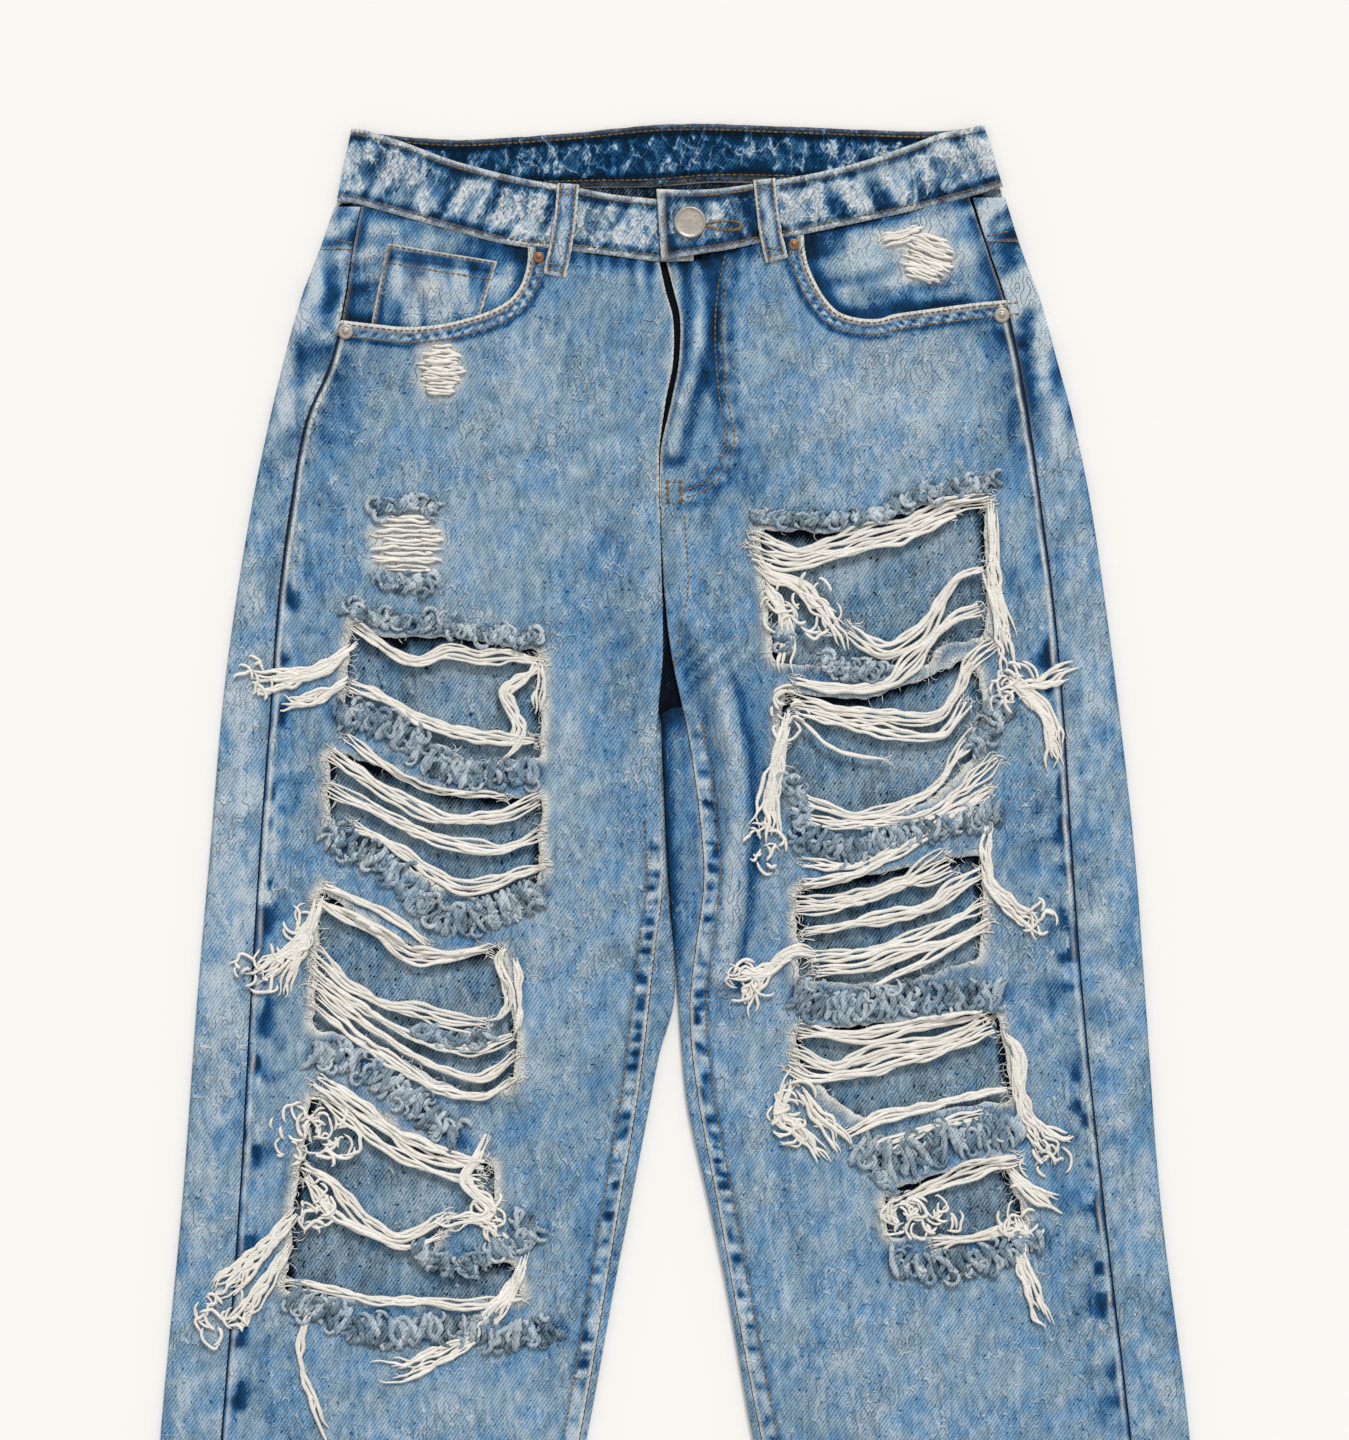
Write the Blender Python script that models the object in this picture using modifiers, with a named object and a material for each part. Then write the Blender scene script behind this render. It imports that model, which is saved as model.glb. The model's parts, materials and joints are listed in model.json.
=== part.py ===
"""Ripped high-rise jeans, laid flat on their back with the front up.

Frame: +Z is up, +Y runs from the hems to the waist and +X to the wearer's left. The origin is on the
surface that the jeans lie on, under the middle of their footprint. Every length in the tables and
functions is in millimetres, and mm() turns it into Blender's metres. "down" is a distance from the
waist towards the hems. "out" is a distance from the middle of the footprint towards one leg's outside.
"""

from collections import namedtuple
from math import acos, cos, hypot, pi, sin

import bmesh
import bpy
from mathutils import Vector
from mathutils.bvhtree import BVHTree

# Driving dimensions
LENGTH = 980.0  # waist to hem
HALF_WIDTH = 290.5  # from the middle of the footprint to the outside of either hem
DENIM = 1.2  # one ply
BAND = 2 * DENIM  # waistband and hems are two plies
SEAM_GAP = 0.4  # left between two pieces that are sewn to each other
LIE_GAP = 0.4  # left under a piece that lies on another
BACK_LEVEL = DENIM / 2  # middle of the back's cloth, which lies on the surface
FRONT_LEVEL = 4.6  # middle of the front's cloth
HEM_HEIGHT = 20.0
CROTCH = 315.0  # down to where the inner legs begin
HIP = 200.0  # down to the first level line across the front
BUTTON_RADIUS = 8.7
RIVET_RADIUS = 4.2
HIP_LEVELS = (56, 84, 98, 112, 127, 144, 162, 180)  # rows of the panels, down at the side seam
SEAT_LEVELS = (HIP, 218, 236, 254, 274, 294)
LEG_LEVELS = (CROTCH, 335, 355, 378, 400, 420, 440, 460, 485, 512, 543, 575, 620, 680)
LEG_LEVELS += (765, 860, LENGTH - HEM_HEIGHT - SEAM_GAP)
INNER_COLUMNS = (0, 3.5, 8, 14, 22)  # of the front panel's grid, from its inner edge
OUTER_COLUMNS = 7
BACK_CENTRE = -4.0  # the centre back seam's X

RIGHT, LEFT = -1, 1  # the wearer's sides, as the sign of X
SIDE_NAME = {RIGHT: "right", LEFT: "left"}
YOKE_AT_CENTRE = 104.0  # down to the yoke's point on the centre back seam
YOKE_AT_SIDE = {RIGHT: 68.0, LEFT: 64.0}  # down to the yoke's seam at the side

# The lines along each leg, a row for each level: the rolled outside edge and the side seam.
SideRow = namedtuple("SideRow", "down outer side_seam")
SIDE_LINES = {
    RIGHT: (
        SideRow(42, 184, 170),
        SideRow(68, 193, 175),
        SideRow(95, 203, 179),
        SideRow(127, 212, 186),
        SideRow(160, 220, 200),
        SideRow(203, 229, 208),
        SideRow(257, 238, 215),
        SideRow(311, 245, 219),
        SideRow(392, 252, 225),
        SideRow(473, 259, 230),
        SideRow(581, 267, 236),
        SideRow(711, 279, 246),
        SideRow(846, 287, 258),
        SideRow(LENGTH, HALF_WIDTH, 268),
    ),
    LEFT: (
        SideRow(36, 176, 158),
        SideRow(68, 186, 168),
        SideRow(95, 196, 177),
        SideRow(127, 205, 184),
        SideRow(160, 214, 190),
        SideRow(203, 223, 196),
        SideRow(257, 231, 203),
        SideRow(311, 238, 208),
        SideRow(392, 247, 213),
        SideRow(473, 253, 219),
        SideRow(581, 261, 230),
        SideRow(711, 277, 245),
        SideRow(846, 286, 258),
        SideRow(LENGTH, HALF_WIDTH, 268),
    ),
}

# Where the front panel ends towards the middle: the fly, the rise seam and then the inseam.
SeamRow = namedtuple("SeamRow", "down out")
FRONT_INNER = {
    RIGHT: (
        SeamRow(74, 9.5),
        SeamRow(90, 6),
        SeamRow(105, 2),
        SeamRow(129, 2),
        SeamRow(150, 6),
        SeamRow(180, 9.5),
        SeamRow(235, 8.5),
        SeamRow(284, 7.5),
        SeamRow(330, 11),
        SeamRow(372, 9),
        SeamRow(408, 7.5),
        SeamRow(441, 11.5),
        SeamRow(516, 20),
        SeamRow(583, 31),
        SeamRow(711, 53),
        SeamRow(846, 82),
        SeamRow(LENGTH, 115),
    ),
    LEFT: (
        SeamRow(74, -6),
        SeamRow(90, -2),
        SeamRow(105, 1.5),
        SeamRow(129, 1),
        SeamRow(150, -3),
        SeamRow(180, -9.1),
        SeamRow(235, -8.1),
        SeamRow(284, -3.5),
        SeamRow(330, 6),
        SeamRow(372, 12),
        SeamRow(408, 14.5),
        SeamRow(446, 10),
        SeamRow(475, 7),
        SeamRow(516, 10),
        SeamRow(583, 22),
        SeamRow(711, 46),
        SeamRow(846, 77),
        SeamRow(LENGTH, 115),
    ),
}

# The rolled inside edge of each leg, below the crotch.
LEG_INNER = {
    RIGHT: (
        SeamRow(CROTCH, 9.2),
        SeamRow(363, 7.5),
        SeamRow(419, 4.5),
        SeamRow(450, 1.5),
        SeamRow(475, 1.8),
        SeamRow(500, 9),
        SeamRow(531, 15),
        SeamRow(583, 25),
        SeamRow(629, 34),
        SeamRow(711, 49),
        SeamRow(846, 78),
        SeamRow(LENGTH, 110.5),
    ),
    LEFT: (
        SeamRow(CROTCH, -7.2),
        SeamRow(363, -5.5),
        SeamRow(419, -2.5),
        SeamRow(450, 0.8),
        SeamRow(475, 2),
        SeamRow(500, 2.5),
        SeamRow(531, 6),
        SeamRow(583, 17.5),
        SeamRow(629, 27),
        SeamRow(711, 41.5),
        SeamRow(846, 72),
        SeamRow(LENGTH, 110.5),
    ),
}

# The waistband, a row for each section across it, from the end under the button round the
# wearer's right, the back and the wearer's left to the end with the buttonhole. A section runs
# from the band's top edge to its bottom edge, at one height.
BandRow = namedtuple("BandRow", "top_x top_down bottom_x bottom_down height")
BAND_FRONT = 5.0  # middle of the band's cloth where it lies over the back
BAND_BACK = BAND / 2
BAND_OVERLAP = 7.9  # where the buttonhole's end lies over the button's
BAND_RIGHT_FRONT = (
    BandRow(8, 43, 9, 74, BAND_FRONT),
    BandRow(-12, 41, -12, 74, BAND_FRONT),
    BandRow(-35, 38.5, -35, 71, BAND_FRONT),
    BandRow(-54, 35, -54, 69, BAND_FRONT + 0.6),
    BandRow(-85, 29.5, -89, 65.5, BAND_FRONT),
    BandRow(-120, 20.5, -125, 56.5, BAND_FRONT + 0.5),
    BandRow(-147, 10.5, -153, 48.5, BAND_FRONT),
    BandRow(-166, 4.5, -173, 43, BAND_FRONT),
)
BAND_RIGHT_FOLD = BandRow(-176, 3, -184, 42, BAND_FRONT)
BAND_BACK_ROWS = (
    BandRow(-160, 5.5, -167, 41, BAND_BACK),
    BandRow(-122, 8.5, -124, 38.5, BAND_BACK),
    BandRow(-85, 7, -85, 35, BAND_BACK),
    BandRow(-47, 4, -47, 33.5, BAND_BACK),
    BandRow(-14, 0.6, -14, 33, BAND_BACK),
    BandRow(20, 0, 18, 30.5, BAND_BACK),
    BandRow(60, 1.5, 60, 31, BAND_BACK),
    BandRow(99, 3, 99, 34, BAND_BACK),
    BandRow(140, 4, 144, 36, BAND_BACK),
)
BAND_LEFT_FOLD = BandRow(166, 1.5, 176, 34, BAND_FRONT)
BAND_LEFT_FRONT = (
    BandRow(157, 3, 165, 37, BAND_FRONT),
    BandRow(143, 5.5, 151, 41, BAND_FRONT),
    BandRow(123, 13, 127, 47, BAND_FRONT + 0.5),
    BandRow(99, 21, 101, 52.5, BAND_FRONT),
    BandRow(75, 27, 76, 58, BAND_FRONT + 0.5),
    BandRow(52, 31, 52, 62.5, BAND_FRONT + 0.4),
    BandRow(34, 34, 32, 67, BAND_FRONT + 0.6),
    BandRow(20, 36, 18, 69.5, BAND_OVERLAP),
    BandRow(6, 36.5, 6, 71.5, BAND_OVERLAP),
    BandRow(-11, 36, -8.5, 74, BAND_OVERLAP),
)

# Each pocket mouth, from the waistband to the side seam.
MouthRow = namedtuple("MouthRow", "out down")
POCKET_MOUTH = {
    RIGHT: (
        MouthRow(80, 62),
        MouthRow(81, 78),
        MouthRow(87, 92),
        MouthRow(100, 101),
        MouthRow(124, 108),
        MouthRow(145, 110),
        MouthRow(163, 108.5),
        MouthRow(183, 106),
        MouthRow(200, 104),
    ),
    LEFT: (
        MouthRow(68, 56),
        MouthRow(70, 74),
        MouthRow(77, 90),
        MouthRow(86, 101),
        MouthRow(97, 105),
        MouthRow(109, 105.5),
        MouthRow(117, 103),
        MouthRow(138, 100),
        MouthRow(160, 97),
        MouthRow(176, 95.5),
        MouthRow(196, 93),
    ),
}
POCKET_LIFT = {RIGHT: 3.0, LEFT: 1.8}  # how far a mouth is raised by the facing and coin pocket

# Large folds and rolls of the front, as lines that the cloth rises along.
Fold = namedtuple("Fold", "height half_width line")
FOLDS = {
    RIGHT: (
        Fold(5.0, 22, ((-14, 215), (-16, 290), (-17, 340), (-15, 400), (-21, 440))),
        Fold(3.0, 20, ((-60, 330), (-75, 420), (-80, 520))),
        Fold(2.6, 24, ((-200, 480), (-212, 600), (-225, 720))),
        Fold(2.2, 26, ((-90, 700), (-140, 780), (-150, 900))),
    ),
    LEFT: (
        Fold(3.2, 12, ((12, 84), (13, 110), (6, 140), (-2, 175))),
        Fold(6.0, 16, ((10, 268), (24, 305), (31, 340), (33, 385), (30, 425), (24, 460))),
        Fold(2.6, 24, ((190, 330), (200, 450), (214, 600))),
        Fold(2.4, 26, ((85, 650), (125, 760), (150, 900))),
    ),
}

# Rips, as closed outlines that are cut through the front panels, in order round the hole.
RIPS = {
    RIGHT: (
        ((-175, 267), (-160, 278), (-124, 276), (-73, 285), (-73, 343), (-110, 344), (-142, 328),
         (-179, 314)),
        ((-187, 337), (-152, 350), (-124, 361), (-73, 364), (-74, 410), (-98, 420), (-125, 412),
         (-152, 396), (-187, 384)),
        ((-192, 412), (-168, 432), (-130, 449), (-95, 444), (-86, 492), (-90, 522), (-112, 524),
         (-136, 512), (-163, 496), (-195, 488)),
        ((-197, 523), (-165, 533), (-133, 554), (-99, 562), (-98, 582), (-130, 598), (-134, 614),
         (-87, 614), (-84, 634), (-136, 636), (-211, 630), (-206, 582), (-200, 545)),
    ),
    LEFT: (
        ((44, 219), (92, 221), (130, 207), (166, 203), (167, 258), (165, 277), (141, 282),
         (134, 292), (98, 294), (52, 291), (49, 255)),
        ((57, 306), (103, 311), (159, 288), (165, 311), (160, 342), (136, 364), (108, 379),
         (65, 374), (57, 340)),
        ((64, 413), (119, 402), (165, 394), (163, 450), (119, 464), (66, 462)),
        ((65, 489), (118, 484), (173, 479), (181, 526), (146, 531), (97, 536), (65, 508)),
        ((113, 576), (143, 566), (173, 557), (189, 594), (152, 599), (113, 601)),
    ),
}

# White weft yarns left across a rip: the bundle's thickness and its route, side to side.
Yarns = namedtuple("Yarns", "radius route")
YARNS = {
    RIGHT: (
        Yarns(1.6, ((-174, 278), (-160, 287), (-138, 290), (-112, 286), (-74.5, 287))),
        Yarns(1.8, ((-177, 305), (-160, 310), (-142, 322), (-120, 329), (-98, 331), (-74.5, 333))),
        Yarns(1.6, ((-185, 345), (-160, 357), (-130, 376), (-108, 382), (-87, 378), (-75, 370))),
        Yarns(1.9, ((-186, 362), (-164, 369), (-140, 385), (-114, 393), (-90, 391), (-75, 382))),
        Yarns(1.9, ((-190, 421), (-168, 437), (-141, 454), (-119, 459), (-95, 452))),
        Yarns(2.0, ((-194, 467), (-163, 482), (-130, 502), (-108, 511), (-90, 500))),
        Yarns(1.8, ((-201, 563), (-179, 583), (-157, 600), (-137, 603))),
        Yarns(1.5, ((-209, 624), (-184, 627), (-141, 630), (-87, 628))),
    ),
    LEFT: (
        Yarns(1.8, ((47, 229), (76, 232), (103, 225), (135, 212), (164.5, 207.5))),
        Yarns(2.0, ((53, 283), (100, 288), (121, 283), (138, 268), (146, 253), (164.5, 247))),
        Yarns(1.8, ((59, 312), (92, 321), (130, 330), (146, 319), (158, 295))),
        Yarns(2.0, ((60, 366), (97, 372), (125, 366), (146, 350), (160, 330))),
        Yarns(2.0, ((67, 424), (98, 421), (130, 414), (162.5, 399))),
        Yarns(1.8, ((67, 453), (103, 451), (135, 438), (162.5, 423))),
        Yarns(2.0, ((67, 496), (103, 498), (135, 490), (172.5, 484))),
        Yarns(1.7, ((116, 583), (146, 573), (175, 566))),
    ),
}

# Frayed strips of denim between the rips: half the strip's width and its route over the panel.
Fray = namedtuple("Fray", "half_width route")
FRAYS = {
    RIGHT: (
        Fray(6.0, ((-137, 119), (-128, 130), (-119, 141))),
        Fray(17.0, ((-148, 204), (-147, 227), (-144, 249))),
        Fray(4.0, ((-178, 263), (-152, 268), (-119, 271), (-76, 279))),
        Fray(6.5, ((-181, 324), (-152, 338), (-124, 351), (-98, 354), (-76, 354))),
        Fray(6.0, ((-189, 397), (-163, 406), (-136, 425), (-108, 433), (-78, 425))),
        Fray(6.0, ((-192, 505), (-163, 516), (-136, 533), (-108, 543), (-92, 541))),
        Fray(5.0, ((-129, 605.5), (-108, 606), (-88, 602))),
        Fray(7.5, ((-206, 641), (-173, 646), (-136, 648), (-108, 645), (-78, 645))),
    ),
    LEFT: (
        Fray(8.0, ((110, 62), (130, 64), (150, 60))),
        Fray(4.5, ((48, 212), (92, 213), (119, 204), (146, 194), (162, 194))),
        Fray(5.0, ((53, 299.5), (76, 302), (98, 303), (119, 298))),
        Fray(7.5, ((60, 389), (92, 394), (119, 389), (150, 383))),
        Fray(6.5, ((63, 475), (92, 476), (130, 474), (165, 466))),
        Fray(8.0, ((103, 554), (135, 549), (177, 542))),
        Fray(7.0, ((114, 611), (146, 612), (187, 606))),
    ),
}

# Tufts of broken yarn that lie on the cloth: thickness at the root and at the tip, and the route.
Tuft = namedtuple("Tuft", "root tip route")
TUFTS = {
    RIGHT: (
        Tuft(2.0, 3.0, ((-180, 287), (-196, 298), (-214, 308), (-232, 304))),
        Tuft(2.0, 3.2, ((-198, 433), (-202, 452), (-216, 464), (-228, 461))),
        Tuft(2.4, 4.0, ((-212, 590), (-226, 612), (-250, 640))),
        Tuft(2.4, 1.4, ((-82, 618), (-92, 640), (-108, 662), (-152, 672))),
    ),
    LEFT: (
        Tuft(2.4, 3.4, ((170, 208), (169, 246), (177, 290), (194, 322), (203, 346))),
        Tuft(1.8, 2.0, ((54, 314), (53, 330), (52.5, 345))),
        Tuft(2.4, 3.0, ((183, 500), (187, 532), (200, 560))),
        Tuft(2.0, 1.4, ((193, 590), (193, 614), (200, 648))),
    ),
}

# name: (red, green, blue, roughness, metallic)
FINISHES = {
    "denim": (0.19, 0.31, 0.44, 0.9, 0.0),
    "denim_inside": (0.07, 0.15, 0.25, 0.95, 0.0),
    "frayed_denim": (0.17, 0.22, 0.26, 0.95, 0.0),
    "yarn": (0.78, 0.74, 0.67, 0.95, 0.0),
    "nickel": (0.42, 0.39, 0.36, 0.35, 1.0),
    "copper": (0.52, 0.33, 0.2, 0.4, 1.0),
}


def mm(x, down, height):
    """A point of the garment, in Blender's metres."""
    return Vector((x, LENGTH / 2 - down, height)) / 1000


def smooth(rows, column, at, key="down"):
    """One column of a table at any level, on a curve through its rows."""
    stations = [getattr(row, key) for row in rows]
    values = [getattr(row, column) for row in rows]
    last = len(rows) - 1
    i = next((k for k in range(last) if at <= stations[k + 1]), last - 1)
    slopes = []
    for k in (i, i + 1):
        low, high = max(k - 1, 0), min(k + 1, last)
        slopes.append((values[high] - values[low]) / (stations[high] - stations[low]))
    span = stations[i + 1] - stations[i]
    t = min(max((at - stations[i]) / span, 0), 1)
    return (
        (2 * t**3 - 3 * t**2 + 1) * values[i]
        + (t**3 - 2 * t**2 + t) * span * slopes[0]
        + (3 * t**2 - 2 * t**3) * values[i + 1]
        + (t**3 - t**2) * span * slopes[1]
    )


def curve_through(points, steps):
    """Points on a smooth curve through these (x, down) points, with this many steps in each span."""
    made = []
    for i in range(len(points) - 1):
        before = points[max(i - 1, 0)]
        after = points[min(i + 2, len(points) - 1)]
        a, b = points[i], points[i + 1]
        for step in range(steps):
            t = step / steps
            made.append(
                tuple(
                    0.5
                    * (
                        2 * a[k]
                        + (b[k] - before[k]) * t
                        + (2 * before[k] - 5 * a[k] + 4 * b[k] - after[k]) * t**2
                        + (3 * a[k] - before[k] - 3 * b[k] + after[k]) * t**3
                    )
                    for k in range(2)
                )
            )
    made.append(tuple(points[-1]))
    return made


def distance_to(line, x, down):
    """The distance from a point to a polyline."""
    best = 1e9
    for (ax, ad), (bx, bd) in zip(line, line[1:]):
        length = (bx - ax) ** 2 + (bd - ad) ** 2
        t = min(max(((x - ax) * (bx - ax) + (down - ad) * (bd - ad)) / length, 0), 1)
        best = min(best, hypot(x - ax - t * (bx - ax), down - ad - t * (bd - ad)))
    return best


def swell(distance, half_width):
    """A soft rise: 1 on a line and 0 from half_width away."""
    return 0.5 + 0.5 * cos(pi * min(distance / half_width, 1))


def front_height(side, x, down):
    """The middle of the front's cloth, with its folds and the lift at the pocket mouth."""
    height = FRONT_LEVEL
    for fold in FOLDS[side]:
        height += fold.height * swell(distance_to(fold.line, x, down), fold.half_width)
    mouth = [(side * row.out, row.down) for row in POCKET_MOUTH[side]]
    return height + POCKET_LIFT[side] * swell(max(distance_to(mouth, x, down) - 12, 0), 34)


def material(name):
    made = bpy.data.materials.get(name)
    if made is None:
        red, green, blue, roughness, metallic = FINISHES[name]
        made = bpy.data.materials.new(name)
        made.use_nodes = True
        shader = made.node_tree.nodes["Principled BSDF"]
        shader.inputs["Base Color"].default_value = (red, green, blue, 1)
        shader.inputs["Roughness"].default_value = roughness
        shader.inputs["Metallic"].default_value = metallic
        made.diffuse_color = (red, green, blue, 1)
    return made


def add_object(name, data, finish, collection):
    obj = bpy.data.objects.new(name, data)
    collection.objects.link(obj)
    data.materials.append(material(finish))
    return obj


def cloth(name, grids, thickness, finish, collection, closed=False):
    """A wall of cloth: a surface through rows of points, given its thickness about the middle.

    Grids that share an edge become one surface. A closed one joins each row's ends, as in a hem.
    """
    surface = bmesh.new()
    for grid in grids:
        rows = [[surface.verts.new(point) for point in row] for row in grid]
        for upper, lower in zip(rows, rows[1:]):
            pairs = list(zip(range(len(upper) - 1), range(1, len(upper))))
            if closed:
                pairs.append((len(upper) - 1, 0))
            for j, k in pairs:
                surface.faces.new((upper[j], lower[j], lower[k], upper[k]))
    bmesh.ops.remove_doubles(surface, verts=surface.verts, dist=1e-6)
    bmesh.ops.recalc_face_normals(surface, faces=surface.faces)
    mesh = bpy.data.meshes.new(name)
    surface.to_mesh(mesh)
    surface.free()
    obj = add_object(name, mesh, finish, collection)
    wall = obj.modifiers.new("thickness", "SOLIDIFY")
    wall.thickness = thickness / 1000
    wall.offset = 0
    wall.use_even_offset = True
    return obj


def tree_of(obj):
    """The object's evaluated surface, to find heights on."""
    graph = bpy.context.evaluated_depsgraph_get()
    return BVHTree.FromObject(obj, graph)


def top_of(trees, x, down, around=2.5):
    """The highest point of these surfaces near a place, in millimetres."""
    found = [BACK_LEVEL + DENIM / 2]
    for dx, dd in ((0, 0), (around, 0), (-around, 0), (0, around), (0, -around)):
        for tree in trees:
            place = tree.ray_cast(mm(x + dx, down + dd, 100), Vector((0, 0, -1)))[0]
            if place is not None:
                found.append(place.z * 1000)
    return max(found)


def edges_of(line, half_width):
    """For each point of a line, its place and the unit vector across the line there."""
    made = []
    for i, (x, down) in enumerate(line):
        (ax, ad), (bx, bd) = line[max(i - 1, 0)], line[min(i + 1, len(line) - 1)]
        length = hypot(bx - ax, bd - ad)
        made.append((x, down, -(bd - ad) / length * half_width, (bx - ax) / length * half_width))
    return made


def strip_on(name, line, half_width, thickness, trees, finish, collection, crown=0.0):
    """A narrow piece that lies on others, made from their own surface moved up."""
    grid = []
    for x, down, across_x, across_down in edges_of(line, half_width):
        row = []
        for share in (-1, 0, 1):
            px, pd = x + share * across_x, down + share * across_down
            height = top_of(trees, px, pd, 0.6 * half_width) + LIE_GAP + thickness / 2
            row.append(mm(px, pd, height + crown * (1 - abs(share))))
        grid.append(row)
    return cloth(name, [grid], thickness, finish, collection)


def stations(line, ends, between):
    """Places along a dense line: these distances from either end, and evenly in between."""
    travelled = [0.0]
    for (ax, ad), (bx, bd) in zip(line, line[1:]):
        travelled.append(travelled[-1] + hypot(bx - ax, bd - ad))
    whole = travelled[-1]
    count = max(round((whole - 2 * ends[-1]) / between), 1)
    step = (whole - 2 * ends[-1]) / count
    wanted = list(ends) + [ends[-1] + step * i for i in range(1, count)]
    wanted += [whole - distance for distance in reversed(ends)]
    return [min(range(len(line)), key=lambda i, at=at: abs(travelled[i] - at)) for at in wanted]


def lying_tube(name, line, radii, trees, finish, collection):
    """A bundle of yarn along a line: it lies on what is under it, and spans the holes."""
    dense = curve_through(line, 12)
    low, high = radii
    heights = []
    for i, (x, down) in enumerate(dense):
        radius = low + (high - low) * i / (len(dense) - 1)
        resting = top_of(trees, x, down, 0.7 * radius)
        over_hole = resting < FRONT_LEVEL - DENIM
        heights.append(FRONT_LEVEL if over_hole else resting + LIE_GAP + radius)
    picked = stations(dense, (0, 5), 20)
    picked = sorted(set(picked))
    spline_points = []
    for k, i in enumerate(picked):
        first, last = picked[max(k - 1, 0)], picked[min(k + 1, len(picked) - 1)]
        radius = low + (high - low) * i / (len(dense) - 1)
        spline_points.append((mm(*dense[i], max(heights[first : last + 1])), radius))
    data = bpy.data.curves.new(name, "CURVE")
    data.dimensions = "3D"
    data.bevel_depth = 0.001
    data.bevel_resolution = 1
    data.use_fill_caps = True
    spline = data.splines.new("POLY")
    spline.points.add(len(spline_points) - 1)
    for point, (place, radius) in zip(spline.points, spline_points):
        point.co = (*place, 1)
        point.radius = radius
    return add_object(name, data, finish, collection)


def turned(name, profile, segments, place, finish, collection):
    """A round piece from a profile of (radius, height) points."""
    shape = bmesh.new()
    corners = [shape.verts.new((radius / 1000, 0, height / 1000)) for radius, height in profile]
    edges = [shape.edges.new(pair) for pair in zip(corners, corners[1:])]
    bmesh.ops.spin(
        shape,
        geom=corners + edges,
        cent=(0, 0, 0),
        axis=(0, 0, 1),
        angle=2 * pi,
        steps=segments,
        use_merge=True,
    )
    bmesh.ops.remove_doubles(shape, verts=shape.verts, dist=1e-6)
    bmesh.ops.recalc_face_normals(shape, faces=shape.faces)
    mesh = bpy.data.meshes.new(name)
    shape.to_mesh(mesh)
    shape.free()
    obj = add_object(name, mesh, finish, collection)
    obj.location = place
    return obj


def outer_edge(side, down):
    return smooth(SIDE_LINES[side], "outer", down)


def side_seam(side, down):
    return smooth(SIDE_LINES[side], "side_seam", down)


def along(points, x):
    """The second value of a polyline of (x, value) points, at x."""
    for (ax, a), (bx, b) in zip(points, points[1:]):
        if x <= bx:
            return a + (b - a) * min(max((x - ax) / (bx - ax), 0), 1)
    return points[-1][1]


def front_band_bottom(x):
    rows = (BAND_RIGHT_FOLD, *BAND_RIGHT_FRONT[::-1], *BAND_LEFT_FRONT[-3::-1], BAND_LEFT_FOLD)
    return along([(row.bottom_x, row.bottom_down) for row in rows], x)


def back_band_bottom(x):
    rows = (BAND_RIGHT_FOLD, *BAND_BACK_ROWS, BAND_LEFT_FOLD)
    return along([(row.bottom_x, row.bottom_down) for row in rows], x)


def roll_radius(side, out, down):
    """The radius of a rolled edge, to the middle of its cloth: half the leg's height there."""
    return (front_height(side, side * out, down) - BACK_LEVEL) / 2


def outer_roll(side, down):
    """Points round a leg's outside, from its top down to the back."""
    edge = outer_edge(side, down)
    radius = roll_radius(side, edge - 4, down)
    centre = edge - radius - DENIM / 2
    points = []
    for degrees in (90, 45, 0, -45, -90):
        angle = degrees * pi / 180
        height = BACK_LEVEL + radius + radius * sin(angle)
        points.append(mm(side * (centre + radius * cos(angle)), down, height))
    return points


def inner_start(side, down):
    """Where a leg's inside edge starts to roll, and the radius of that roll."""
    edge = smooth(LEG_INNER[side], "out", down)
    radius = roll_radius(side, edge + 5, down)
    return edge + radius + DENIM / 2, radius


def inner_path(side, down, travel):
    """A point on the leg's cloth, this far from where its back starts to roll up."""
    start, radius = inner_start(side, down)
    if travel < pi * radius:
        angle = travel / radius - pi / 2
        height = BACK_LEVEL + radius + radius * sin(angle)
        return mm(side * (start - radius * cos(angle)), down, height)
    out = start + travel - pi * radius
    height = front_height(side, side * out, down)
    level = BACK_LEVEL + 2 * radius
    blend = min((out - start) / 5, 1)
    return mm(side * out, down, level + (height - level) * blend)


def inseam_travel(side, down):
    """How far round the inner roll the inseam lies."""
    start, radius = inner_start(side, down)
    seam = smooth(FRONT_INNER[side], "out", down)
    if seam >= start:
        return pi * radius + seam - start
    share = min((start - seam) / radius, 0.9)
    return pi * radius / 2 + acos(share) * radius


def yoke_line(side, out):
    """Down to the yoke's lower edge, this far out."""
    at_side = YOKE_AT_SIDE[side]
    reach = outer_edge(side, at_side) - (FRONT_LEVEL - BACK_LEVEL + DENIM) / 2
    return at_side + (YOKE_AT_CENTRE - at_side) * (1 - min(max(out, 0) / reach, 1))


def flange(side, down):
    """The back's cloth on top of the front, from the side seam towards the outside edge."""
    outer, seam = outer_edge(side, down), side_seam(side, down) + SEAM_GAP / 2
    points = []
    for out in (seam, (seam + outer - 5) / 2):
        points.append(mm(side * out, down, front_height(side, side * out, down)))
    return points + outer_roll(side, down)


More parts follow.
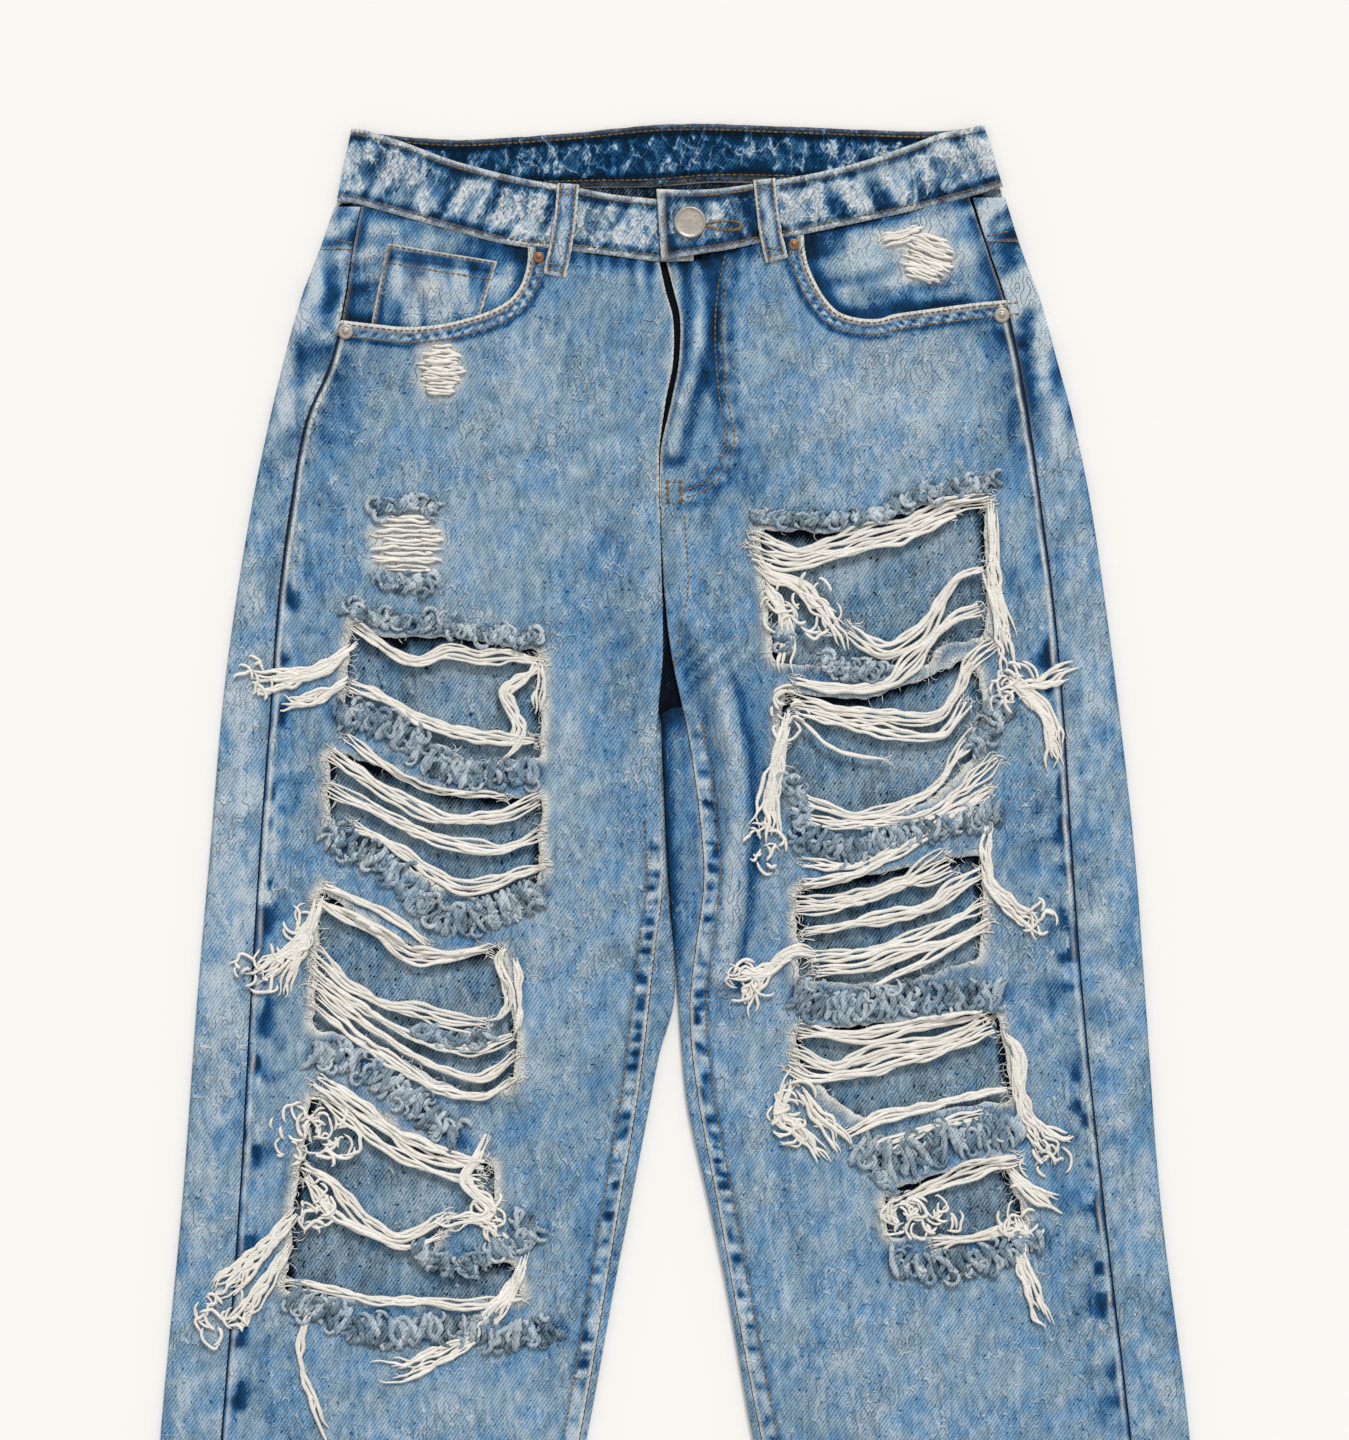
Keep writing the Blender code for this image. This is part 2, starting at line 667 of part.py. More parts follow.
def back_panel(side, collection):
    """The back of one leg and half the seat. Its edges roll over the front as far as the seams."""
    whole, inner = [], []
    centre = BACK_CENTRE * side + SEAM_GAP / 2
    side_top = YOKE_AT_SIDE[side] + SEAM_GAP
    for down in (side_top, *HIP_LEVELS[1:]):
        row = flange(side, down)
        share = (down - side_top) / (HIP - side_top)
        for place in (0.66, 0.33, 0):
            out = centre + (outer_edge(side, down) - centre) * place
            top = yoke_line(side, out) + SEAM_GAP
            row.append(mm(side * out, top + (HIP - top) * share, BACK_LEVEL))
        whole.append(row)
    for down in SEAT_LEVELS + LEG_LEVELS:
        row = flange(side, down)
        middle = centre if down < CROTCH else inner_start(side, down)[0]
        for place in (0.66, 0.33, 0):
            out = middle + (outer_edge(side, down) - middle) * place
            row.append(mm(side * out, down, BACK_LEVEL))
        if down >= CROTCH:
            ends = inseam_travel(side, down) - SEAM_GAP / 2
            inner.append([inner_path(side, down, ends * step / 6) for step in range(7)])
        whole.append(row)
    return cloth(f"back_panel_{SIDE_NAME[side]}", [whole, inner], DENIM, "denim", collection)


def yoke(side, collection):
    """The back yoke. It rolls over the side and shows on the front as far as the side seam."""
    grid = []
    centre = BACK_CENTRE * side + SEAM_GAP / 2
    top = front_band_bottom(side * SIDE_LINES[side][0].side_seam) + SEAM_GAP + 0.6
    for down in (top, HIP_LEVELS[0], YOKE_AT_SIDE[side]):
        share = (down - top) / (YOKE_AT_SIDE[side] - top)
        row = flange(side, down)
        for place in (0.8, 0.6, 0.4, 0.2, 0):
            out = centre + (outer_edge(side, down) - centre) * place
            start = back_band_bottom(side * out) + SEAM_GAP + 0.4
            row.append(mm(side * out, start + (yoke_line(side, out) - start) * share, BACK_LEVEL))
        grid.append(row)
    return cloth(f"yoke_{SIDE_NAME[side]}", [grid], DENIM, "denim", collection)


def front_row(side, level):
    """A row across the front panel. Below the hip it is level, and above it follows the band."""
    seam_top = front_band_bottom(side * 172) + SEAM_GAP
    share = (max(level, seam_top) - seam_top) / (HIP - seam_top)

    def down_at(out):
        top = front_band_bottom(side * out) + SEAM_GAP
        return level if level >= HIP else top + (HIP - top) * share

    last = side_seam(side, max(level, seam_top)) - SEAM_GAP / 2
    if level >= CROTCH:
        travel = inseam_travel(side, level) + SEAM_GAP / 2
        points = [inner_path(side, level, travel + offset) for offset in INNER_COLUMNS]
    else:
        first = smooth(FRONT_INNER[side], "out", down_at(0)) + SEAM_GAP / 2
        points = []
        for offset in INNER_COLUMNS:
            x, down = side * (first + offset), down_at(first + offset)
            points.append(mm(x, down, front_height(side, x, down)))
    first = points[-1].x * 1000 * side
    for step in range(1, OUTER_COLUMNS + 1):
        out = first + (last - first) * step / OUTER_COLUMNS
        down = down_at(out)
        points.append(mm(side * out, down, front_height(side, side * out, down)))
    return points


def front_panel(side, collection):
    """The front of one leg and half the seat, with its pocket mouth and its rips cut through."""
    levels = (0, HIP_LEVELS[0], YOKE_AT_SIDE[side], *HIP_LEVELS[1:], *SEAT_LEVELS, *LEG_LEVELS)
    grid = [front_row(side, level) for level in levels]
    panel = cloth(f"front_panel_{SIDE_NAME[side]}", [grid], DENIM, "denim", collection)
    outlines = [mouth_outline(side)] + [eased(outline) for outline in RIPS[side]]
    cutters = bpy.data.collections.new(f"cutters_{SIDE_NAME[side]}")
    bpy.context.scene.collection.children.link(cutters)
    for i, outline in enumerate(outlines):
        cut = panel.modifiers.new(f"cut_{i}", "BOOLEAN")
        cut.operation = "DIFFERENCE"
        cut.solver = "EXACT"
        cut.object = cutter(f"cutter_{SIDE_NAME[side]}_{i}", outline, cutters)
    cutters.hide_render = True
    return panel


def eased(outline):
    """A rip's outline with its corners cut off."""
    made = []
    for i, (x, down) in enumerate(outline):
        for other in (outline[i - 1], outline[(i + 1) % len(outline)]):
            share = min(4 / hypot(other[0] - x, other[1] - down), 0.4)
            made.append((x + (other[0] - x) * share, down + (other[1] - down) * share))
    return made


def mouth_line(side):
    return curve_through([(side * row.out, row.down) for row in POCKET_MOUTH[side]], 2)


def mouth_outline(side):
    """The region above a pocket mouth, as far as beyond the waistband and the side seam."""
    line = mouth_line(side)
    return line + [(side * 260, line[-1][1]), (side * 260, 0), (line[0][0], 0)]


def cutter(name, outline, collection):
    """A prism through the front's cloth from an outline of (x, down) points."""
    shape = bmesh.new()
    face = shape.faces.new([shape.verts.new(mm(x, down, 2)) for x, down in outline])
    raised = bmesh.ops.extrude_face_region(shape, geom=[face])
    lifted = [item for item in raised["geom"] if isinstance(item, bmesh.types.BMVert)]
    bmesh.ops.translate(shape, verts=lifted, vec=(0, 0, 0.04))
    bmesh.ops.recalc_face_normals(shape, faces=shape.faces)
    mesh = bpy.data.meshes.new(name)
    shape.to_mesh(mesh)
    shape.free()
    made = bpy.data.objects.new(name, mesh)
    collection.objects.link(made)
    made.hide_render = True
    made.display_type = "WIRE"
    return made


def pocket_facing(side, collection):
    """The cloth seen in a pocket mouth: it runs on a little way under the front panel."""
    mouth = [(row.out, row.down) for row in POCKET_MOUTH[side]]
    first = mouth[0][0] - 9
    grid = []
    for share in (0, 0.2, 0.4, 0.6, 0.8, 1):
        top = front_band_bottom(side * 172) + SEAM_GAP
        seam_down = top + (along(mouth, 182) + 10 - top) * share
        last = side_seam(side, seam_down) - SEAM_GAP
        row = []
        for step in range(10):
            out = first + (last - first) * step / 9
            top = front_band_bottom(side * out) + SEAM_GAP
            bottom = along(mouth, max(out, mouth[0][0] + 8)) + 10
            row.append(mm(side * out, top + (bottom - top) * share, FRONT_LEVEL))
        grid.append(row)
    return cloth(f"pocket_facing_{SIDE_NAME[side]}", [grid], DENIM, "denim", collection)


def coin_pocket(collection):
    """The small patch pocket on the right facing. Its lower end is under the pocket mouth."""
    grid = []
    height = FRONT_LEVEL + DENIM + LIE_GAP
    for share in (0, 0.33, 0.66, 1):
        row = []
        for across in (0, 0.25, 0.5, 0.75, 1):
            top_x, top_down = -156.2 + 59.4 * across, 64.9 + 9.7 * across
            low_x, low_down = -165.5 + 58 * across, 113 - 3 * across
            x = top_x + (low_x - top_x) * share
            row.append(mm(x, top_down + (low_down - top_down) * share, height))
        grid.append(row)
    return cloth("coin_pocket", [grid], DENIM, "denim", collection)


def fly_underlap(collection):
    """The shield behind the fly's opening, under both front panels."""
    grid = []
    for down, x in ((78, 8), (105, 13), (135, 12), (160, 7), (182, 0)):
        row = []
        for share in (0, 0.5, 1):
            row.append(mm(-24 + (x + 24) * share, down, FRONT_LEVEL - DENIM - LIE_GAP))
        grid.append(row)
    return cloth("fly_underlap", [grid], DENIM, "denim_inside", collection)


def waistband(collection):
    """One strip that loops round both sides. The buttonhole's end laps over the button's."""
    grid = []

    def section(row, shift=0.0, height=None):
        level = row.height if height is None else height
        points = []
        for share in (0, 0.5, 1):
            x = row.top_x + (row.bottom_x - row.top_x) * share + shift
            down = row.top_down + (row.bottom_down - row.top_down) * share
            points.append(mm(x, down, level))
        grid.append(points)

    def fold(row, side, degrees):
        radius, middle = (BAND_FRONT - BAND_BACK) / 2, (BAND_FRONT + BAND_BACK) / 2
        for degree in degrees:
            angle = degree * pi / 180
            shift = side * (radius * cos(angle) - radius - BAND / 2)
            section(row, shift, middle + radius * sin(angle))

    for row in BAND_RIGHT_FRONT:
        section(row)
    fold(BAND_RIGHT_FOLD, RIGHT, (90, 45, 0, -45, -90))
    for row in BAND_BACK_ROWS:
        section(row)
    fold(BAND_LEFT_FOLD, LEFT, (-90, -45, 0, 45, 90))
    for row in BAND_LEFT_FRONT:
        section(row)
    return cloth("waistband", [grid], BAND, "denim_inside", collection)


def hem(side, collection):
    """The turned hem of one leg: two plies all round."""
    grid = []
    low, high = BAND / 2, FRONT_LEVEL + DENIM / 2
    radius = (high - low) / 2
    for down in (LENGTH - HEM_HEIGHT, LENGTH - HEM_HEIGHT / 2, LENGTH):
        first = smooth(LEG_INNER[side], "out", down) + radius + BAND / 2
        last = outer_edge(side, down) - radius - BAND / 2
        row = []
        for step in range(9):
            row.append(mm(side * (first + (last - first) * step / 8), down, high))
        for degrees in (45, 0, -45):
            angle = degrees * pi / 180
            place = last + radius * cos(angle)
            row.append(mm(side * place, down, low + radius + radius * sin(angle)))
        for step in range(9):
            row.append(mm(side * (last + (first - last) * step / 8), down, low))
        for degrees in (-45, 0, 45):
            angle = degrees * pi / 180
            place = first - radius * cos(angle)
            row.append(mm(side * place, down, low + radius + radius * sin(angle)))
        grid.append(row)
    name = f"hem_{SIDE_NAME[side]}"
    return cloth(name, [grid], BAND, "denim", collection, closed=True)


def belt_loop(side, line, trees, collection):
    name = f"belt_loop_{SIDE_NAME[side]}"
    return strip_on(name, curve_through(line, 5), 6, 2.0, trees, "denim", collection)


def button(trees, collection):
    place = mm(7, 54, top_of(trees, 7, 54, BUTTON_RADIUS) + LIE_GAP)
    r = BUTTON_RADIUS
    profile = ((0, 0), (0.7 * r, 0), (r, 0.9), (r, 2), (0.9 * r, 2.8), (0.78 * r, 2.5), (0, 2.2))
    return turned("waist_button", profile, 24, place, "nickel", collection)


def rivet(name, x, down, radius, trees, finish, collection):
    place = mm(x, down, top_of(trees, x, down, radius) + LIE_GAP)
    profile = ((0, 0), (radius, 0), (radius, 0.4), (0.5 * radius, 1.2), (0, 1.5))
    return turned(name, profile, 14, place, finish, collection)


def main():
    for obj in list(bpy.data.objects):
        bpy.data.objects.remove(obj, do_unlink=True)
    jeans = bpy.data.collections.new("jeans")
    bpy.context.scene.collection.children.link(jeans)
    pieces = []
    for side in (RIGHT, LEFT):
        pieces.append(back_panel(side, jeans))
        pieces.append(yoke(side, jeans))
        pieces.append(front_panel(side, jeans))
        pieces.append(pocket_facing(side, jeans))
        hem(side, jeans)
    pieces.append(coin_pocket(jeans))
    fly_underlap(jeans)
    pieces.append(waistband(jeans))
    bpy.context.view_layer.update()
    trees = [tree_of(obj) for obj in pieces]
    belt_loop(RIGHT, ((-58.6, 33), (-60, 50), (-62.5, 66), (-66, 82.5)), trees, jeans)
    belt_loop(LEFT, ((47, 30.5), (48.5, 46), (50.5, 60), (53.8, 74)), trees, jeans)
    button(trees, jeans)
    rivet("rivet_outer_right", -178.4, 112.5, RIVET_RADIUS, trees, "nickel", jeans)
    rivet("rivet_inner_right", -74.5, 72.5, 0.8 * RIVET_RADIUS, trees, "copper", jeans)
    rivet("rivet_inner_left", 63, 65.5, 0.8 * RIVET_RADIUS, trees, "copper", jeans)
    rivet("rivet_outer_left", 175, 103.5, RIVET_RADIUS, trees, "nickel", jeans)
    for side in (RIGHT, LEFT):
        for kind, rows in (("yarns", YARNS), ("fray", FRAYS), ("tuft", TUFTS)):
            made = []
            for i, row in enumerate(rows[side]):
                name = f"{kind}_{SIDE_NAME[side]}_{i + 1}"
                if kind == "fray":
                    line = curve_through(row.route, 3)
                    obj = strip_on(
                        name, line, row.half_width, 1.4, trees, "frayed_denim", jeans, 0.8
                    )
                elif kind == "yarns":
                    radii = (row.radius, row.radius)
                    line = over_edges(row.route, 4)
                    obj = lying_tube(name, line, radii, trees, "yarn", jeans)
                else:
                    radii = (row.root, row.tip)
                    obj = lying_tube(name, row.route, radii, trees, "yarn", jeans)
                made.append(obj)
            bpy.context.view_layer.update()
            trees += [tree_of(obj) for obj in made]


def over_edges(route, reach):
    """A route made longer at both ends, so that it lies on the cloth beside the rip."""
    made = list(route)
    for end, inside in ((0, 1), (-1, -2)):
        (x, down), (bx, bd) = route[end], route[inside]
        length = hypot(x - bx, down - bd)
        made[end] = (x + (x - bx) / length * reach, down + (down - bd) / length * reach)
    return made


main()
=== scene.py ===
"""Ripped high-rise jeans, laid flat on their back with the front up: the look of each sewn piece."""

import json
import logging
from dataclasses import dataclass
from enum import Enum
from math import cos, pi, radians, sin
from typing import Any, Callable, Iterable, NamedTuple, Sequence

import bmesh
import bpy
import numpy as np
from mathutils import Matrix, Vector
from mathutils.bvhtree import BVHTree

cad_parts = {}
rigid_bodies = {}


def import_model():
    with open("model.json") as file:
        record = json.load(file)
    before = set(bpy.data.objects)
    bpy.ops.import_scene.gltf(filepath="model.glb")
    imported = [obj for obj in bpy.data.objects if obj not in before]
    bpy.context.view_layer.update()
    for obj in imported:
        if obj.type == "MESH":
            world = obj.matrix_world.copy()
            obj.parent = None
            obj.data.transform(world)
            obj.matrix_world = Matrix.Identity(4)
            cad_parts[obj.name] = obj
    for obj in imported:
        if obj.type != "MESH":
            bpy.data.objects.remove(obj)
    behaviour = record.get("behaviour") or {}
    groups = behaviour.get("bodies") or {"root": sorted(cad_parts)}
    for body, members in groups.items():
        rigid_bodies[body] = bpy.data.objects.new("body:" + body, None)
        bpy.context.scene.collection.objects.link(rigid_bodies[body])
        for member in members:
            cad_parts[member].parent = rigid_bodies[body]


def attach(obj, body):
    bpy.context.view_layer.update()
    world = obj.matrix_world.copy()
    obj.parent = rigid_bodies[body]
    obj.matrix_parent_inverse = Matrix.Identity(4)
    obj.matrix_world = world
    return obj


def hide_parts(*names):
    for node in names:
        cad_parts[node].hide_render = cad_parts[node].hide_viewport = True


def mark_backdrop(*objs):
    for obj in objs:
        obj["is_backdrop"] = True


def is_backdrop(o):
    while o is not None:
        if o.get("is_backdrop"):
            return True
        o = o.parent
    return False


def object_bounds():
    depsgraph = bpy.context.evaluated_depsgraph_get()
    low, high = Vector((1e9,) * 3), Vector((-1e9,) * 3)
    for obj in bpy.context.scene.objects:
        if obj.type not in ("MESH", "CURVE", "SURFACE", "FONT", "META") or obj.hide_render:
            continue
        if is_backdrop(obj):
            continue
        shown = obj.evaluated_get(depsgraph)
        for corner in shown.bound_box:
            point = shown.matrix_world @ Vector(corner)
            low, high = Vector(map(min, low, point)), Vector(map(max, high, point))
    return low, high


LOG = logging.getLogger("jeans")

# Sizes in millimetres. "down" runs from the waist to the hems, "out" from the middle to one side.
LENGTH = 980.0
HALF_WIDTH = 290.5
DENIM = 1.2
BAND = 2.4
BACK_LEVEL = 0.6
FRONT_LEVEL = 4.6
SEAM_GAP = 0.4
HEM_HEIGHT = 20.0
CROTCH = 315.0
HIP = 200.0
BACK_CENTRE = -4.0
YOKE_AT_CENTRE = 104.0
REACH_OF_CUT = 3.2  # how far a point may move onto a cut
LATTICE = 61  # cells of a random pattern before it repeats
LATTICE_START = (900.37, 700.81)  # keeps the garment clear of the pattern's own zero
SPAN_STEPS = 24  # places worked out between two points of a curve
FRONT_TOP_END = 172.0  # how far out a front's top edge ends

Line = Sequence[tuple[float, float]]


class Side(Enum):
    """The wearer's sides, as the sign of X."""

    RIGHT = -1
    LEFT = 1


YOKE_AT_SIDE = {Side.RIGHT: 68.0, Side.LEFT: 64.0}


class SideRow(NamedTuple):
    """The rolled outside edge and the side seam at one level."""

    down: float
    outer: float
    side_seam: float


class SeamRow(NamedTuple):
    """One line at one level."""

    down: float
    out: float


class BandRow(NamedTuple):
    """One section across the waistband."""

    top_x: float
    top_down: float
    bottom_x: float
    bottom_down: float
    height: float = 5.0


class Fold(NamedTuple):
    """A rise, or a trough when its height is negative, along a line of (x, down) points."""

    height: float
    half_width: float
    line: Line


class Wash(NamedTuple):
    """A faded or a darker area: its middle, its half sizes, its turn in degrees and its tone."""

    x: float
    down: float
    half_x: float
    half_down: float
    turn: float
    tone: float


def tabled(kind: Any, *values: tuple[Any, ...]) -> tuple[Any, ...]:
    """A table's rows, each from its plain values."""
    return tuple(kind(*value) for value in values)


def pairs(*numbers: float) -> Line:
    """Points from their coordinates, one after the other."""
    return tuple(zip(numbers[::2], numbers[1::2]))


def routes(kind: Any, *values: tuple[float, ...]) -> tuple[Any, ...]:
    """Rows that end in a line, which is given as the coordinates of its points."""
    own = len(kind._fields) - 1
    return tuple(kind(*value[:own], pairs(*value[own:])) for value in values)


SIDE_LINES = {
    Side.RIGHT: tabled(
        SideRow, (42, 184, 170), (68, 193, 175), (95, 203, 179), (127, 212, 186), (160, 220, 200),
        (203, 229, 208), (257, 238, 215), (311, 245, 219), (392, 252, 225), (473, 259, 230),
        (581, 267, 236), (711, 279, 246), (846, 287, 258), (LENGTH, HALF_WIDTH, 268),
    ),
    Side.LEFT: tabled(
        SideRow, (36, 176, 158), (68, 186, 168), (95, 196, 177), (127, 205, 184), (160, 214, 190),
        (203, 223, 196), (257, 231, 203), (311, 238, 208), (392, 247, 213), (473, 253, 219),
        (581, 261, 230), (711, 277, 245), (846, 286, 258), (LENGTH, HALF_WIDTH, 268),
    ),
}
FRONT_INNER = {
    Side.RIGHT: tabled(
        SeamRow, (74, 9.5), (90, 6), (105, 2), (129, 2), (150, 6), (180, 9.5), (235, 8.5), (284, 7.5),
        (330, 11), (372, 9), (408, 7.5), (441, 11.5), (516, 20), (583, 31), (711, 53), (846, 82),
        (LENGTH, 115),
    ),
    Side.LEFT: tabled(
        SeamRow, (74, -6), (90, -2), (105, 1.5), (129, 1), (150, -3), (180, -9.1), (235, -8.1),
        (284, -3.5), (330, 6), (372, 12), (408, 14.5), (446, 10), (475, 7), (516, 10), (583, 22),
        (711, 46), (846, 77), (LENGTH, 115),
    ),
}
LEG_INNER = {
    Side.RIGHT: tabled(
        SeamRow, (CROTCH, 9.2), (363, 7.5), (419, 4.5), (450, 1.5), (475, 1.8), (500, 9), (531, 15),
        (583, 25), (629, 34), (711, 49), (846, 78), (LENGTH, 110.5),
    ),
    Side.LEFT: tabled(
        SeamRow, (CROTCH, -8.8), (363, -7.1), (419, -4.1), (450, -1.1), (475, 0.8), (500, 2.5), (531, 6),
        (583, 17.5), (629, 27), (711, 41.5), (846, 72), (LENGTH, 110.5),
    ),
}
BAND_FRONT = 5.0
BAND_BACK = 1.2
BAND_OVERLAP = 7.9
BAND_RIGHT_FRONT = tabled(
    BandRow, (8, 43, 9, 74), (-12, 41, -12, 74), (-35, 38.5, -35, 71), (-54, 35, -54, 69, 5.6),
    (-85, 29.5, -89, 65.5), (-120, 20.5, -125, 56.5, 5.5), (-147, 10.5, -153, 48.5),
    (-166, 4.5, -173, 43),
)
BAND_RIGHT_FOLD = BandRow(-176, 3, -184, 42)
BAND_BACK_ROWS = tabled(
    BandRow, (-160, 5.5, -167, 41, BAND_BACK), (-122, 8.5, -124, 38.5, BAND_BACK),
    (-85, 7, -85, 35, BAND_BACK), (-47, 4, -47, 33.5, BAND_BACK), (-14, 0.6, -14, 33, BAND_BACK),
    (20, 0, 18, 30.5, BAND_BACK), (60, 1.5, 60, 31, BAND_BACK), (99, 3, 99, 34, BAND_BACK),
    (140, 4, 144, 36, BAND_BACK),
)
BAND_LEFT_FOLD = BandRow(166, 1.5, 176, 34)
BAND_LEFT_FRONT = tabled(
    BandRow, (157, 3, 165, 37), (143, 5.5, 151, 41), (123, 13, 127, 47, 5.5), (99, 21, 101, 52.5),
    (75, 27, 76, 58, 5.5), (52, 31, 52, 62.5, 5.4), (34, 34, 32, 67, 5.6),
    (20, 36, 18, 69.5, BAND_OVERLAP), (6, 36.5, 6, 71.5, BAND_OVERLAP), (-11, 36, -8.5, 74, BAND_OVERLAP),
)
# The pocket mouths, as (out, down) points.
POCKET_MOUTH = {
    Side.RIGHT: pairs(80, 62, 81, 78, 87, 92, 100, 101, 124, 108, 145, 110, 163, 108.5, 183, 106, 200, 104),
    Side.LEFT: pairs(68, 56, 70, 74, 77, 90, 86, 101, 97, 105, 109, 105.5, 117, 103, 138, 100, 160, 97,
     176, 95.5, 196, 93),
}
POCKET_LIFT = {Side.RIGHT: 3.0, Side.LEFT: 1.8}
FOLDS = {
    Side.RIGHT: routes(
        Fold, (5.0, 22, -14, 215, -16, 290, -17, 340, -15, 400, -21, 440),
        (3.0, 20, -60, 330, -75, 420, -80, 520), (2.6, 24, -200, 480, -212, 600, -225, 720),
        (2.2, 26, -90, 700, -140, 780, -150, 900),
    ),
    Side.LEFT: routes(
        Fold, (3.2, 12, 12, 84, 13, 110, 6, 140, -2, 175),
        (7.5, 13, 10, 268, 24, 305, 31, 340, 33, 385, 30, 425, 24, 460),
        (2.6, 24, 190, 330, 200, 450, 214, 600), (2.4, 26, 85, 650, 125, 760, 150, 900),
    ),
}
# Smaller creases of the front, over the folds above.
CREASES = {
    Side.RIGHT: routes(
        Fold, (-1.2, 5, -8, 262, -20, 300, -24, 330), (1.0, 6, -13, 190, -22, 225, -40, 262),
        (-1.0, 7, -20, 185, -34, 220, -58, 250), (0.9, 8, -12, 330, -30, 352, -52, 360),
        (-0.8, 7, -24, 160, -60, 176, -104, 180), (0.8, 8, -60, 110, -90, 136, -130, 150),
        (-0.9, 6, -70, 84, -58, 120, -50, 150), (0.8, 6, -172, 125, -160, 160, -168, 205),
        (-0.8, 6, -182, 120, -176, 165, -184, 215), (0.9, 9, -204, 230, -196, 290, -204, 350),
        (0.8, 9, -52, 470, -64, 560, -60, 640), (-0.8, 8, -40, 500, -48, 600, -70, 690),
        (1.0, 10, -120, 690, -170, 730, -230, 740), (-0.9, 9, -110, 720, -160, 765, -240, 770),
    ),
    Side.LEFT: routes(
        Fold, (-1.8, 6, 2, 292, 14, 318, 20, 350, 22, 392), (1.2, 5, 4, 200, 2, 240, 6, 268),
        (-1.2, 6, 10, 190, 22, 232, 44, 262), (1.0, 7, 20, 190, 44, 222, 70, 236),
        (-1.0, 7, 42, 300, 44, 350, 40, 410), (-1.1, 5, 22, 84, 25, 120, 22, 160, 10, 190),
        (0.9, 6, 30, 90, 34, 130, 31, 172), (0.8, 8, 60, 120, 92, 146, 130, 160),
        (-0.8, 7, 160, 110, 176, 140, 184, 190), (0.8, 8, 180, 205, 188, 260, 190, 330),
        (0.9, 9, 36, 480, 44, 560, 62, 650), (-0.8, 8, 50, 500, 58, 580, 78, 660),
        (1.0, 10, 110, 700, 170, 740, 235, 748), (-0.9, 9, 120, 735, 180, 775, 250, 780),
    ),
}
RIPS = {
    Side.RIGHT: (
        pairs(-175, 267, -160, 278, -124, 276, -73, 285, -73, 343, -110, 344, -142, 328, -179, 314),
        pairs(-187, 337, -152, 350, -124, 361, -73, 364, -74, 410, -98, 420, -125, 412, -152, 396,
            -187, 384),
        pairs(-192, 412, -168, 432, -130, 449, -95, 444, -86, 492, -90, 522, -112, 524, -136, 512, -163, 496,
         -195, 488),
        pairs(-197, 523, -165, 533, -133, 554, -99, 562, -98, 582, -130, 598, -134, 614, -87, 614, -84, 634,
         -136, 636, -211, 630, -206, 582, -200, 545),
    ),
    Side.LEFT: (
        pairs(44, 219, 92, 221, 130, 207, 166, 203, 167, 258, 165, 277, 141, 282, 134, 292, 98, 294, 52, 291,
         49, 255),
        pairs(57, 306, 103, 311, 159, 288, 165, 311, 160, 342, 136, 364, 108, 379, 65, 374, 57, 340),
        pairs(64, 413, 119, 402, 165, 394, 163, 450, 119, 464, 66, 462),
        pairs(65, 489, 118, 484, 173, 479, 181, 526, 146, 531, 97, 536, 65, 508),
        pairs(113, 576, 143, 566, 173, 557, 189, 594, 152, 599, 113, 601),
    ),
}
# Faded and darker areas of the wash.
WASHES = tabled(
    Wash, (-74, 150, 70, 70, 10, 0.3), (-120, 235, 60, 40, 0, 0.18), (-184, 150, 20, 60, 8, -0.25),
    (-240, 390, 24, 120, 5, 0.45), (135, 150, 45, 36, 0, 0.35), (-40, 110, 26, 40, 0, -0.2),
    (-27, 270, 20, 75, 2, -0.3), (-55, 400, 26, 120, 2, 0.12), (-45, 560, 22, 70, 8, 0.05),
    (-110, 690, 80, 40, 0, 0.15), (-215, 600, 14, 120, 3, -0.1), (-202, 300, 12, 70, 4, -0.16),
    (95, 150, 60, 50, 0, 0.25), (36, 190, 22, 22, 20, -0.45), (62, 215, 30, 14, 30, -0.3),
    (180, 140, 16, 50, -10, -0.4), (160, 175, 26, 26, 0, -0.18), (12, 290, 16, 40, 0, -0.25),
    (46, 330, 10, 60, 0, -0.3), (60, 560, 40, 90, -8, 0.1), (150, 680, 70, 70, 0, 0.14),
    (205, 420, 10, 140, -4, -0.12), (110, 640, 60, 30, 0, 0.05),
)
FLY_RIDGE = ((9, 72), (12.5, 82), (12, 116), (7, 136), (2, 154), (-3, 176))
INNER_FOLD = ((12, 275), (24, 305), (31, 340), (33, 385), (30, 425), (24, 462))
INSEAM_SHOWS = {Side.RIGHT: 372.0, Side.LEFT: 318.0}
FLY_STITCH = ((30, 72), (26, 90), (24.5, 113), (26.5, 145), (31, 168), (28.5, 181), (24, 190), (15, 198),
    (4, 202))
RISE_STITCH = ((4, 211), (6, 249), (2, 272), (0, 284), (-2, 296))
BUTTON_PROFILE = ((0, 0), (6, 0), (8.2, 0.8), (8.7, 1.6), (8.5, 2.4), (8.0, 2.8), (7.5, 2.75),
    (7.1, 2.4), (6.4, 2.3), (3, 2.5), (0, 2.6))
RIVET_PROFILE = ((0, 0), (3.6, 0), (4.2, 0.3), (4.1, 0.8), (3.4, 1.2), (2.6, 1.05), (1.7, 1.0),
    (1.4, 1.6), (0.8, 2.0), (0, 2.1))
LOOPS = {Side.RIGHT: ((-58.6, 33), (-60, 50), (-62.5, 66), (-66, 82.5)),
    Side.LEFT: ((47, 30.5), (48.5, 46), (50.5, 60), (53.8, 74))}


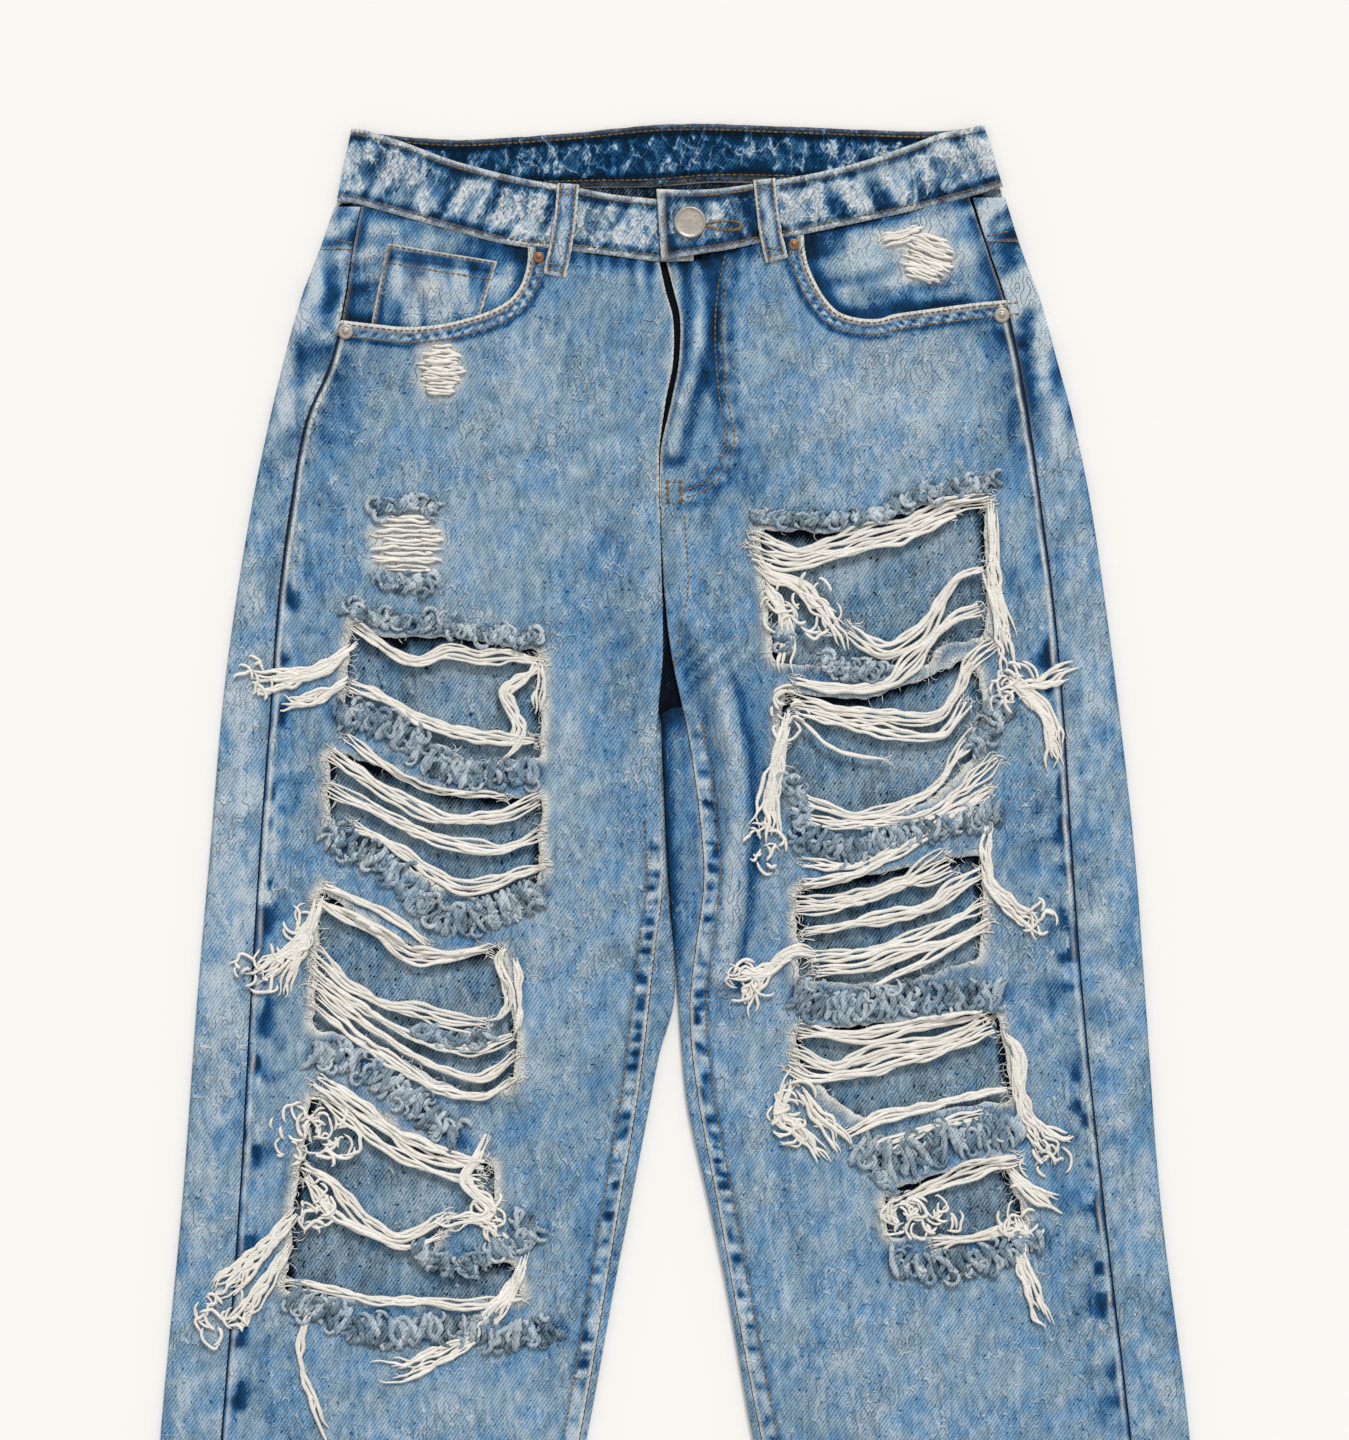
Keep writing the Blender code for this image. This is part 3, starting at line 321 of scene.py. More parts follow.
class Profile:
    """A smooth curve through one column of a table, ready for arrays of levels."""

    def __init__(self, table: Sequence[Any], column: str, samples: int = 1500) -> None:
        """Samples the curve once.

        Args:
            table: Its rows, in order of their level.
            column: The column that holds the values.
            samples: How many places the curve is kept at.
        """
        levels = np.array([row.down for row in table], float)
        values = np.array([getattr(row, column) for row in table], float)
        slopes = np.gradient(values, levels)
        slopes[1:-1] = (values[2:] - values[:-2]) / (levels[2:] - levels[:-2])
        self.levels = np.linspace(levels[0], levels[-1], samples)
        k = np.clip(np.searchsorted(levels, self.levels, side="right") - 1, 0, len(levels) - 2)
        span = levels[k + 1] - levels[k]
        t = (self.levels - levels[k]) / span
        leaving = (2 * t**3 - 3 * t**2 + 1) * values[k] + (t**3 - 2 * t**2 + t) * span * slopes[k]
        self.values = leaving + (3 * t**2 - 2 * t**3) * values[k + 1] + (t**3 - t**2) * span * slopes[k + 1]

    def __call__(self, at: Any) -> Any:
        """The curve's value at each level."""
        return np.interp(at, self.levels, self.values)


def ripple(x: Any, down: Any, size_x: float, size_down: float, seed: int) -> Any:
    """Soft unevenness over the cloth.

    Args:
        x: Places across, in millimetres.
        down: Places down, in millimetres.
        size_x: Size of the unevenness across.
        size_down: Size of the unevenness down.
        seed: Which of the many patterns.

    Returns:
        Values from -1 to 1, of the places' own shape.
    """
    lattice = np.random.default_rng(seed).uniform(-1, 1, (LATTICE, LATTICE))
    u = np.asarray(x, float) / size_x + LATTICE_START[0]
    v = np.asarray(down, float) / size_down + LATTICE_START[1]
    i, j = np.floor(u).astype(int), np.floor(v).astype(int)
    s, t = u - i, v - j
    s, t = s * s * (3 - 2 * s), t * t * (3 - 2 * t)
    i, j, k, m = i % LATTICE, j % LATTICE, (i + 1) % LATTICE, (j + 1) % LATTICE
    a, b, c, d = lattice[i, j], lattice[k, j], lattice[i, m], lattice[k, m]
    return (a * (1 - s) + b * s) * (1 - t) + (c * (1 - s) + d * s) * t


def distance_to(line: Line, x: Any, down: Any) -> Any:
    """The distance from places to a polyline.

    Args:
        line: The polyline's (x, down) points.
        x: Places across.
        down: Places down.

    Returns:
        The least distance of each place, in millimetres.
    """
    best = np.full(np.shape(x), 1e9)
    for (ax, ad), (bx, bd) in zip(line, line[1:]):
        length = max((bx - ax) ** 2 + (bd - ad) ** 2, 1e-9)
        t = np.clip(((x - ax) * (bx - ax) + (down - ad) * (bd - ad)) / length, 0, 1)
        best = np.minimum(best, np.hypot(x - ax - t * (bx - ax), down - ad - t * (bd - ad)))
    return best


def inside(outline: Line, x: Any, down: Any) -> Any:
    """Whether places lie inside a closed outline.

    Args:
        outline: The outline's (x, down) points, in order round it.
        x: Places across.
        down: Places down.

    Returns:
        True or False for each place.
    """
    within = np.zeros(np.shape(x), bool)
    points = list(outline)
    for (ax, ad), (bx, bd) in zip(points, points[1:] + points[:1]):
        crosses = (ad > down) != (bd > down)
        with np.errstate(divide="ignore", invalid="ignore"):
            at = ax + (down - ad) * (bx - ax) / (bd - ad if bd != ad else 1e-9)
        within ^= crosses & (x < at)
    return within


def swell(distance: Any, half_width: float) -> Any:
    """A soft rise: 1 on a line and 0 from half_width away."""
    return 0.5 + 0.5 * np.cos(pi * np.minimum(distance / half_width, 1))


def curve_through(points: Sequence[tuple[float, ...]], spacing: float) -> Any:
    """A smooth curve through points, at even steps.

    Args:
        points: The points, of any number of coordinates.
        spacing: The distance between the made points, in millimetres.

    Returns:
        An array with a row for each made point.
    """
    p = np.array(points, float)
    p = np.vstack([2 * p[0] - p[1], p, 2 * p[-1] - p[-2]])
    t = np.linspace(0, 1, SPAN_STEPS, endpoint=False)[:, None]
    spans = []
    for i in range(1, len(p) - 2):
        a, b, c, d = p[i - 1], p[i], p[i + 1], p[i + 2]
        bend = (2 * a - 5 * b + 4 * c - d) * t**2 + (3 * b - a - 3 * c + d) * t**3
        spans.append(0.5 * (2 * b + (c - a) * t + bend))
    dense = np.vstack([*spans, p[-2][None]])
    travelled = np.r_[0, np.cumsum(np.linalg.norm(np.diff(dense, axis=0), axis=1))]
    count = max(int(round(travelled[-1] / spacing)), 2)
    at = np.linspace(0, travelled[-1], count + 1)
    return np.column_stack([np.interp(at, travelled, dense[:, k]) for k in range(p.shape[1])])


def rough_outline(outline: Line, depth: float, seed: int) -> Any:
    """A closed outline with torn, uneven edges.

    Args:
        outline: The outline's (x, down) points.
        depth: How far the edge wanders, in millimetres.
        seed: Which of the many tears.

    Returns:
        A list of (x, down) points about 2 mm apart.
    """
    closed = list(outline) + [outline[0]]
    points = []
    for a, b in zip(closed, closed[1:]):
        a, b = np.array(a, float), np.array(b, float)
        steps = max(int(np.hypot(*(b - a)) / 2), 1)
        points += [tuple(a + (b - a) * i / steps) for i in range(steps)]
    smooth = np.array(points)
    for _ in range(3):
        smooth = 0.25 * np.roll(smooth, 1, 0) + 0.5 * smooth + 0.25 * np.roll(smooth, -1, 0)
    along = np.roll(smooth, -1, 0) - np.roll(smooth, 1, 0)
    along /= np.linalg.norm(along, axis=1)[:, None] + 1e-9
    wander = depth * ripple(smooth[:, 0], smooth[:, 1], 4.5, 4.5, seed)
    wander += 0.5 * depth * ripple(smooth[:, 0], smooth[:, 1], 2.2, 2.2, seed + 1)
    smooth[:, 0] -= along[:, 1] * wander
    smooth[:, 1] += along[:, 0] * wander
    return [tuple(point) for point in smooth]


def lower_edge(*sections: BandRow) -> Callable[[Any], Any]:
    """Down to the waistband's lower edge through these sections, for any x."""
    places = np.array([(row.bottom_x, row.bottom_down) for row in sections])
    return lambda x: np.interp(x, places[:, 0], places[:, 1])


band_bottom = lower_edge(BAND_RIGHT_FOLD, *BAND_RIGHT_FRONT[::-1], *BAND_LEFT_FRONT[-3::-1], BAND_LEFT_FOLD)
back_band_bottom = lower_edge(BAND_RIGHT_FOLD, *BAND_BACK_ROWS, BAND_LEFT_FOLD)


class Leg:
    """The shape of one leg and its half of the seat: where its lines run and how high its cloth lies."""

    def __init__(self, side: Side) -> None:
        """Samples every line once.

        Args:
            side: Which side.
        """
        self.side, self.sign, self.word = side, side.value, side.name.lower()
        self.outer = Profile(SIDE_LINES[side], "outer")
        self.seam = Profile(SIDE_LINES[side], "side_seam")
        self.front_inner = Profile(FRONT_INNER[side], "out")
        self.leg_inner = Profile(LEG_INNER[side], "out")
        self.mouth = curve_through([(self.sign * out, down) for out, down in POCKET_MOUTH[side]], 1.5)
        self.rips = [rough_outline(rip, 1.3, 31 + i) for i, rip in enumerate(RIPS[side])]

    def fold_height(self, x: Any, down: Any) -> Any:
        """The middle of the front's cloth with its large folds and the lift at the pocket.

        Args:
            x: Places across.
            down: Places down.

        Returns:
            Heights in millimetres.
        """
        height = np.full(np.shape(x), FRONT_LEVEL)
        for fold in FOLDS[self.side]:
            height += fold.height * swell(distance_to(fold.line, x, down), fold.half_width)
        mouth = [(self.sign * out, down) for out, down in POCKET_MOUTH[self.side]]
        near = np.maximum(distance_to(mouth, x, down) - 12, 0)
        return height + POCKET_LIFT[self.side] * swell(near, 34)

    def creases(self, x: Any, down: Any) -> Any:
        """How far creases and unevenness lift the front's cloth.

        Args:
            x: Places across.
            down: Places down.

        Returns:
            Offsets in millimetres.
        """
        offset = 0.32 * ripple(x, down, 38, 60, 3) + 0.16 * ripple(x, down, 13, 24, 4)
        for i, fold in enumerate(CREASES[self.side]):
            uneven = 1 + 0.35 * ripple(x, down, 16, 16, 50 + i)
            rise = swell(distance_to(fold.line, x, down), fold.half_width)
            offset += fold.height * uneven * rise
        return offset

    def roll_radius(self, out: Any, down: Any) -> Any:
        """The radius of a rolled edge, to the middle of its cloth."""
        return (self.fold_height(self.sign * out, down) - BACK_LEVEL) / 2

    def inner_start(self, down: Any) -> tuple[Any, Any]:
        """Where a leg's inside edge starts to roll, and the radius of that roll.

        Args:
            down: The levels.

        Returns:
            How far out it starts, and the radius, in millimetres.
        """
        edge = self.leg_inner(down)
        radius = self.roll_radius(edge + 5, down)
        return edge + radius + DENIM / 2, radius

    def inner_path(self, down: float, travel: Any) -> Any:
        """Points on a leg's cloth, measured round from where its back starts to roll up.

        Args:
            down: The level.
            travel: Distances round the cloth.

        Returns:
            An array of (x, down, height) rows.
        """
        start, radius = (float(value) for value in self.inner_start(down))
        travel = np.asarray(travel, float)
        angle = np.minimum(travel / radius, pi) - pi / 2
        out = start + np.maximum(travel - pi * radius, 0) - radius * np.cos(angle)
        height = BACK_LEVEL + radius + radius * np.sin(angle)
        flat = travel > pi * radius
        blend = np.clip((out - start) / 5, 0, 1)
        level = self.fold_height(self.sign * out, np.full(out.shape, down))
        height = np.where(flat, height + (level - height) * blend, height)
        return np.c_[self.sign * out, np.full(out.shape, down), height]

    def inseam_travel(self, down: float) -> float:
        """How far round the inner roll the inseam lies.

        Args:
            down: The level.

        Returns:
            The distance round the cloth, in millimetres.
        """
        start, radius = (float(value) for value in self.inner_start(down))
        seam = float(self.front_inner(down))
        if seam >= start:
            return pi * radius + seam - start
        share = min((start - seam) / radius, 0.9)
        return pi * radius / 2 + float(np.arccos(share)) * radius

    def yoke_line(self, out: Any) -> Any:
        """Down to the yoke's lower edge, this far out.

        Args:
            out: How far out.

        Returns:
            The levels.
        """
        at_side = YOKE_AT_SIDE[self.side]
        reach = self.outer(at_side) - (FRONT_LEVEL - BACK_LEVEL + DENIM) / 2
        return at_side + (YOKE_AT_CENTRE - at_side) * (1 - np.clip(out / reach, 0, 1))

    def in_rip(self, x: Any, down: Any) -> Any:
        """Whether places lie over a rip."""
        return np.any([inside(outline, x, down) for outline in self.rips], axis=0)

    def rip_distance(self, x: Any, down: Any, least_slope: float = 0.0) -> Any:
        """The distance from places to the nearest edge of a rip that is at least this steep.

        Args:
            x: Places across.
            down: Places down.
            least_slope: How steep an edge counts, as down over across.

        Returns:
            Distances in millimetres.
        """
        edges = [(a, b) for outline in self.rips for a, b in zip(outline, [*outline[1:], outline[0]])]
        steep = [(a, b) for a, b in edges if abs(b[1] - a[1]) >= least_slope * abs(b[0] - a[0])]
        return np.min([distance_to(edge, x, down) for edge in steep], axis=0)

    def past_seam(self, x: Any, down: Any) -> Any:
        """How far places lie outside the side seam."""
        return self.sign * x - self.seam(down)

    def rip_lift(self, x: Any, down: Any) -> Any:
        """How far torn edges stand up from the leg."""
        return swell(self.rip_distance(x, down), 9) * (1.5 + 0.9 * ripple(x, down, 15, 9, 21))


def wash_tone(x: Any, down: Any) -> Any:
    """The large-scale wash: negative where the indigo is darker.

    Args:
        x: Places across.
        down: Places down.

    Returns:
        Tones about 0.
    """
    tone = np.zeros(np.shape(x))
    for wash in WASHES:
        turn = radians(wash.turn)
        dx, dd = x - wash.x, down - wash.down
        u = (dx * cos(turn) + dd * sin(turn)) / wash.half_x
        v = (-dx * sin(turn) + dd * cos(turn)) / wash.half_down
        tone += wash.tone * np.exp(-1.2 * (u * u + v * v))
    return tone


def shader_operator(kind: str, second: Any = None, swapped: bool = False) -> Callable[..., "Value"]:
    """Makes an operator of Value from one kind of Math node.

    Args:
        kind: The kind of Math node.
        second: The second value, where the operator has only one side.
        swapped: Whether the value stands on the right.

    Returns:
        The method.
    """

    def joined(value: "Value", other: Any = second) -> "Value":
        """One Math node on two values."""
        first, last = (other, value) if swapped else (value, other)
        return value.tree.node("ShaderNodeMath", {"operation": kind}, {0: first, 1: last})

    return joined


class Value:
    """A number carried between shader nodes, so that shader maths reads as maths."""

    __add__, __radd__ = shader_operator("ADD"), shader_operator("ADD", swapped=True)
    __sub__, __rsub__ = shader_operator("SUBTRACT"), shader_operator("SUBTRACT", swapped=True)
    __mul__, __rmul__ = shader_operator("MULTIPLY"), shader_operator("MULTIPLY", swapped=True)
    __neg__, __abs__ = shader_operator("MULTIPLY", -1.0), shader_operator("ABSOLUTE", 0.0)

    def __init__(self, tree: "NodeTree", socket: Any) -> None:
        """Keeps the socket and the tree it belongs to."""
        self.tree, self.socket = tree, socket

    def over(self, low: float, high: float) -> "Value":
        """This value stretched so that low gives 0 and high gives 1, held between them."""
        return self.tree.node("ShaderNodeMapRange", {"clamp": True},
            {"Value": self, "From Min": low, "From Max": high})


class NodeTree:
    """One material's shader nodes."""

    def __init__(self, material: Any) -> None:
        """Clears the material and starts with a Principled surface.

        Args:
            material: The material.
        """
        material.use_nodes = True
        self.nodes = material.node_tree.nodes
        self.links = material.node_tree.links
        self.nodes.clear()
        self.surface = self.nodes.new("ShaderNodeBsdfPrincipled")
        output = self.nodes.new("ShaderNodeOutputMaterial")
        self.links.new(self.surface.outputs[0], output.inputs["Surface"])

    def put(self, socket: Any, value: Any) -> None:
        """Gives an input a constant or a link.

        Args:
            socket: The input.
            value: What it gets.
        """
        if isinstance(value, Value):
            self.links.new(value.socket, socket)
        else:
            socket.default_value = value

    def node(self, kind: str, settings: dict[str, Any], inputs: dict[Any, Any], output: Any = 0) -> Value:
        """Adds any node.

        Args:
            kind: The node's type.
            settings: Its properties, set before its inputs.
            inputs: Values or links by input name or number.
            output: Which output is wanted.

        Returns:
            The output's value.
        """
        made = self.nodes.new(kind)
        for name, value in settings.items():
            setattr(made, name, value)
        for name, value in inputs.items():
            self.put(made.inputs[name], value)
        return Value(self, made.outputs[output])

    def place(self, scale: tuple[float, float, float] = (1, 1, 1), turn: float = 0.0) -> Value:
        """The object's own coordinates, scaled, and turned about Z by an angle in degrees.

        Args:
            scale: How much the coordinates are scaled.
            turn: The angle in degrees.

        Returns:
            The places.
        """
        coordinates = self.node("ShaderNodeTexCoord", {}, {}, "Object")
        if turn:
            inputs = {"Vector": coordinates, "Rotation": (0, 0, radians(turn))}
            coordinates = self.node("ShaderNodeMapping", {"vector_type": "POINT"}, inputs)
        return self.node("ShaderNodeVectorMath", {"operation": "MULTIPLY"}, {0: coordinates, 1: scale})

    def noise(self, scale: float, detail: float = 3.0, rough: float = 0.55, tall: float = 1.0,
        turn: float = 0.0, broad: float = 1.0) -> Value:
        """Noise with a middle of 0.5.

        Args:
            scale: How fine it is.
            detail: How many finer layers it has.
            rough: How strong those are.
            tall: Less than 1 draws it out down the cloth.
            turn: Its turn in degrees.
            broad: Less than 1 draws it out across the cloth.

        Returns:
            The noise.
        """
        where = self.place((broad, tall, 1), turn)
        inputs = {"Vector": where, "Scale": scale, "Detail": detail, "Roughness": rough}
        return self.node("ShaderNodeTexNoise", {}, inputs)

    def attribute(self, name: str) -> Value:
        """A number kept on the mesh's points."""
        return self.node("ShaderNodeAttribute", {"attribute_name": name}, {}, "Fac")

    def mix(self, share: Any, first: Any, second: Any) -> Value:
        """Two colours mixed, from a share of 0 for the first to 1 for the second."""
        settings = {"data_type": "RGBA", "clamp_factor": True}
        return self.node("ShaderNodeMix", settings, {0: share, 6: first, 7: second}, 2)

    def bump(self, height: Value, distance: float) -> None:
        """Raises the surface by a height, in metres for a height of 1."""
        normal = self.node("ShaderNodeBump", {}, {"Height": height, "Distance": distance})
        self.put(self.surface.inputs["Normal"], normal)

    def finish(self, **inputs: Any) -> None:
        """Sets the surface's inputs, with _ for a space in their names."""
        for name, value in inputs.items():
            self.put(self.surface.inputs[name.replace("_", " ")], value)


def screen_colour(colour: Sequence[int], exposure: float = 1.12) -> tuple[float, ...]:
    """A base colour that shows as this screen colour in full light.

    Args:
        colour: Red, green and blue, 0 to 255.
        exposure: How strongly the surface is lit.

    Returns:
        Linear red, green, blue and 1.
    """
    channels = []
    for part in colour:
        share = part / 255
        linear = share / 12.92 if share <= 0.04045 else ((share + 0.055) / 1.055) ** 2.4
        channels.append(min(linear / exposure, 1.0))
    return (*channels, 1.0)


@dataclass(frozen=True)
class Finish:
    """What every finish has: a name and a shader."""

    name: str

    def dress(self, tree: NodeTree) -> None:
        """Sets the shader."""

    def material(self) -> Any:
        """Builds the material.

        Returns:
            The material.
        """
        material = bpy.data.materials.new(self.name)
        self.dress(NodeTree(material))
        return material


@dataclass(frozen=True)
class Denim(Finish):
    """Washed twill, bleached where it is rubbed, with light and shade painted in through its tone and its
    squiggles.
    """

    dark: tuple[int, int, int] = (24, 84, 136)
    middle: tuple[int, int, int] = (128, 160, 182)
    vivid: tuple[int, int, int] = (106, 155, 195)
    pale: tuple[int, int, int] = (204, 217, 226)
    bleached: tuple[int, int, int] = (231, 231, 224)
    tone: float = 0.05
    contrast: float = 1.0
    grain: float = 1.0
    wrinkled: float = 0.0

    def dress(self, tree: NodeTree) -> None:
        """Sets the shader.

        Args:
            tree: The material's nodes.
        """
        wide = tree.noise(15.0) - 0.5
        cloudy = tree.noise(58.0, 4.0, 0.6, 0.75) - 0.5
        patches = tree.noise(150.0, 3.0, 0.6, 0.6, 14) - 0.5
        drips = tree.noise(330.0, 2.0, 0.55, 0.3, -6) - 0.5
        fine = tree.noise(900.0, 3.0, 0.7) - 0.5
        field = tree.noise(300.0, 0.0, 0.55, 0.5)
        where = tree.noise(45.0, 2.0, 0.5, 0.8, 40).over(0.34, 0.64)
        # The squiggles: thin dark lines are painted shade beside small embossed squiggles, and thin light
        # lines (ridges) are their painted highlight, both over a small bump.
        squiggle_shade = (1 - abs(field - 0.47).over(0.0, 0.03)) * where
        ridges = (1 - abs(field - 0.54).over(0.0, 0.04)) * where
        specks = tree.noise(560.0, 1.0, 0.5, 0.7, 9).over(0.655, 0.72)
        veins = 1 - abs(tree.noise(80.0, 3.0, 0.6, 0.42, 20) - 0.5).over(0, 0.05)
        forks = 1 - abs(tree.noise(120.0, 2.0, 0.55, 0.55, -24) - 0.5).over(0, 0.07)
        wrinkles = (veins + forks * where) * self.wrinkled
        bands = {"wave_type": "BANDS", "bands_direction": "X", "wave_profile": "SIN"}
        lines = {"Vector": tree.place(turn=35), "Scale": 185.0, "Distortion": 0.8, "Detail": 1.0}
        twill = tree.node("ShaderNodeTexWave", bands, lines) - 0.5
        tone = (self.tone + tree.attribute("tone") + wide * (0.5 * self.contrast)
            + cloudy * (0.85 * self.contrast) + patches * (1.45 * self.contrast)
            + drips * (1.3 * self.grain) + twill * (0.55 * self.grain) - specks * (0.9 * self.grain)
            + fine * (0.6 * self.grain) - squiggle_shade * (0.22 * self.grain) + ridges * (0.85 * self.grain)
            + wrinkles)
        blueness = tree.noise(55.0, 4.0, 0.65, 0.7, 30)
        shown, vivid = screen_colour(self.middle), screen_colour(self.vivid)
        shown = tree.mix(blueness.over(0.44, 0.58), shown, vivid)
        shown = tree.mix((-tone).over(0.0, 1.0), shown, screen_colour(self.dark))
        darkest = screen_colour([int(0.5 * part) for part in self.dark])
        shown = tree.mix((-tone).over(0.85, 2.2), shown, darkest)
        shown = tree.mix(tone.over(0.0, 1.0), shown, screen_colour(self.pale))
        rub = tree.attribute("worn") * (0.85 + 1.1 * patches + 0.9 * fine)
        shown = tree.mix(rub.over(0.0, 1.0), shown, screen_colour(self.bleached))
        height = cloudy * 0.4 + patches * 0.6 + drips * 0.5 + twill * 0.22 + wrinkles * 0.7
        tree.bump(height + fine * 0.4 - squiggle_shade * 0.15 + ridges * 0.5, 0.0017)
        tree.finish(Base_Color=shown, Roughness=0.92, Specular_IOR_Level=0.15, Sheen_Weight=0.0)


@dataclass(frozen=True)
class Thread(Finish):
    """Spun cotton: bare yarn, or sewing thread."""

    colour: tuple[int, int, int]
    shadow: tuple[int, int, int]
    across: float = 900.0

    def dress(self, tree: NodeTree) -> None:
        """Sets the shader.

        Args:
            tree: The material's nodes.
        """
        fibres = tree.noise(self.across, 3.0, 0.6, broad=0.5)
        soft = tree.noise(160.0, 2.0)
        share = (tree.attribute("tint") * 0.8 + (soft - 0.5) * 0.7 + (fibres - 0.5) * 0.7
            + 0.08).over(0.0, 1.0)
        colour = tree.mix(share, screen_colour(self.colour), screen_colour(self.shadow))
        tree.bump(fibres, 0.0006)
        tree.finish(Base_Color=colour, Roughness=0.95, Specular_IOR_Level=0.1)


@dataclass(frozen=True)
class Metal(Finish):
    """A plated, rubbed metal."""

    colour: tuple[int, int, int]
    stain: tuple[int, int, int]
    roughness: float = 0.38

    def dress(self, tree: NodeTree) -> None:
        """Sets the shader.

        Args:
            tree: The material's nodes.
        """
        spots = tree.noise(420.0, 4.0, 0.6)
        colour = tree.mix(spots.over(0.52, 0.9), screen_colour(self.colour, 1.0),
            screen_colour(self.stain, 1.0))
        fine = tree.noise(1400.0, 2.0)
        rough = self.roughness + (fine - 0.5) * 0.3
        tree.bump(spots * 0.6 + fine * 0.4, 0.0003)
        tree.finish(Base_Color=colour, Roughness=rough, Metallic=0.85, Specular_IOR_Level=0.5)


@dataclass(frozen=True)
class Plain(Finish):
    """One plain colour, for the surface under the garment."""

    colour: tuple[int, int, int]

    def dress(self, tree: NodeTree) -> None:
        """Sets the shader."""
        colour = screen_colour(self.colour, 1.067)
        tree.finish(Base_Color=colour, Roughness=0.9, Specular_IOR_Level=0.0)


DENIM_FINISH = Denim("washed_denim")
INSIDE_FINISH = Denim(
    "denim_wrong_side", dark=(10, 30, 50), middle=(124, 150, 168), vivid=(98, 140, 174),
    pale=(186, 204, 214), contrast=0.9, grain=1.2,
)
BAND_FINISH = Denim(
    "waistband_denim", dark=(10, 66, 110), middle=(122, 156, 180), vivid=(90, 144, 188),
    pale=(222, 231, 236), contrast=1.2, grain=0.85, wrinkled=0.95,
)
BAND_INSIDE_FINISH = Denim(
    "waistband_wrong_side", dark=(0, 58, 98), middle=(66, 122, 164), vivid=(44, 108, 164),
    pale=(196, 216, 230), grain=0.85, wrinkled=1.4,
)
FRAY_FINISH = Denim(
    "frayed_denim", dark=(30, 46, 56), middle=(142, 161, 174), vivid=(130, 158, 180),
    pale=(216, 226, 232), bleached=(222, 220, 212), contrast=1.2, grain=0.7,
)
YARN_FINISH = Thread("bare_yarn", (252, 248, 240), (214, 206, 192))
STITCH_FINISH = Thread("tan_thread", (168, 138, 98), (84, 64, 44), 1400.0)
RUST_FINISH = Thread("rust_thread", (156, 128, 84), (70, 54, 36), 1400.0)
NICKEL_FINISH = Metal("brushed_nickel", (178, 171, 162), (136, 128, 120), 0.5)
COPPER_FINISH = Metal("worn_copper", (150, 110, 82), (66, 54, 48))
FLOOR_FINISH = Plain("pale_floor", (251, 248, 243))


def in_metres(points: Any) -> Any:
    """Rows of (x, down, height) in millimetres as Blender's places in metres."""
    return np.stack([points[..., 0], LENGTH / 2 - points[..., 1], points[..., 2]], axis=-1) / 1000


def normals_of(points: Any) -> Any:
    """Unit normals of a grid of points, towards one side throughout.

    Args:
        points: Rows of points.

    Returns:
        An array like the points.
    """
    along = np.gradient(points, axis=0)
    across = np.gradient(points, axis=1)
    normal = np.cross(across, along)
    return normal / (np.linalg.norm(normal, axis=-1, keepdims=True) + 1e-9)


def linked(name: str, mesh: Any, finishes: Sequence[Any], smooth: bool = True) -> Any:
    """Makes an object of a mesh, with its materials, and puts it in the scene.

    Args:
        name: The object's name.
        mesh: Its mesh.
        finishes: Its materials, in order.
        smooth: Whether it is shaded smooth.

    Returns:
        The object.
    """
    mesh.polygons.foreach_set("use_smooth", [smooth] * len(mesh.polygons))
    for finish in finishes:
        mesh.materials.append(finish)
    obj = bpy.data.objects.new(name, mesh)
    bpy.context.scene.collection.objects.link(obj)
    LOG.info("made %s, with %d faces", name, len(mesh.polygons))
    return obj


def meshed(name: str, shape: Any) -> Any:
    """A new mesh from a bmesh, which is freed.

    Args:
        name: Its name.
        shape: The bmesh.

    Returns:
        The mesh.
    """
    mesh = bpy.data.meshes.new(name)
    shape.to_mesh(mesh)
    shape.free()
    return mesh


def add_attributes(mesh: Any, **values: Any) -> None:
    """Keeps numbers on a mesh's points for its material.

    Args:
        mesh: The mesh.
        values: A number for each point, by the name the material reads.
    """
    for name, numbers in values.items():
        attribute = mesh.attributes.new(name, "FLOAT", "POINT")
        attribute.data.foreach_set("value", np.ascontiguousarray(numbers, np.float32).ravel())


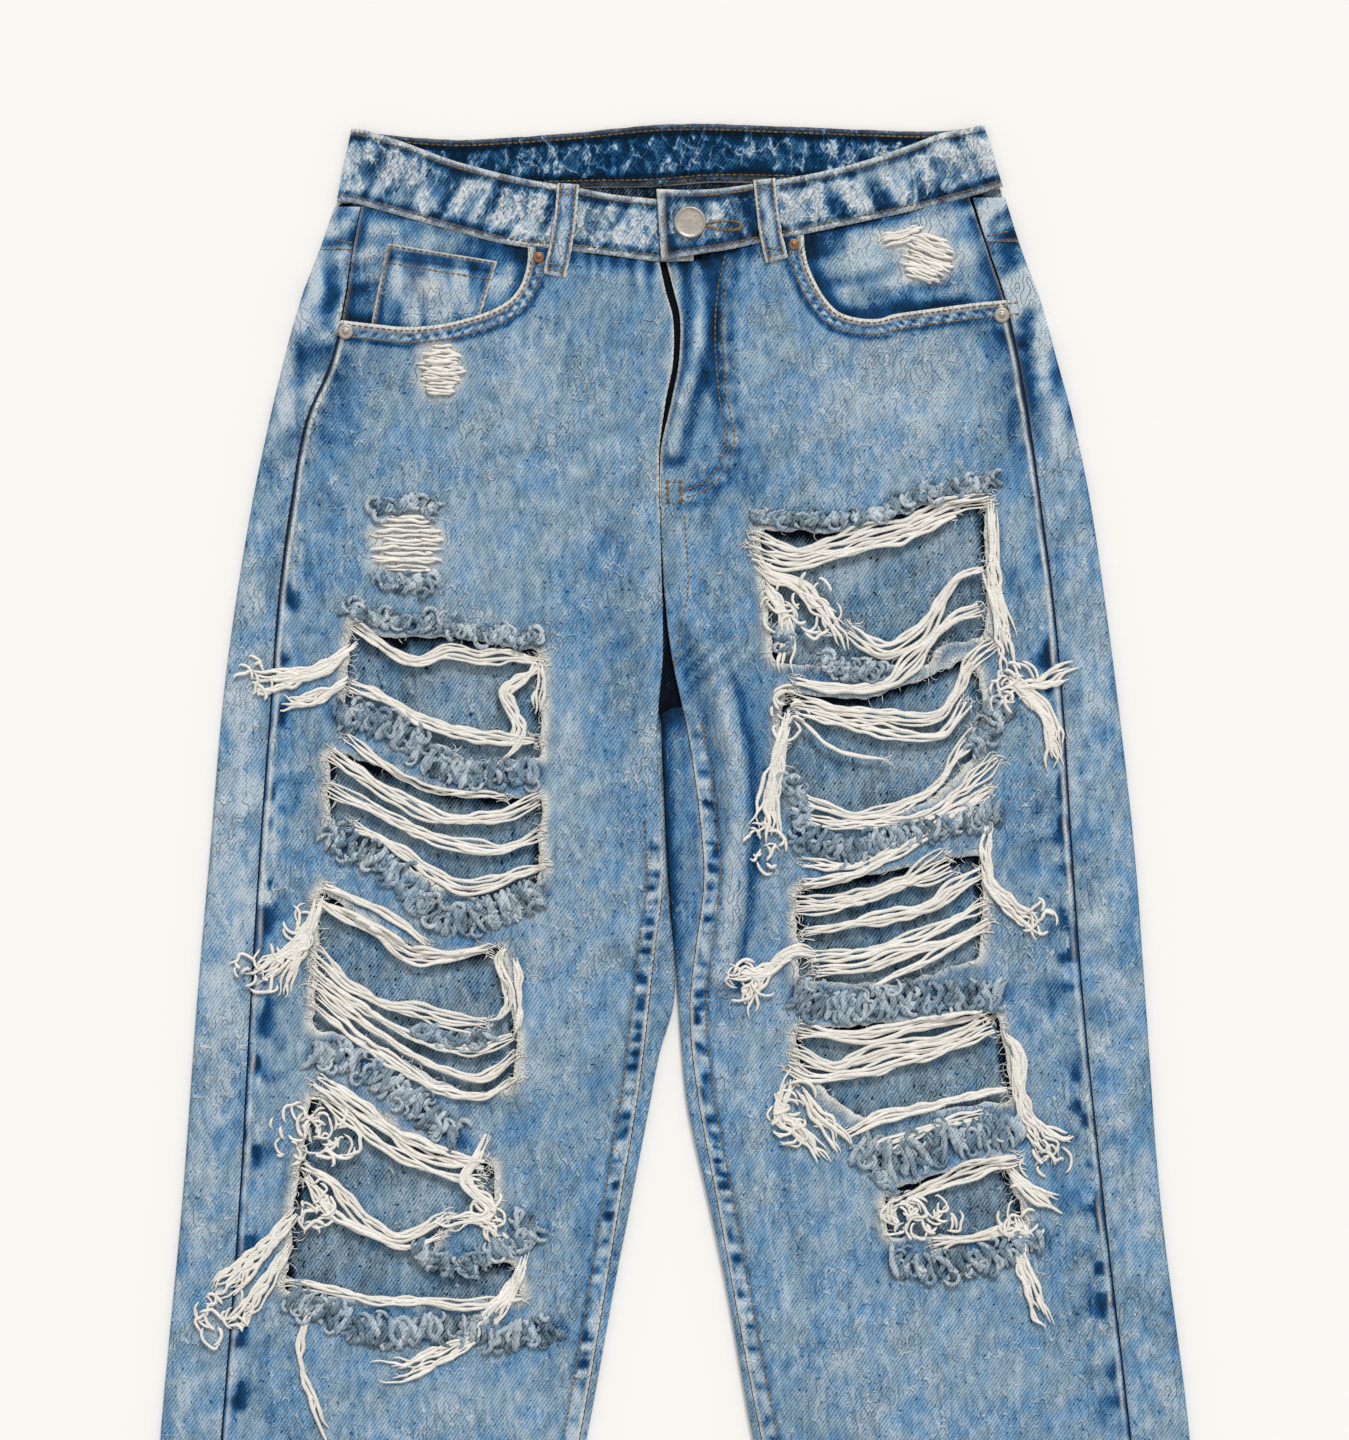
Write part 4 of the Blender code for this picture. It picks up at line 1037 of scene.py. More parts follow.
def sewn(node: str, points: Any, finishes: Sequence[Any], tone: Any, worn: Any, up_at: tuple[int, int],
    slot: str = "denim", own_solid: bool = True, thickness: float = 1.1, relief: Any = None,
    dropped: Any = None, outlines: Sequence[Any] = (), closed: bool = False) -> Any:
    """A sheet of cloth from a grid of points on its middle.

    Args:
        node: The name of the solid it stands for.
        points: Rows of (x, down, height) points, in millimetres.
        finishes: The right side's material and the wrong side's.
        tone: How light the cloth is at each point: its wash, with painted light and shade in places.
        worn: How far each point is rubbed white.
        up_at: A row and column where the right side faces up.
        slot: The finish's slot. Not used.
        own_solid: Whether it stands for that solid, or only lies beside one.
        thickness: The cloth's thickness.
        relief: Offsets along the cloth's normals at each point.
        dropped: The grid's cells that are cut away.
        outlines: Closed outlines that cut edges are drawn onto.
        closed: Whether the last column meets the first.

    Returns:
        The object.
    """
    points = np.array(points, float)
    row, column = up_at
    if relief is not None:
        normal = normals_of(points)
        # "down" runs against Y, so the normal is worked out mirrored.
        turn = 1.0 if -normal[row, column, 2] > 0 else -1.0
        points = points - turn * normal * relief[..., None]
    rows, columns = points.shape[:2]
    if dropped is not None:
        points = drawn_to_outlines(points, dropped, outlines)
    name = f"{node}_cloth" if own_solid else node
    shape = bmesh.new()
    bmesh.ops.create_grid(shape, x_segments=columns - 1, y_segments=rows - 1, size=1.0)
    mesh = meshed(name, shape)
    places = in_metres(points).reshape(-1, 3)
    mesh.vertices.foreach_set("co", places.astype(np.float32).ravel())
    add_attributes(mesh, tone=tone, worn=worn)
    shape = bmesh.new()
    shape.from_mesh(mesh)
    shape.faces.ensure_lookup_table()
    if dropped is not None:
        gone = [shape.faces[i] for i in np.flatnonzero(dropped.ravel())]
        bmesh.ops.delete(shape, geom=gone, context="FACES")
    if closed:
        bmesh.ops.remove_doubles(shape, verts=shape.verts, dist=1e-6)
    shape.normal_update()
    known = Vector(places[row * columns + column])
    nearest = min(shape.faces, key=lambda face: (face.verts[0].co - known).length_squared)
    if nearest.normal.z < 0:
        bmesh.ops.reverse_faces(shape, faces=shape.faces)
    shape.to_mesh(mesh)
    shape.free()
    obj = linked(name, mesh, finishes)
    wall = obj.modifiers.new("thickness", "SOLIDIFY")
    wall.thickness = thickness / 1000
    wall.offset = 0
    wall.material_offset = len(finishes) - 1
    wall.material_offset_rim = 0
    if own_solid:
        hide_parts(node)
    return obj


def drawn_to_outlines(points: Any, dropped: Any, outlines: Sequence[Any]) -> Any:
    """Moves the points round a cut onto its outline.

    Args:
        points: The grid.
        dropped: Its cells that are cut away.
        outlines: Closed outlines.

    Returns:
        The grid with its cut edges moved.
    """
    rows, columns = points.shape[:2]
    corners = ((0, 0), (0, 1), (1, 0), (1, 1))

    def touched(cells: Any) -> Any:
        """The points at a corner of these cells."""
        padded = np.pad(cells, 1)
        return np.any([padded[a : a + rows, b : b + columns] for a, b in corners], axis=0)

    edge = np.argwhere(touched(dropped) & touched(~dropped))
    made = points.copy()
    rings = [np.array(outline, float) for outline in outlines]
    a, b = np.vstack(rings), np.vstack([np.roll(ring, -1, 0) for ring in rings])
    span = np.maximum(((b - a) ** 2).sum(1), 1e-9)
    place = made[edge[:, 0], edge[:, 1], :2]
    t = (((place[:, None] - a) * (b - a)).sum(2) / span).clip(0, 1)
    at = a + t[..., None] * (b - a)
    distance = np.linalg.norm(place[:, None] - at, axis=2)
    best = distance.argmin(1)
    index = np.arange(len(place))
    close = distance[index, best] < REACH_OF_CUT
    made[edge[close, 0], edge[close, 1], :2] = at[index, best][close]
    return made


class Strands:
    """Many small tubes joined into one mesh."""

    def __init__(self, name: str, attribute: str = "tint") -> None:
        """Starts empty.

        Args:
            name: The piece's name.
            attribute: What the number kept on each strand is called.
        """
        self.name = name
        self.attribute = attribute
        self.points: list[Any] = []
        self.faces: list[Any] = []
        self.tints: list[Any] = []
        self.count = 0

    def add(self, path: Any, radius: Any, flatten: float, tint: float,
        taper: tuple[float, float] = (0.7, 0.7), sides: int = 5) -> None:
        """Adds a tube.

        Args:
            path: Rows of (x, down, height) points.
            radius: Its radius, one number or one for each point.
            flatten: Its height as a share of its width.
            tint: The number kept on its points for the material.
            taper: The radius at either end as a share.
            sides: Its number of sides.
        """
        path, steps = np.asarray(path, float), len(path)
        tangent = np.gradient(path, axis=0)
        tangent /= np.linalg.norm(tangent, axis=1, keepdims=True) + 1e-9
        side = np.cross(tangent, (0.0, 0.0, 1.0))
        flat = np.linalg.norm(side, axis=1, keepdims=True)
        side = np.where(flat > 0.05, side / (flat + 1e-9), (1.0, 0.0, 0.0))
        lift = np.cross(side, tangent)
        share = np.linspace(0, 1, steps)
        size = np.ones(steps) * radius * (taper[0] + (1 - taper[0]) * np.minimum(share * 7, 1))
        size *= taper[1] + (1 - taper[1]) * np.minimum((1 - share) * 7, 1)
        angle = (np.arange(sides) * 2 * pi / sides)[None, :, None]
        ring = side[:, None] * np.cos(angle) + flatten * lift[:, None] * np.sin(angle)
        body = path[:, None] + ring * size[:, None, None]
        nose = path[0] - tangent[0] * size[0] * 0.6
        tail = path[-1] + tangent[-1] * size[-1] * 0.6
        self.points.append(np.vstack([body.reshape(-1, 3), nose, tail]))
        i, j = np.meshgrid(np.arange(steps - 1) * sides, np.arange(sides), indexing="ij")
        k = (j + 1) % sides
        quads = np.stack([i + j, i + k, i + sides + k, i + sides + j]).reshape(4, -1).T
        j, last = np.arange(sides), (steps - 1) * sides
        k = (j + 1) % sides
        first = np.c_[k, j, np.full(sides, steps * sides)]
        end = np.c_[last + j, last + k, np.full(sides, steps * sides + 1)]
        for faces in (quads, first, end):
            self.faces += (faces + self.count).tolist()
        self.tints.append(np.full(steps * sides + 2, tint))
        self.count += steps * sides + 2

    def build(self, finish: Any) -> Any:
        """Makes the object.

        Args:
            finish: Its material.

        Returns:
            The object.
        """
        mesh = bpy.data.meshes.new(self.name)
        places = in_metres(np.vstack(self.points))
        mesh.from_pydata(places.tolist(), [], self.faces)
        add_attributes(mesh, **{self.attribute: np.concatenate(self.tints)})
        shape = bmesh.new()
        shape.from_mesh(mesh)
        bmesh.ops.recalc_face_normals(shape, faces=shape.faces)
        shape.to_mesh(mesh)
        shape.free()
        return linked(self.name, mesh, (finish,))


def seam_shade(distance: Any, width: float = 3.0) -> Any:
    """1 at a seam and 0 a few millimetres from it."""
    return np.exp(-((distance / width) ** 2))


def pucker(along: Any, distance: Any, reach: float, pitch: float, seed: int) -> Any:
    """The small ridges that a seam pulls across its edge.

    Args:
        along: How far along the seam.
        distance: How far from the seam.
        reach: How wide the ridges are.
        pitch: The spacing of the ridges.
        seed: Which of the many patterns.

    Returns:
        Values from -1 to 1.
    """
    wander = 0.35 * pitch * ripple(along, distance, 2.6 * pitch, 40, seed)
    wave = np.cos(2 * pi * (along + wander) / pitch)
    strength = 0.55 + 0.45 * ripple(along, distance, 3.4 * pitch, 30, seed + 1)
    return wave * strength * swell(distance, reach)


@dataclass
class Panel:
    """What the panels share: their leg and their finishes. Each one's flat is the size it was cut to, in
    metres."""

    leg: Leg
    denim: Any
    wrong_side: Any

    def surface(self, x: Any, down: Any) -> Any:
        """The middle of the front's cloth with all its folds and creases."""
        leg = self.leg
        return leg.fold_height(x, down) + leg.creases(x, down) + leg.rip_lift(x, down)

    def sewn(self, name: str, points: Any, tone: Any, worn: Any, up_at: tuple[int, int],
        **options: Any) -> Any:
        """Makes this leg's piece of cloth.

        Args:
            name: The piece's name without its side.
            points: The grid of its middle.
            tone: How light it is at each point.
            worn: How far it is rubbed white at each point.
            up_at: A row and column where its right side faces up.
            **options: Other choices of the cloth.

        Returns:
            The object.
        """
        finishes = (self.denim, self.wrong_side)
        return sewn(f"{name}_{self.leg.word}", points, finishes, tone, worn, up_at, **options)

    def raised(self, points: Any) -> Any:
        """Moves points to the creased surface, as far as their fourth number says.

        Args:
            points: A grid of (x, down, height, weight).

        Returns:
            The grid without its weights.
        """
        weight = points[..., 3]
        moved = weight > 0
        height = points[..., 2].copy()
        level = self.surface(points[..., 0][moved], points[..., 1][moved])
        height[moved] += (level - height[moved]) * weight[moved]
        return np.dstack([points[..., :2], height])

    def common_tone(self, x: Any, down: Any) -> Any:
        """Tone of the wash, the side seam's wear, and painted light and shade on the folds and creases.

        Args:
            x: Places across.
            down: Places down.

        Returns:
            Tones about 0.
        """
        leg = self.leg
        tone = wash_tone(x, down) * 0.9
        seam = leg.past_seam(x, down)
        strength = 0.25 + 0.75 * np.clip((down - 190) / 70, 0, 1)
        spots = np.clip(1.6 * ripple(x, down, 7, 8, 71 + leg.sign), 0, 1) ** 1.2
        strip = swell(np.abs(seam + 5.5), 9) + 0.35 * swell(np.abs(seam + 16), 16)
        tone -= 1.9 * spots * strip * (seam < 0) * strength
        pale = np.clip(ripple(x, down, 4, 9, 75 + leg.sign), 0, 1)
        tone += 0.7 * pale * swell(np.abs(seam + 5), 9) * (seam < 0) * strength
        upper = np.clip((200 - down) / 90, 0, 1)
        beyond = pucker(down + 0.4 * x, np.abs(seam - 9), 22, 13.0, 77 + leg.sign)
        tone += (0.2 + 0.5 * upper) * beyond * (seam > 0)
        tone += (0.4 + 1.5 * upper) * ripple(x, down, 8, 17, 78) * (seam > 0)
        near = swell(np.abs(seam), 26) * upper
        tone += near * (0.5 * pucker(down - 0.5 * x, np.abs(seam), 30, 11.0, 83) - 0.2)
        tone += 1.3 * near * ripple(x + 0.3 * down, down, 8, 16, 84)
        # Painted light and shade: raised folds and creases are lighter, troughs darker.
        for fold in FOLDS[leg.side]:
            rise = swell(distance_to(fold.line, x, down), 0.8 * fold.half_width)
            tone += 0.04 * fold.height * rise
        for fold in CREASES[leg.side]:
            rise = swell(distance_to(fold.line, x, down), 0.8 * fold.half_width)
            tone += 0.22 * fold.height * rise
        return tone


@dataclass
class FrontPanel(Panel):
    """The front of one leg and half the seat, with its pocket mouth and its rips."""

    flat: tuple[float, float] = (0.22, 0.92)
    cell: float = 2.4
    # The number of columns near the inseam, in the middle and near the side seam, and their widths.
    columns: Sequence[tuple[int, float]] = ((12, 1.1), (70, 2.75), (14, 0.95))

    def grid(self) -> Any:
        """Rows of points from the inseam to the side seam.

        Returns:
            Rows of (x, down, height) points.
        """
        leg = self.leg
        seam_top = float(band_bottom(leg.sign * FRONT_TOP_END)) + SEAM_GAP
        upper = np.linspace(seam_top, HIP, int((HIP - seam_top) / self.cell))[:-1]
        low = LENGTH - HEM_HEIGHT - SEAM_GAP
        levels = np.r_[upper, np.linspace(HIP, low, int((low - HIP) / self.cell))]
        steps = np.concatenate([np.full(*part) for part in self.columns])
        shares = np.r_[0, np.cumsum(steps)] / steps.sum()
        rows = []
        for level in levels:
            share = (level - seam_top) / (HIP - seam_top)
            last = float(leg.seam(level)) - SEAM_GAP / 2
            if level >= CROTCH:
                start, radius = leg.inner_start(level)
                first = leg.inseam_travel(level) + SEAM_GAP / 2
                end = pi * radius + last - start
                travel = first + (end - first) * shares
                points = leg.inner_path(level, travel)
                weight = np.clip((leg.sign * points[:, 0] - start) / 5, 0, 1)
                weight = np.where(travel > pi * radius, weight, 0)
            else:
                down = level
                for _ in range(3):
                    first = float(leg.front_inner(down)) + SEAM_GAP / 2
                    if level >= HIP:
                        break
                    top = float(band_bottom(leg.sign * first)) + SEAM_GAP
                    down = top + (HIP - top) * share
                out = first + (last - first) * shares
                x = leg.sign * out
                top = band_bottom(x) + SEAM_GAP
                down = np.full(x.shape, level) if level >= HIP else top + (HIP - top) * share
                points = np.c_[x, down, leg.fold_height(x, down)]
                weight = np.ones(len(x))
            rows.append(np.c_[points, weight])
        return self.raised(np.array(rows))

    def build(self) -> Any:
        """Makes the panel.

        Returns:
            The object.
        """
        leg = self.leg
        points = self.grid()
        x, down = points[..., 0], points[..., 1]
        out = leg.sign * x
        centres = 0.25 * (points[1:, 1:] + points[:-1, 1:] + points[1:, :-1] + points[:-1, :-1])
        dropped = leg.in_rip(centres[..., 0], centres[..., 1])
        mouth = leg.mouth
        corner = leg.sign * 260
        above = [*map(tuple, mouth), (corner, mouth[-1, 1]), (corner, 0.0), (mouth[0, 0], 0.0)]
        dropped |= inside(above, centres[..., 0], centres[..., 1])
        outlines = [*leg.rips, above]

        tone = self.common_tone(x, down)
        inseam = out - leg.front_inner(down)
        begun = np.clip((down - INSEAM_SHOWS[leg.side]) / 25, 0, 1)
        ridge = 0.55 * pucker(down, np.abs(inseam - 4.6), 7, 7.4, 81 + leg.sign)
        ridge += 0.9 * ripple(x, down, 6, 4.2, 87) * swell(np.abs(inseam - 4.6), 7)
        ridge *= begun
        tone = tone - 2.6 * np.clip(-ridge, 0, 0.9) + 1.4 * np.clip(ridge, 0, 1)
        tone -= 0.5 * seam_shade(inseam - 9.6, 1.4) * begun
        if leg.side is Side.LEFT:
            roll = distance_to(INNER_FOLD, x, down)
            past = x - np.interp(down, *np.array(INNER_FOLD).T[::-1])
            within = (down > 285) * (down < 470)
            uneven = 0.7 + 0.6 * ripple(x, down, 7, 16, 97)
            # Painted highlight along the crest of the inner fold, and painted shadow just beside it.
            shade = 0.38 * seam_shade(roll, 6) * uneven - 1.15 * seam_shade(past - 8.5, 3.2)
            tone += shade * within * np.clip((down - 285) / 30, 0, 1)
            pull = np.clip(1 - np.hypot(x - 14, 1.2 * (down - 292)) / 34, 0, 1)
            tone = tone + 0.9 * pull * pucker(down + 0.9 * x, roll, 60, 11.0, 98) - 0.35 * pull
        at_mouth = distance_to(mouth, x, down)
        ladder = pucker(out + 0.8 * down, np.abs(at_mouth - 5), 5.5, 6.4, 91)
        # The dark line just inside the mouth's white edge is painted shade; a second dark line lies beside
        # the outer stitch row.
        tone = tone + 2.2 * ladder - 1.6 * seam_shade(at_mouth - 3.4, 1.4)
        tone -= 1.5 * seam_shade(at_mouth - 9.9, 1.6)
        at_band = np.abs(down - band_bottom(x) - SEAM_GAP)
        tone = tone - 1.3 * swell(at_band, 11) + 0.95 * pucker(x, at_band, 26, 9.0, 93)
        at_rip = leg.rip_distance(x, down)
        # Painted shade in a band about 5 mm from the rip edges; a little lighter further out.
        tone = tone - 0.30 * seam_shade(at_rip - 5, 3.5) + 0.12 * seam_shade(at_rip - 12, 7)
        # Painted shade on the cloth under the frayed strips.
        for ruffle in RUFFLES[leg.side]:
            tone -= 0.9 * swell(distance_to(ruffle.route, x, down), ruffle.half + 2)
        fly = distance_to(FLY_STITCH, x, down)
        if leg.side is Side.LEFT:
            tone += 0.8 * pucker(down, np.abs(fly - 1), 8, 12.0, 95)
            # Painted light and shade at the fly: a painted highlight on the fold's crest, and painted shade
            # beside the crest, beside the fly stitching and over the placket.
            tone -= 0.6 * seam_shade(fly - 4, 2.5)
            crest = distance_to(FLY_RIDGE, x, down) + 0.8 * ripple(x, down, 6, 9, 96)
            uneven = 0.55 + 0.7 * ripple(x, down, 5, 12, 99)
            tone = tone + 0.9 * seam_shade(crest, 2.6) * uneven - 1.2 * seam_shade(crest - 6.5, 3.8)
            placket = swell(np.abs(x - 20), 17) * np.clip((180 - down) / 40, 0, 1)
            tone += placket * (0.8 * ripple(x, down, 4.5, 15, 100) - 0.4)
        # Painted shade in the groove along the side seam.
        seam = leg.past_seam(x, down)
        sway = 0.5 * ripple(x, down, 30, 11, 103)
        groove = 1.25 - 0.6 * np.clip((down - 210) / 80, 0, 1)
        tone -= 3.2 * seam_shade(seam + 0.4 * groove + sway * (groove > 1), groove)
        torn_side = leg.rip_distance(x, down, 1.3)
        worn = 0.85 * seam_shade(at_rip, 1.8) + 0.95 * seam_shade(torn_side - 0.5, 4.6)
        piping = 0.55 + 0.45 * (down < 420) + 0.3 * ripple(x, down, 20, 9, 101)
        worn = worn + 1.6 * seam_shade(at_mouth - 0.4, 2.1) + piping * seam_shade(seam + 2.9 + sway, 0.9)
        worn += (0.12 + 0.98 * (down < 215)) * seam_shade(inseam, 1.3)
        worn += 0.95 * seam_shade(inseam - 0.4, 1.1) * begun
        for bare in BARE_PATCHES[leg.side]:
            worn += 1.1 * bare.share(x, down)
        relief = 0.35 * ridge + 0.35 * ladder
        relief += 0.3 * pucker(x, at_band, 16, 9.0, 93)
        relief -= 0.5 * swell(np.maximum(at_band, 0), 6)
        spots = pucker(down, np.abs(seam + 6.5), 11, 15.0, 71 + leg.sign)
        relief -= 0.35 * spots * (down > 225)
        return self.sewn("front_panel", points, tone, worn, (150, 50), relief=relief, dropped=dropped,
            outlines=outlines)


@dataclass
class BackPanel(Panel):
    """The back of one leg and half the seat. It rolls over the front as far as the seams."""

    flat: tuple[float, float] = (0.33, 0.90)
    roll_flat: tuple[float, float] = (0.022, 0.64)
    columns: int = 40
    row_counts: tuple[int, int, int] = (38, 34, 156)

    def flange(self, down: float, count: int, turn: int) -> Any:
        """Points from the side seam outwards and round the roll to the back.

        Args:
            down: The level.
            count: Points on the flat part.
            turn: Points round the roll.

        Returns:
            Rows of (x, down, height, weight of the creases).
        """
        leg = self.leg
        outer = float(leg.outer(down))
        seam = float(leg.seam(down)) + SEAM_GAP / 2
        radius = float(leg.roll_radius(outer - 4, down))
        centre = outer - radius - DENIM / 2
        out = seam + (centre - seam) * np.linspace(0, 1, count, endpoint=False)
        x = leg.sign * out
        level = np.full(count, down)
        blend = np.clip((centre - out) / 6, 0, 1)
        flat = np.c_[x, level, np.full(count, BACK_LEVEL + 2 * radius), blend]
        angle = np.linspace(pi / 2, -pi / 2, turn)
        roll = np.c_[leg.sign * (centre + radius * np.cos(angle)), np.full(turn, down),
            BACK_LEVEL + radius + radius * np.sin(angle), np.zeros(turn)]
        return np.vstack([flat, roll])

    def build(self) -> Any:
        """Makes the panel.

        Returns:
            The object.
        """
        leg = self.leg
        centre = BACK_CENTRE * leg.sign + 0.02
        side_top = YOKE_AT_SIDE[leg.side] + SEAM_GAP
        low = LENGTH - HEM_HEIGHT - SEAM_GAP
        stops = (side_top, HIP, CROTCH, low)
        parts = [np.linspace(*part)[:-1] for part in zip(stops, stops[1:], self.row_counts)]
        levels, places = np.r_[*parts, low], np.linspace(1, 0, self.columns)[1:]
        rows = []
        for level in levels:
            flange = self.flange(level, 12, 8)
            outer = float(leg.outer(level))
            if level < HIP:
                out = centre + (outer - centre) * places
                top = leg.yoke_line(out) + SEAM_GAP
                down = top + (HIP - top) * (level - side_top) / (HIP - side_top)
            else:
                joined = level < CROTCH + (8 if leg.side is Side.RIGHT else 0)
                middle = centre if joined else float(leg.inner_start(level)[0])
                out = middle + (outer - middle) * places
                down = np.full(out.shape, level)
            limit = leg.sign * flange[-1, 0]
            out = np.minimum(out, limit - 0.5 - 3 * (1 - places))
            rise = 0.25 + 0.25 * ripple(leg.sign * out, down, 20, 16, 5)
            inner = np.c_[leg.sign * out, down, BACK_LEVEL + rise, 0 * out]
            rows.append(np.vstack([flange, inner]))
        points = self.raised(np.array(rows))
        x, down = points[..., 0], points[..., 1]
        tone = self.common_tone(x, down)
        lining = 0.05 + 0.35 * ripple(x[:, 20:], down[:, 20:], 26, 20, 6)
        # Painted shadow under the top edges of the rips and on the cloth that the front covers.
        near = ~leg.in_rip(x[:, 20:], down[:, 20:] - 2.5)
        far = ~leg.in_rip(x[:, 20:], down[:, 20:] - 6)
        # Painted shade in the crotch hollow, darker towards the crotch.
        hollow = (np.abs(x[:, 20:]) < 20) * (down[:, 20:] > 205) * (down[:, 20:] < 335)
        shade = 0.5 * far + 1.2 * near * ~hollow
        deep = 0.35 + 1.3 * np.clip((down[:, 20:] - 235) / 70, 0, 1)
        tone[:, 20:] = lining - shade - hollow * (deep - 0.5 * ripple(x, down, 4, 8, 88)[:, 20:])
        tone[:, :16] += 0.20 * swell(np.arange(16)[None] - 7, 8)
        tone[:, 14:20] -= 0.25
        worn = 0.15 * seam_shade(leg.sign * x - leg.seam(down), 1.2)
        worn[:, 13:] = 0
        return self.sewn("back_panel", points, tone, worn, (150, 4))

    def inner_roll(self) -> Any:
        """The part of the leg's back that rolls up to the inseam.

        Returns:
            Rows of (x, down, height) points.
        """
        leg = self.leg
        low = LENGTH - HEM_HEIGHT - SEAM_GAP
        rows = []
        for level in np.linspace(CROTCH, low, 260):
            ends = leg.inseam_travel(level) - SEAM_GAP / 2
            travel = np.linspace(-9.0, ends, 22)
            start = float(leg.inner_start(level)[0])
            points = leg.inner_path(level, np.maximum(travel, 0))
            flat = travel < 0
            points[flat, 0] = leg.sign * (start - travel[flat])
            points[flat, 2] = BACK_LEVEL + 0.2
            rows.append(points)
        points = np.array(rows)
        below = points[..., 1] - CROTCH
        outward = leg.sign * points[..., 0] - leg.leg_inner(points[..., 1])
        points[..., 1] += 4.5 * np.clip(1 - outward / 9, 0, 1) ** 2 * np.exp(-below / 10)
        points[..., 2] -= 0.3 * (points[..., 2] - BACK_LEVEL) * np.exp(-((below / 3) ** 2))
        down = points[..., 1]
        from_seam = np.arange(21, -1, -1)[None] * 0.9
        ridge = pucker(down, from_seam, 6, 9.0, 85 + leg.sign)
        tone = self.common_tone(points[..., 0], down) + 0.3 * ridge
        # Painted shade where the roll comes out of the crotch hollow, and a thin dark line beside the
        # inseam.
        tone = tone - 1.6 * seam_shade(below, 9) - 0.15 * seam_shade(from_seam - 1.5, 1.2)
        if leg.side is Side.LEFT:
            # Painted shadow next to the right leg's edge.
            apart = points[..., 0] + Profile(LEG_INNER[Side.RIGHT], "out")(down)
            tone -= (1.8 * seam_shade(apart, 4.5) + 0.35) * np.clip((480 - down) / 60, 0, 1)
        worn = 0.25 * seam_shade(from_seam + 0 * down, 1.0) * np.clip((down - CROTCH) / 40, 0, 1)
        return self.sewn("inseam_roll", points, tone, worn, (130, 20), own_solid=False,
            relief=0.2 * ridge * swell(from_seam - 3, 9))


@dataclass
class Yoke(BackPanel):
    """The back yoke. It rolls over the side and shows on the front as far as the side seam."""

    flat: tuple[float, float] = (0.21, 0.09)

    def build(self) -> Any:
        """Makes the yoke.

        Returns:
            The object.
        """
        leg = self.leg
        centre = BACK_CENTRE * leg.sign + SEAM_GAP / 2
        top = float(band_bottom(leg.sign * SIDE_LINES[leg.side][0].side_seam)) + 1.0
        places = np.linspace(1, 0, 70)[1:]
        rows = []
        for level in np.linspace(top, YOKE_AT_SIDE[leg.side], 22):
            share = (level - top) / (YOKE_AT_SIDE[leg.side] - top)
            flange = self.flange(level, 14, 9)
            out = centre + (float(leg.outer(level)) - centre) * places
            start = back_band_bottom(leg.sign * out) + 0.8
            down = start + (leg.yoke_line(out) - start) * share
            limit = leg.sign * flange[-1, 0]
            out = np.minimum(out, limit - 0.5 - 3 * (1 - places))
            level = np.full(out.shape, BACK_LEVEL + 0.1)
            inner = np.c_[leg.sign * out, down, level, 0 * out]
            rows.append(np.vstack([flange, inner]))
        points = self.raised(np.array(rows))
        x, down = points[..., 0], points[..., 1]
        lower = YOKE_AT_SIDE[leg.side] - down
        tone = self.common_tone(x, down) + 0.1
        tone[:, :22] -= 0.7 * swell(lower[:, :22] - 4, 5)
        tone[:, 24:] -= 1.3
        worn = 0.35 * seam_shade(lower, 1.2)
        return self.sewn("yoke", points, tone, worn, (10, 5))


@dataclass
class PocketFacing(Panel):
    """The cloth seen in a pocket mouth."""

    flat: tuple[float, float] = (0.11, 0.08)

    def build(self) -> Any:
        """Makes the facing.

        Returns:
            The object.
        """
        leg = self.leg
        mouth = np.array(POCKET_MOUTH[leg.side])
        first = mouth[0, 0] - 8
        rows = []
        for share in np.linspace(0, 1, 46):
            top = float(band_bottom(leg.sign * FRONT_TOP_END)) + SEAM_GAP
            end = top + (float(np.interp(182, mouth[:, 0], mouth[:, 1])) + 9 - top) * share
            last = float(leg.seam(end)) - SEAM_GAP
            out = first + (last - first) * np.linspace(0, 1, 64)
            x = leg.sign * out
            top = band_bottom(x) + SEAM_GAP
            low = np.interp(np.maximum(out, mouth[0, 0] + 8), mouth[:, 0], mouth[:, 1]) + 9
            rows.append(np.c_[x, top + (low - top) * share, np.full(64, FRONT_LEVEL)])
        points = np.array(rows)
        x, down = points[..., 0], points[..., 1]
        under = distance_to(leg.mouth, x, down)
        band = down - band_bottom(x)
        folds = ripple(x - 0.5 * down, down + 0.2 * x, 26, 6, 8)
        # Painted light and shade on the folds: the same ripples that raise them near the mouth make their
        # crests lighter and their troughs darker.
        tone = wash_tone(x, down) * 0.5 - 0.3 + 1.1 * folds + 0.5 * ripple(x, down, 6, 14, 102)
        # Painted shade next to the pocket mouth, the waistband and the side seam.
        tone = tone - 1.5 * swell(under, 9) - 0.9 * swell(band, 9)
        tone -= 1.0 * swell(np.abs(leg.past_seam(x, down)), 9)
        worn = 0.5 * seam_shade(leg.past_seam(x, down), 1.4)
        for bare in BARE_PATCHES[leg.side]:
            worn += 1.1 * bare.share(x, down) * (under > 4)
        relief = 0.9 * folds + 0.3 * pucker(x, band, 14, 8.0, 94)
        relief *= swell(np.maximum(16 - under, 0), 16)
        return self.sewn("pocket_facing", points, tone, worn, (20, 30), relief=relief)


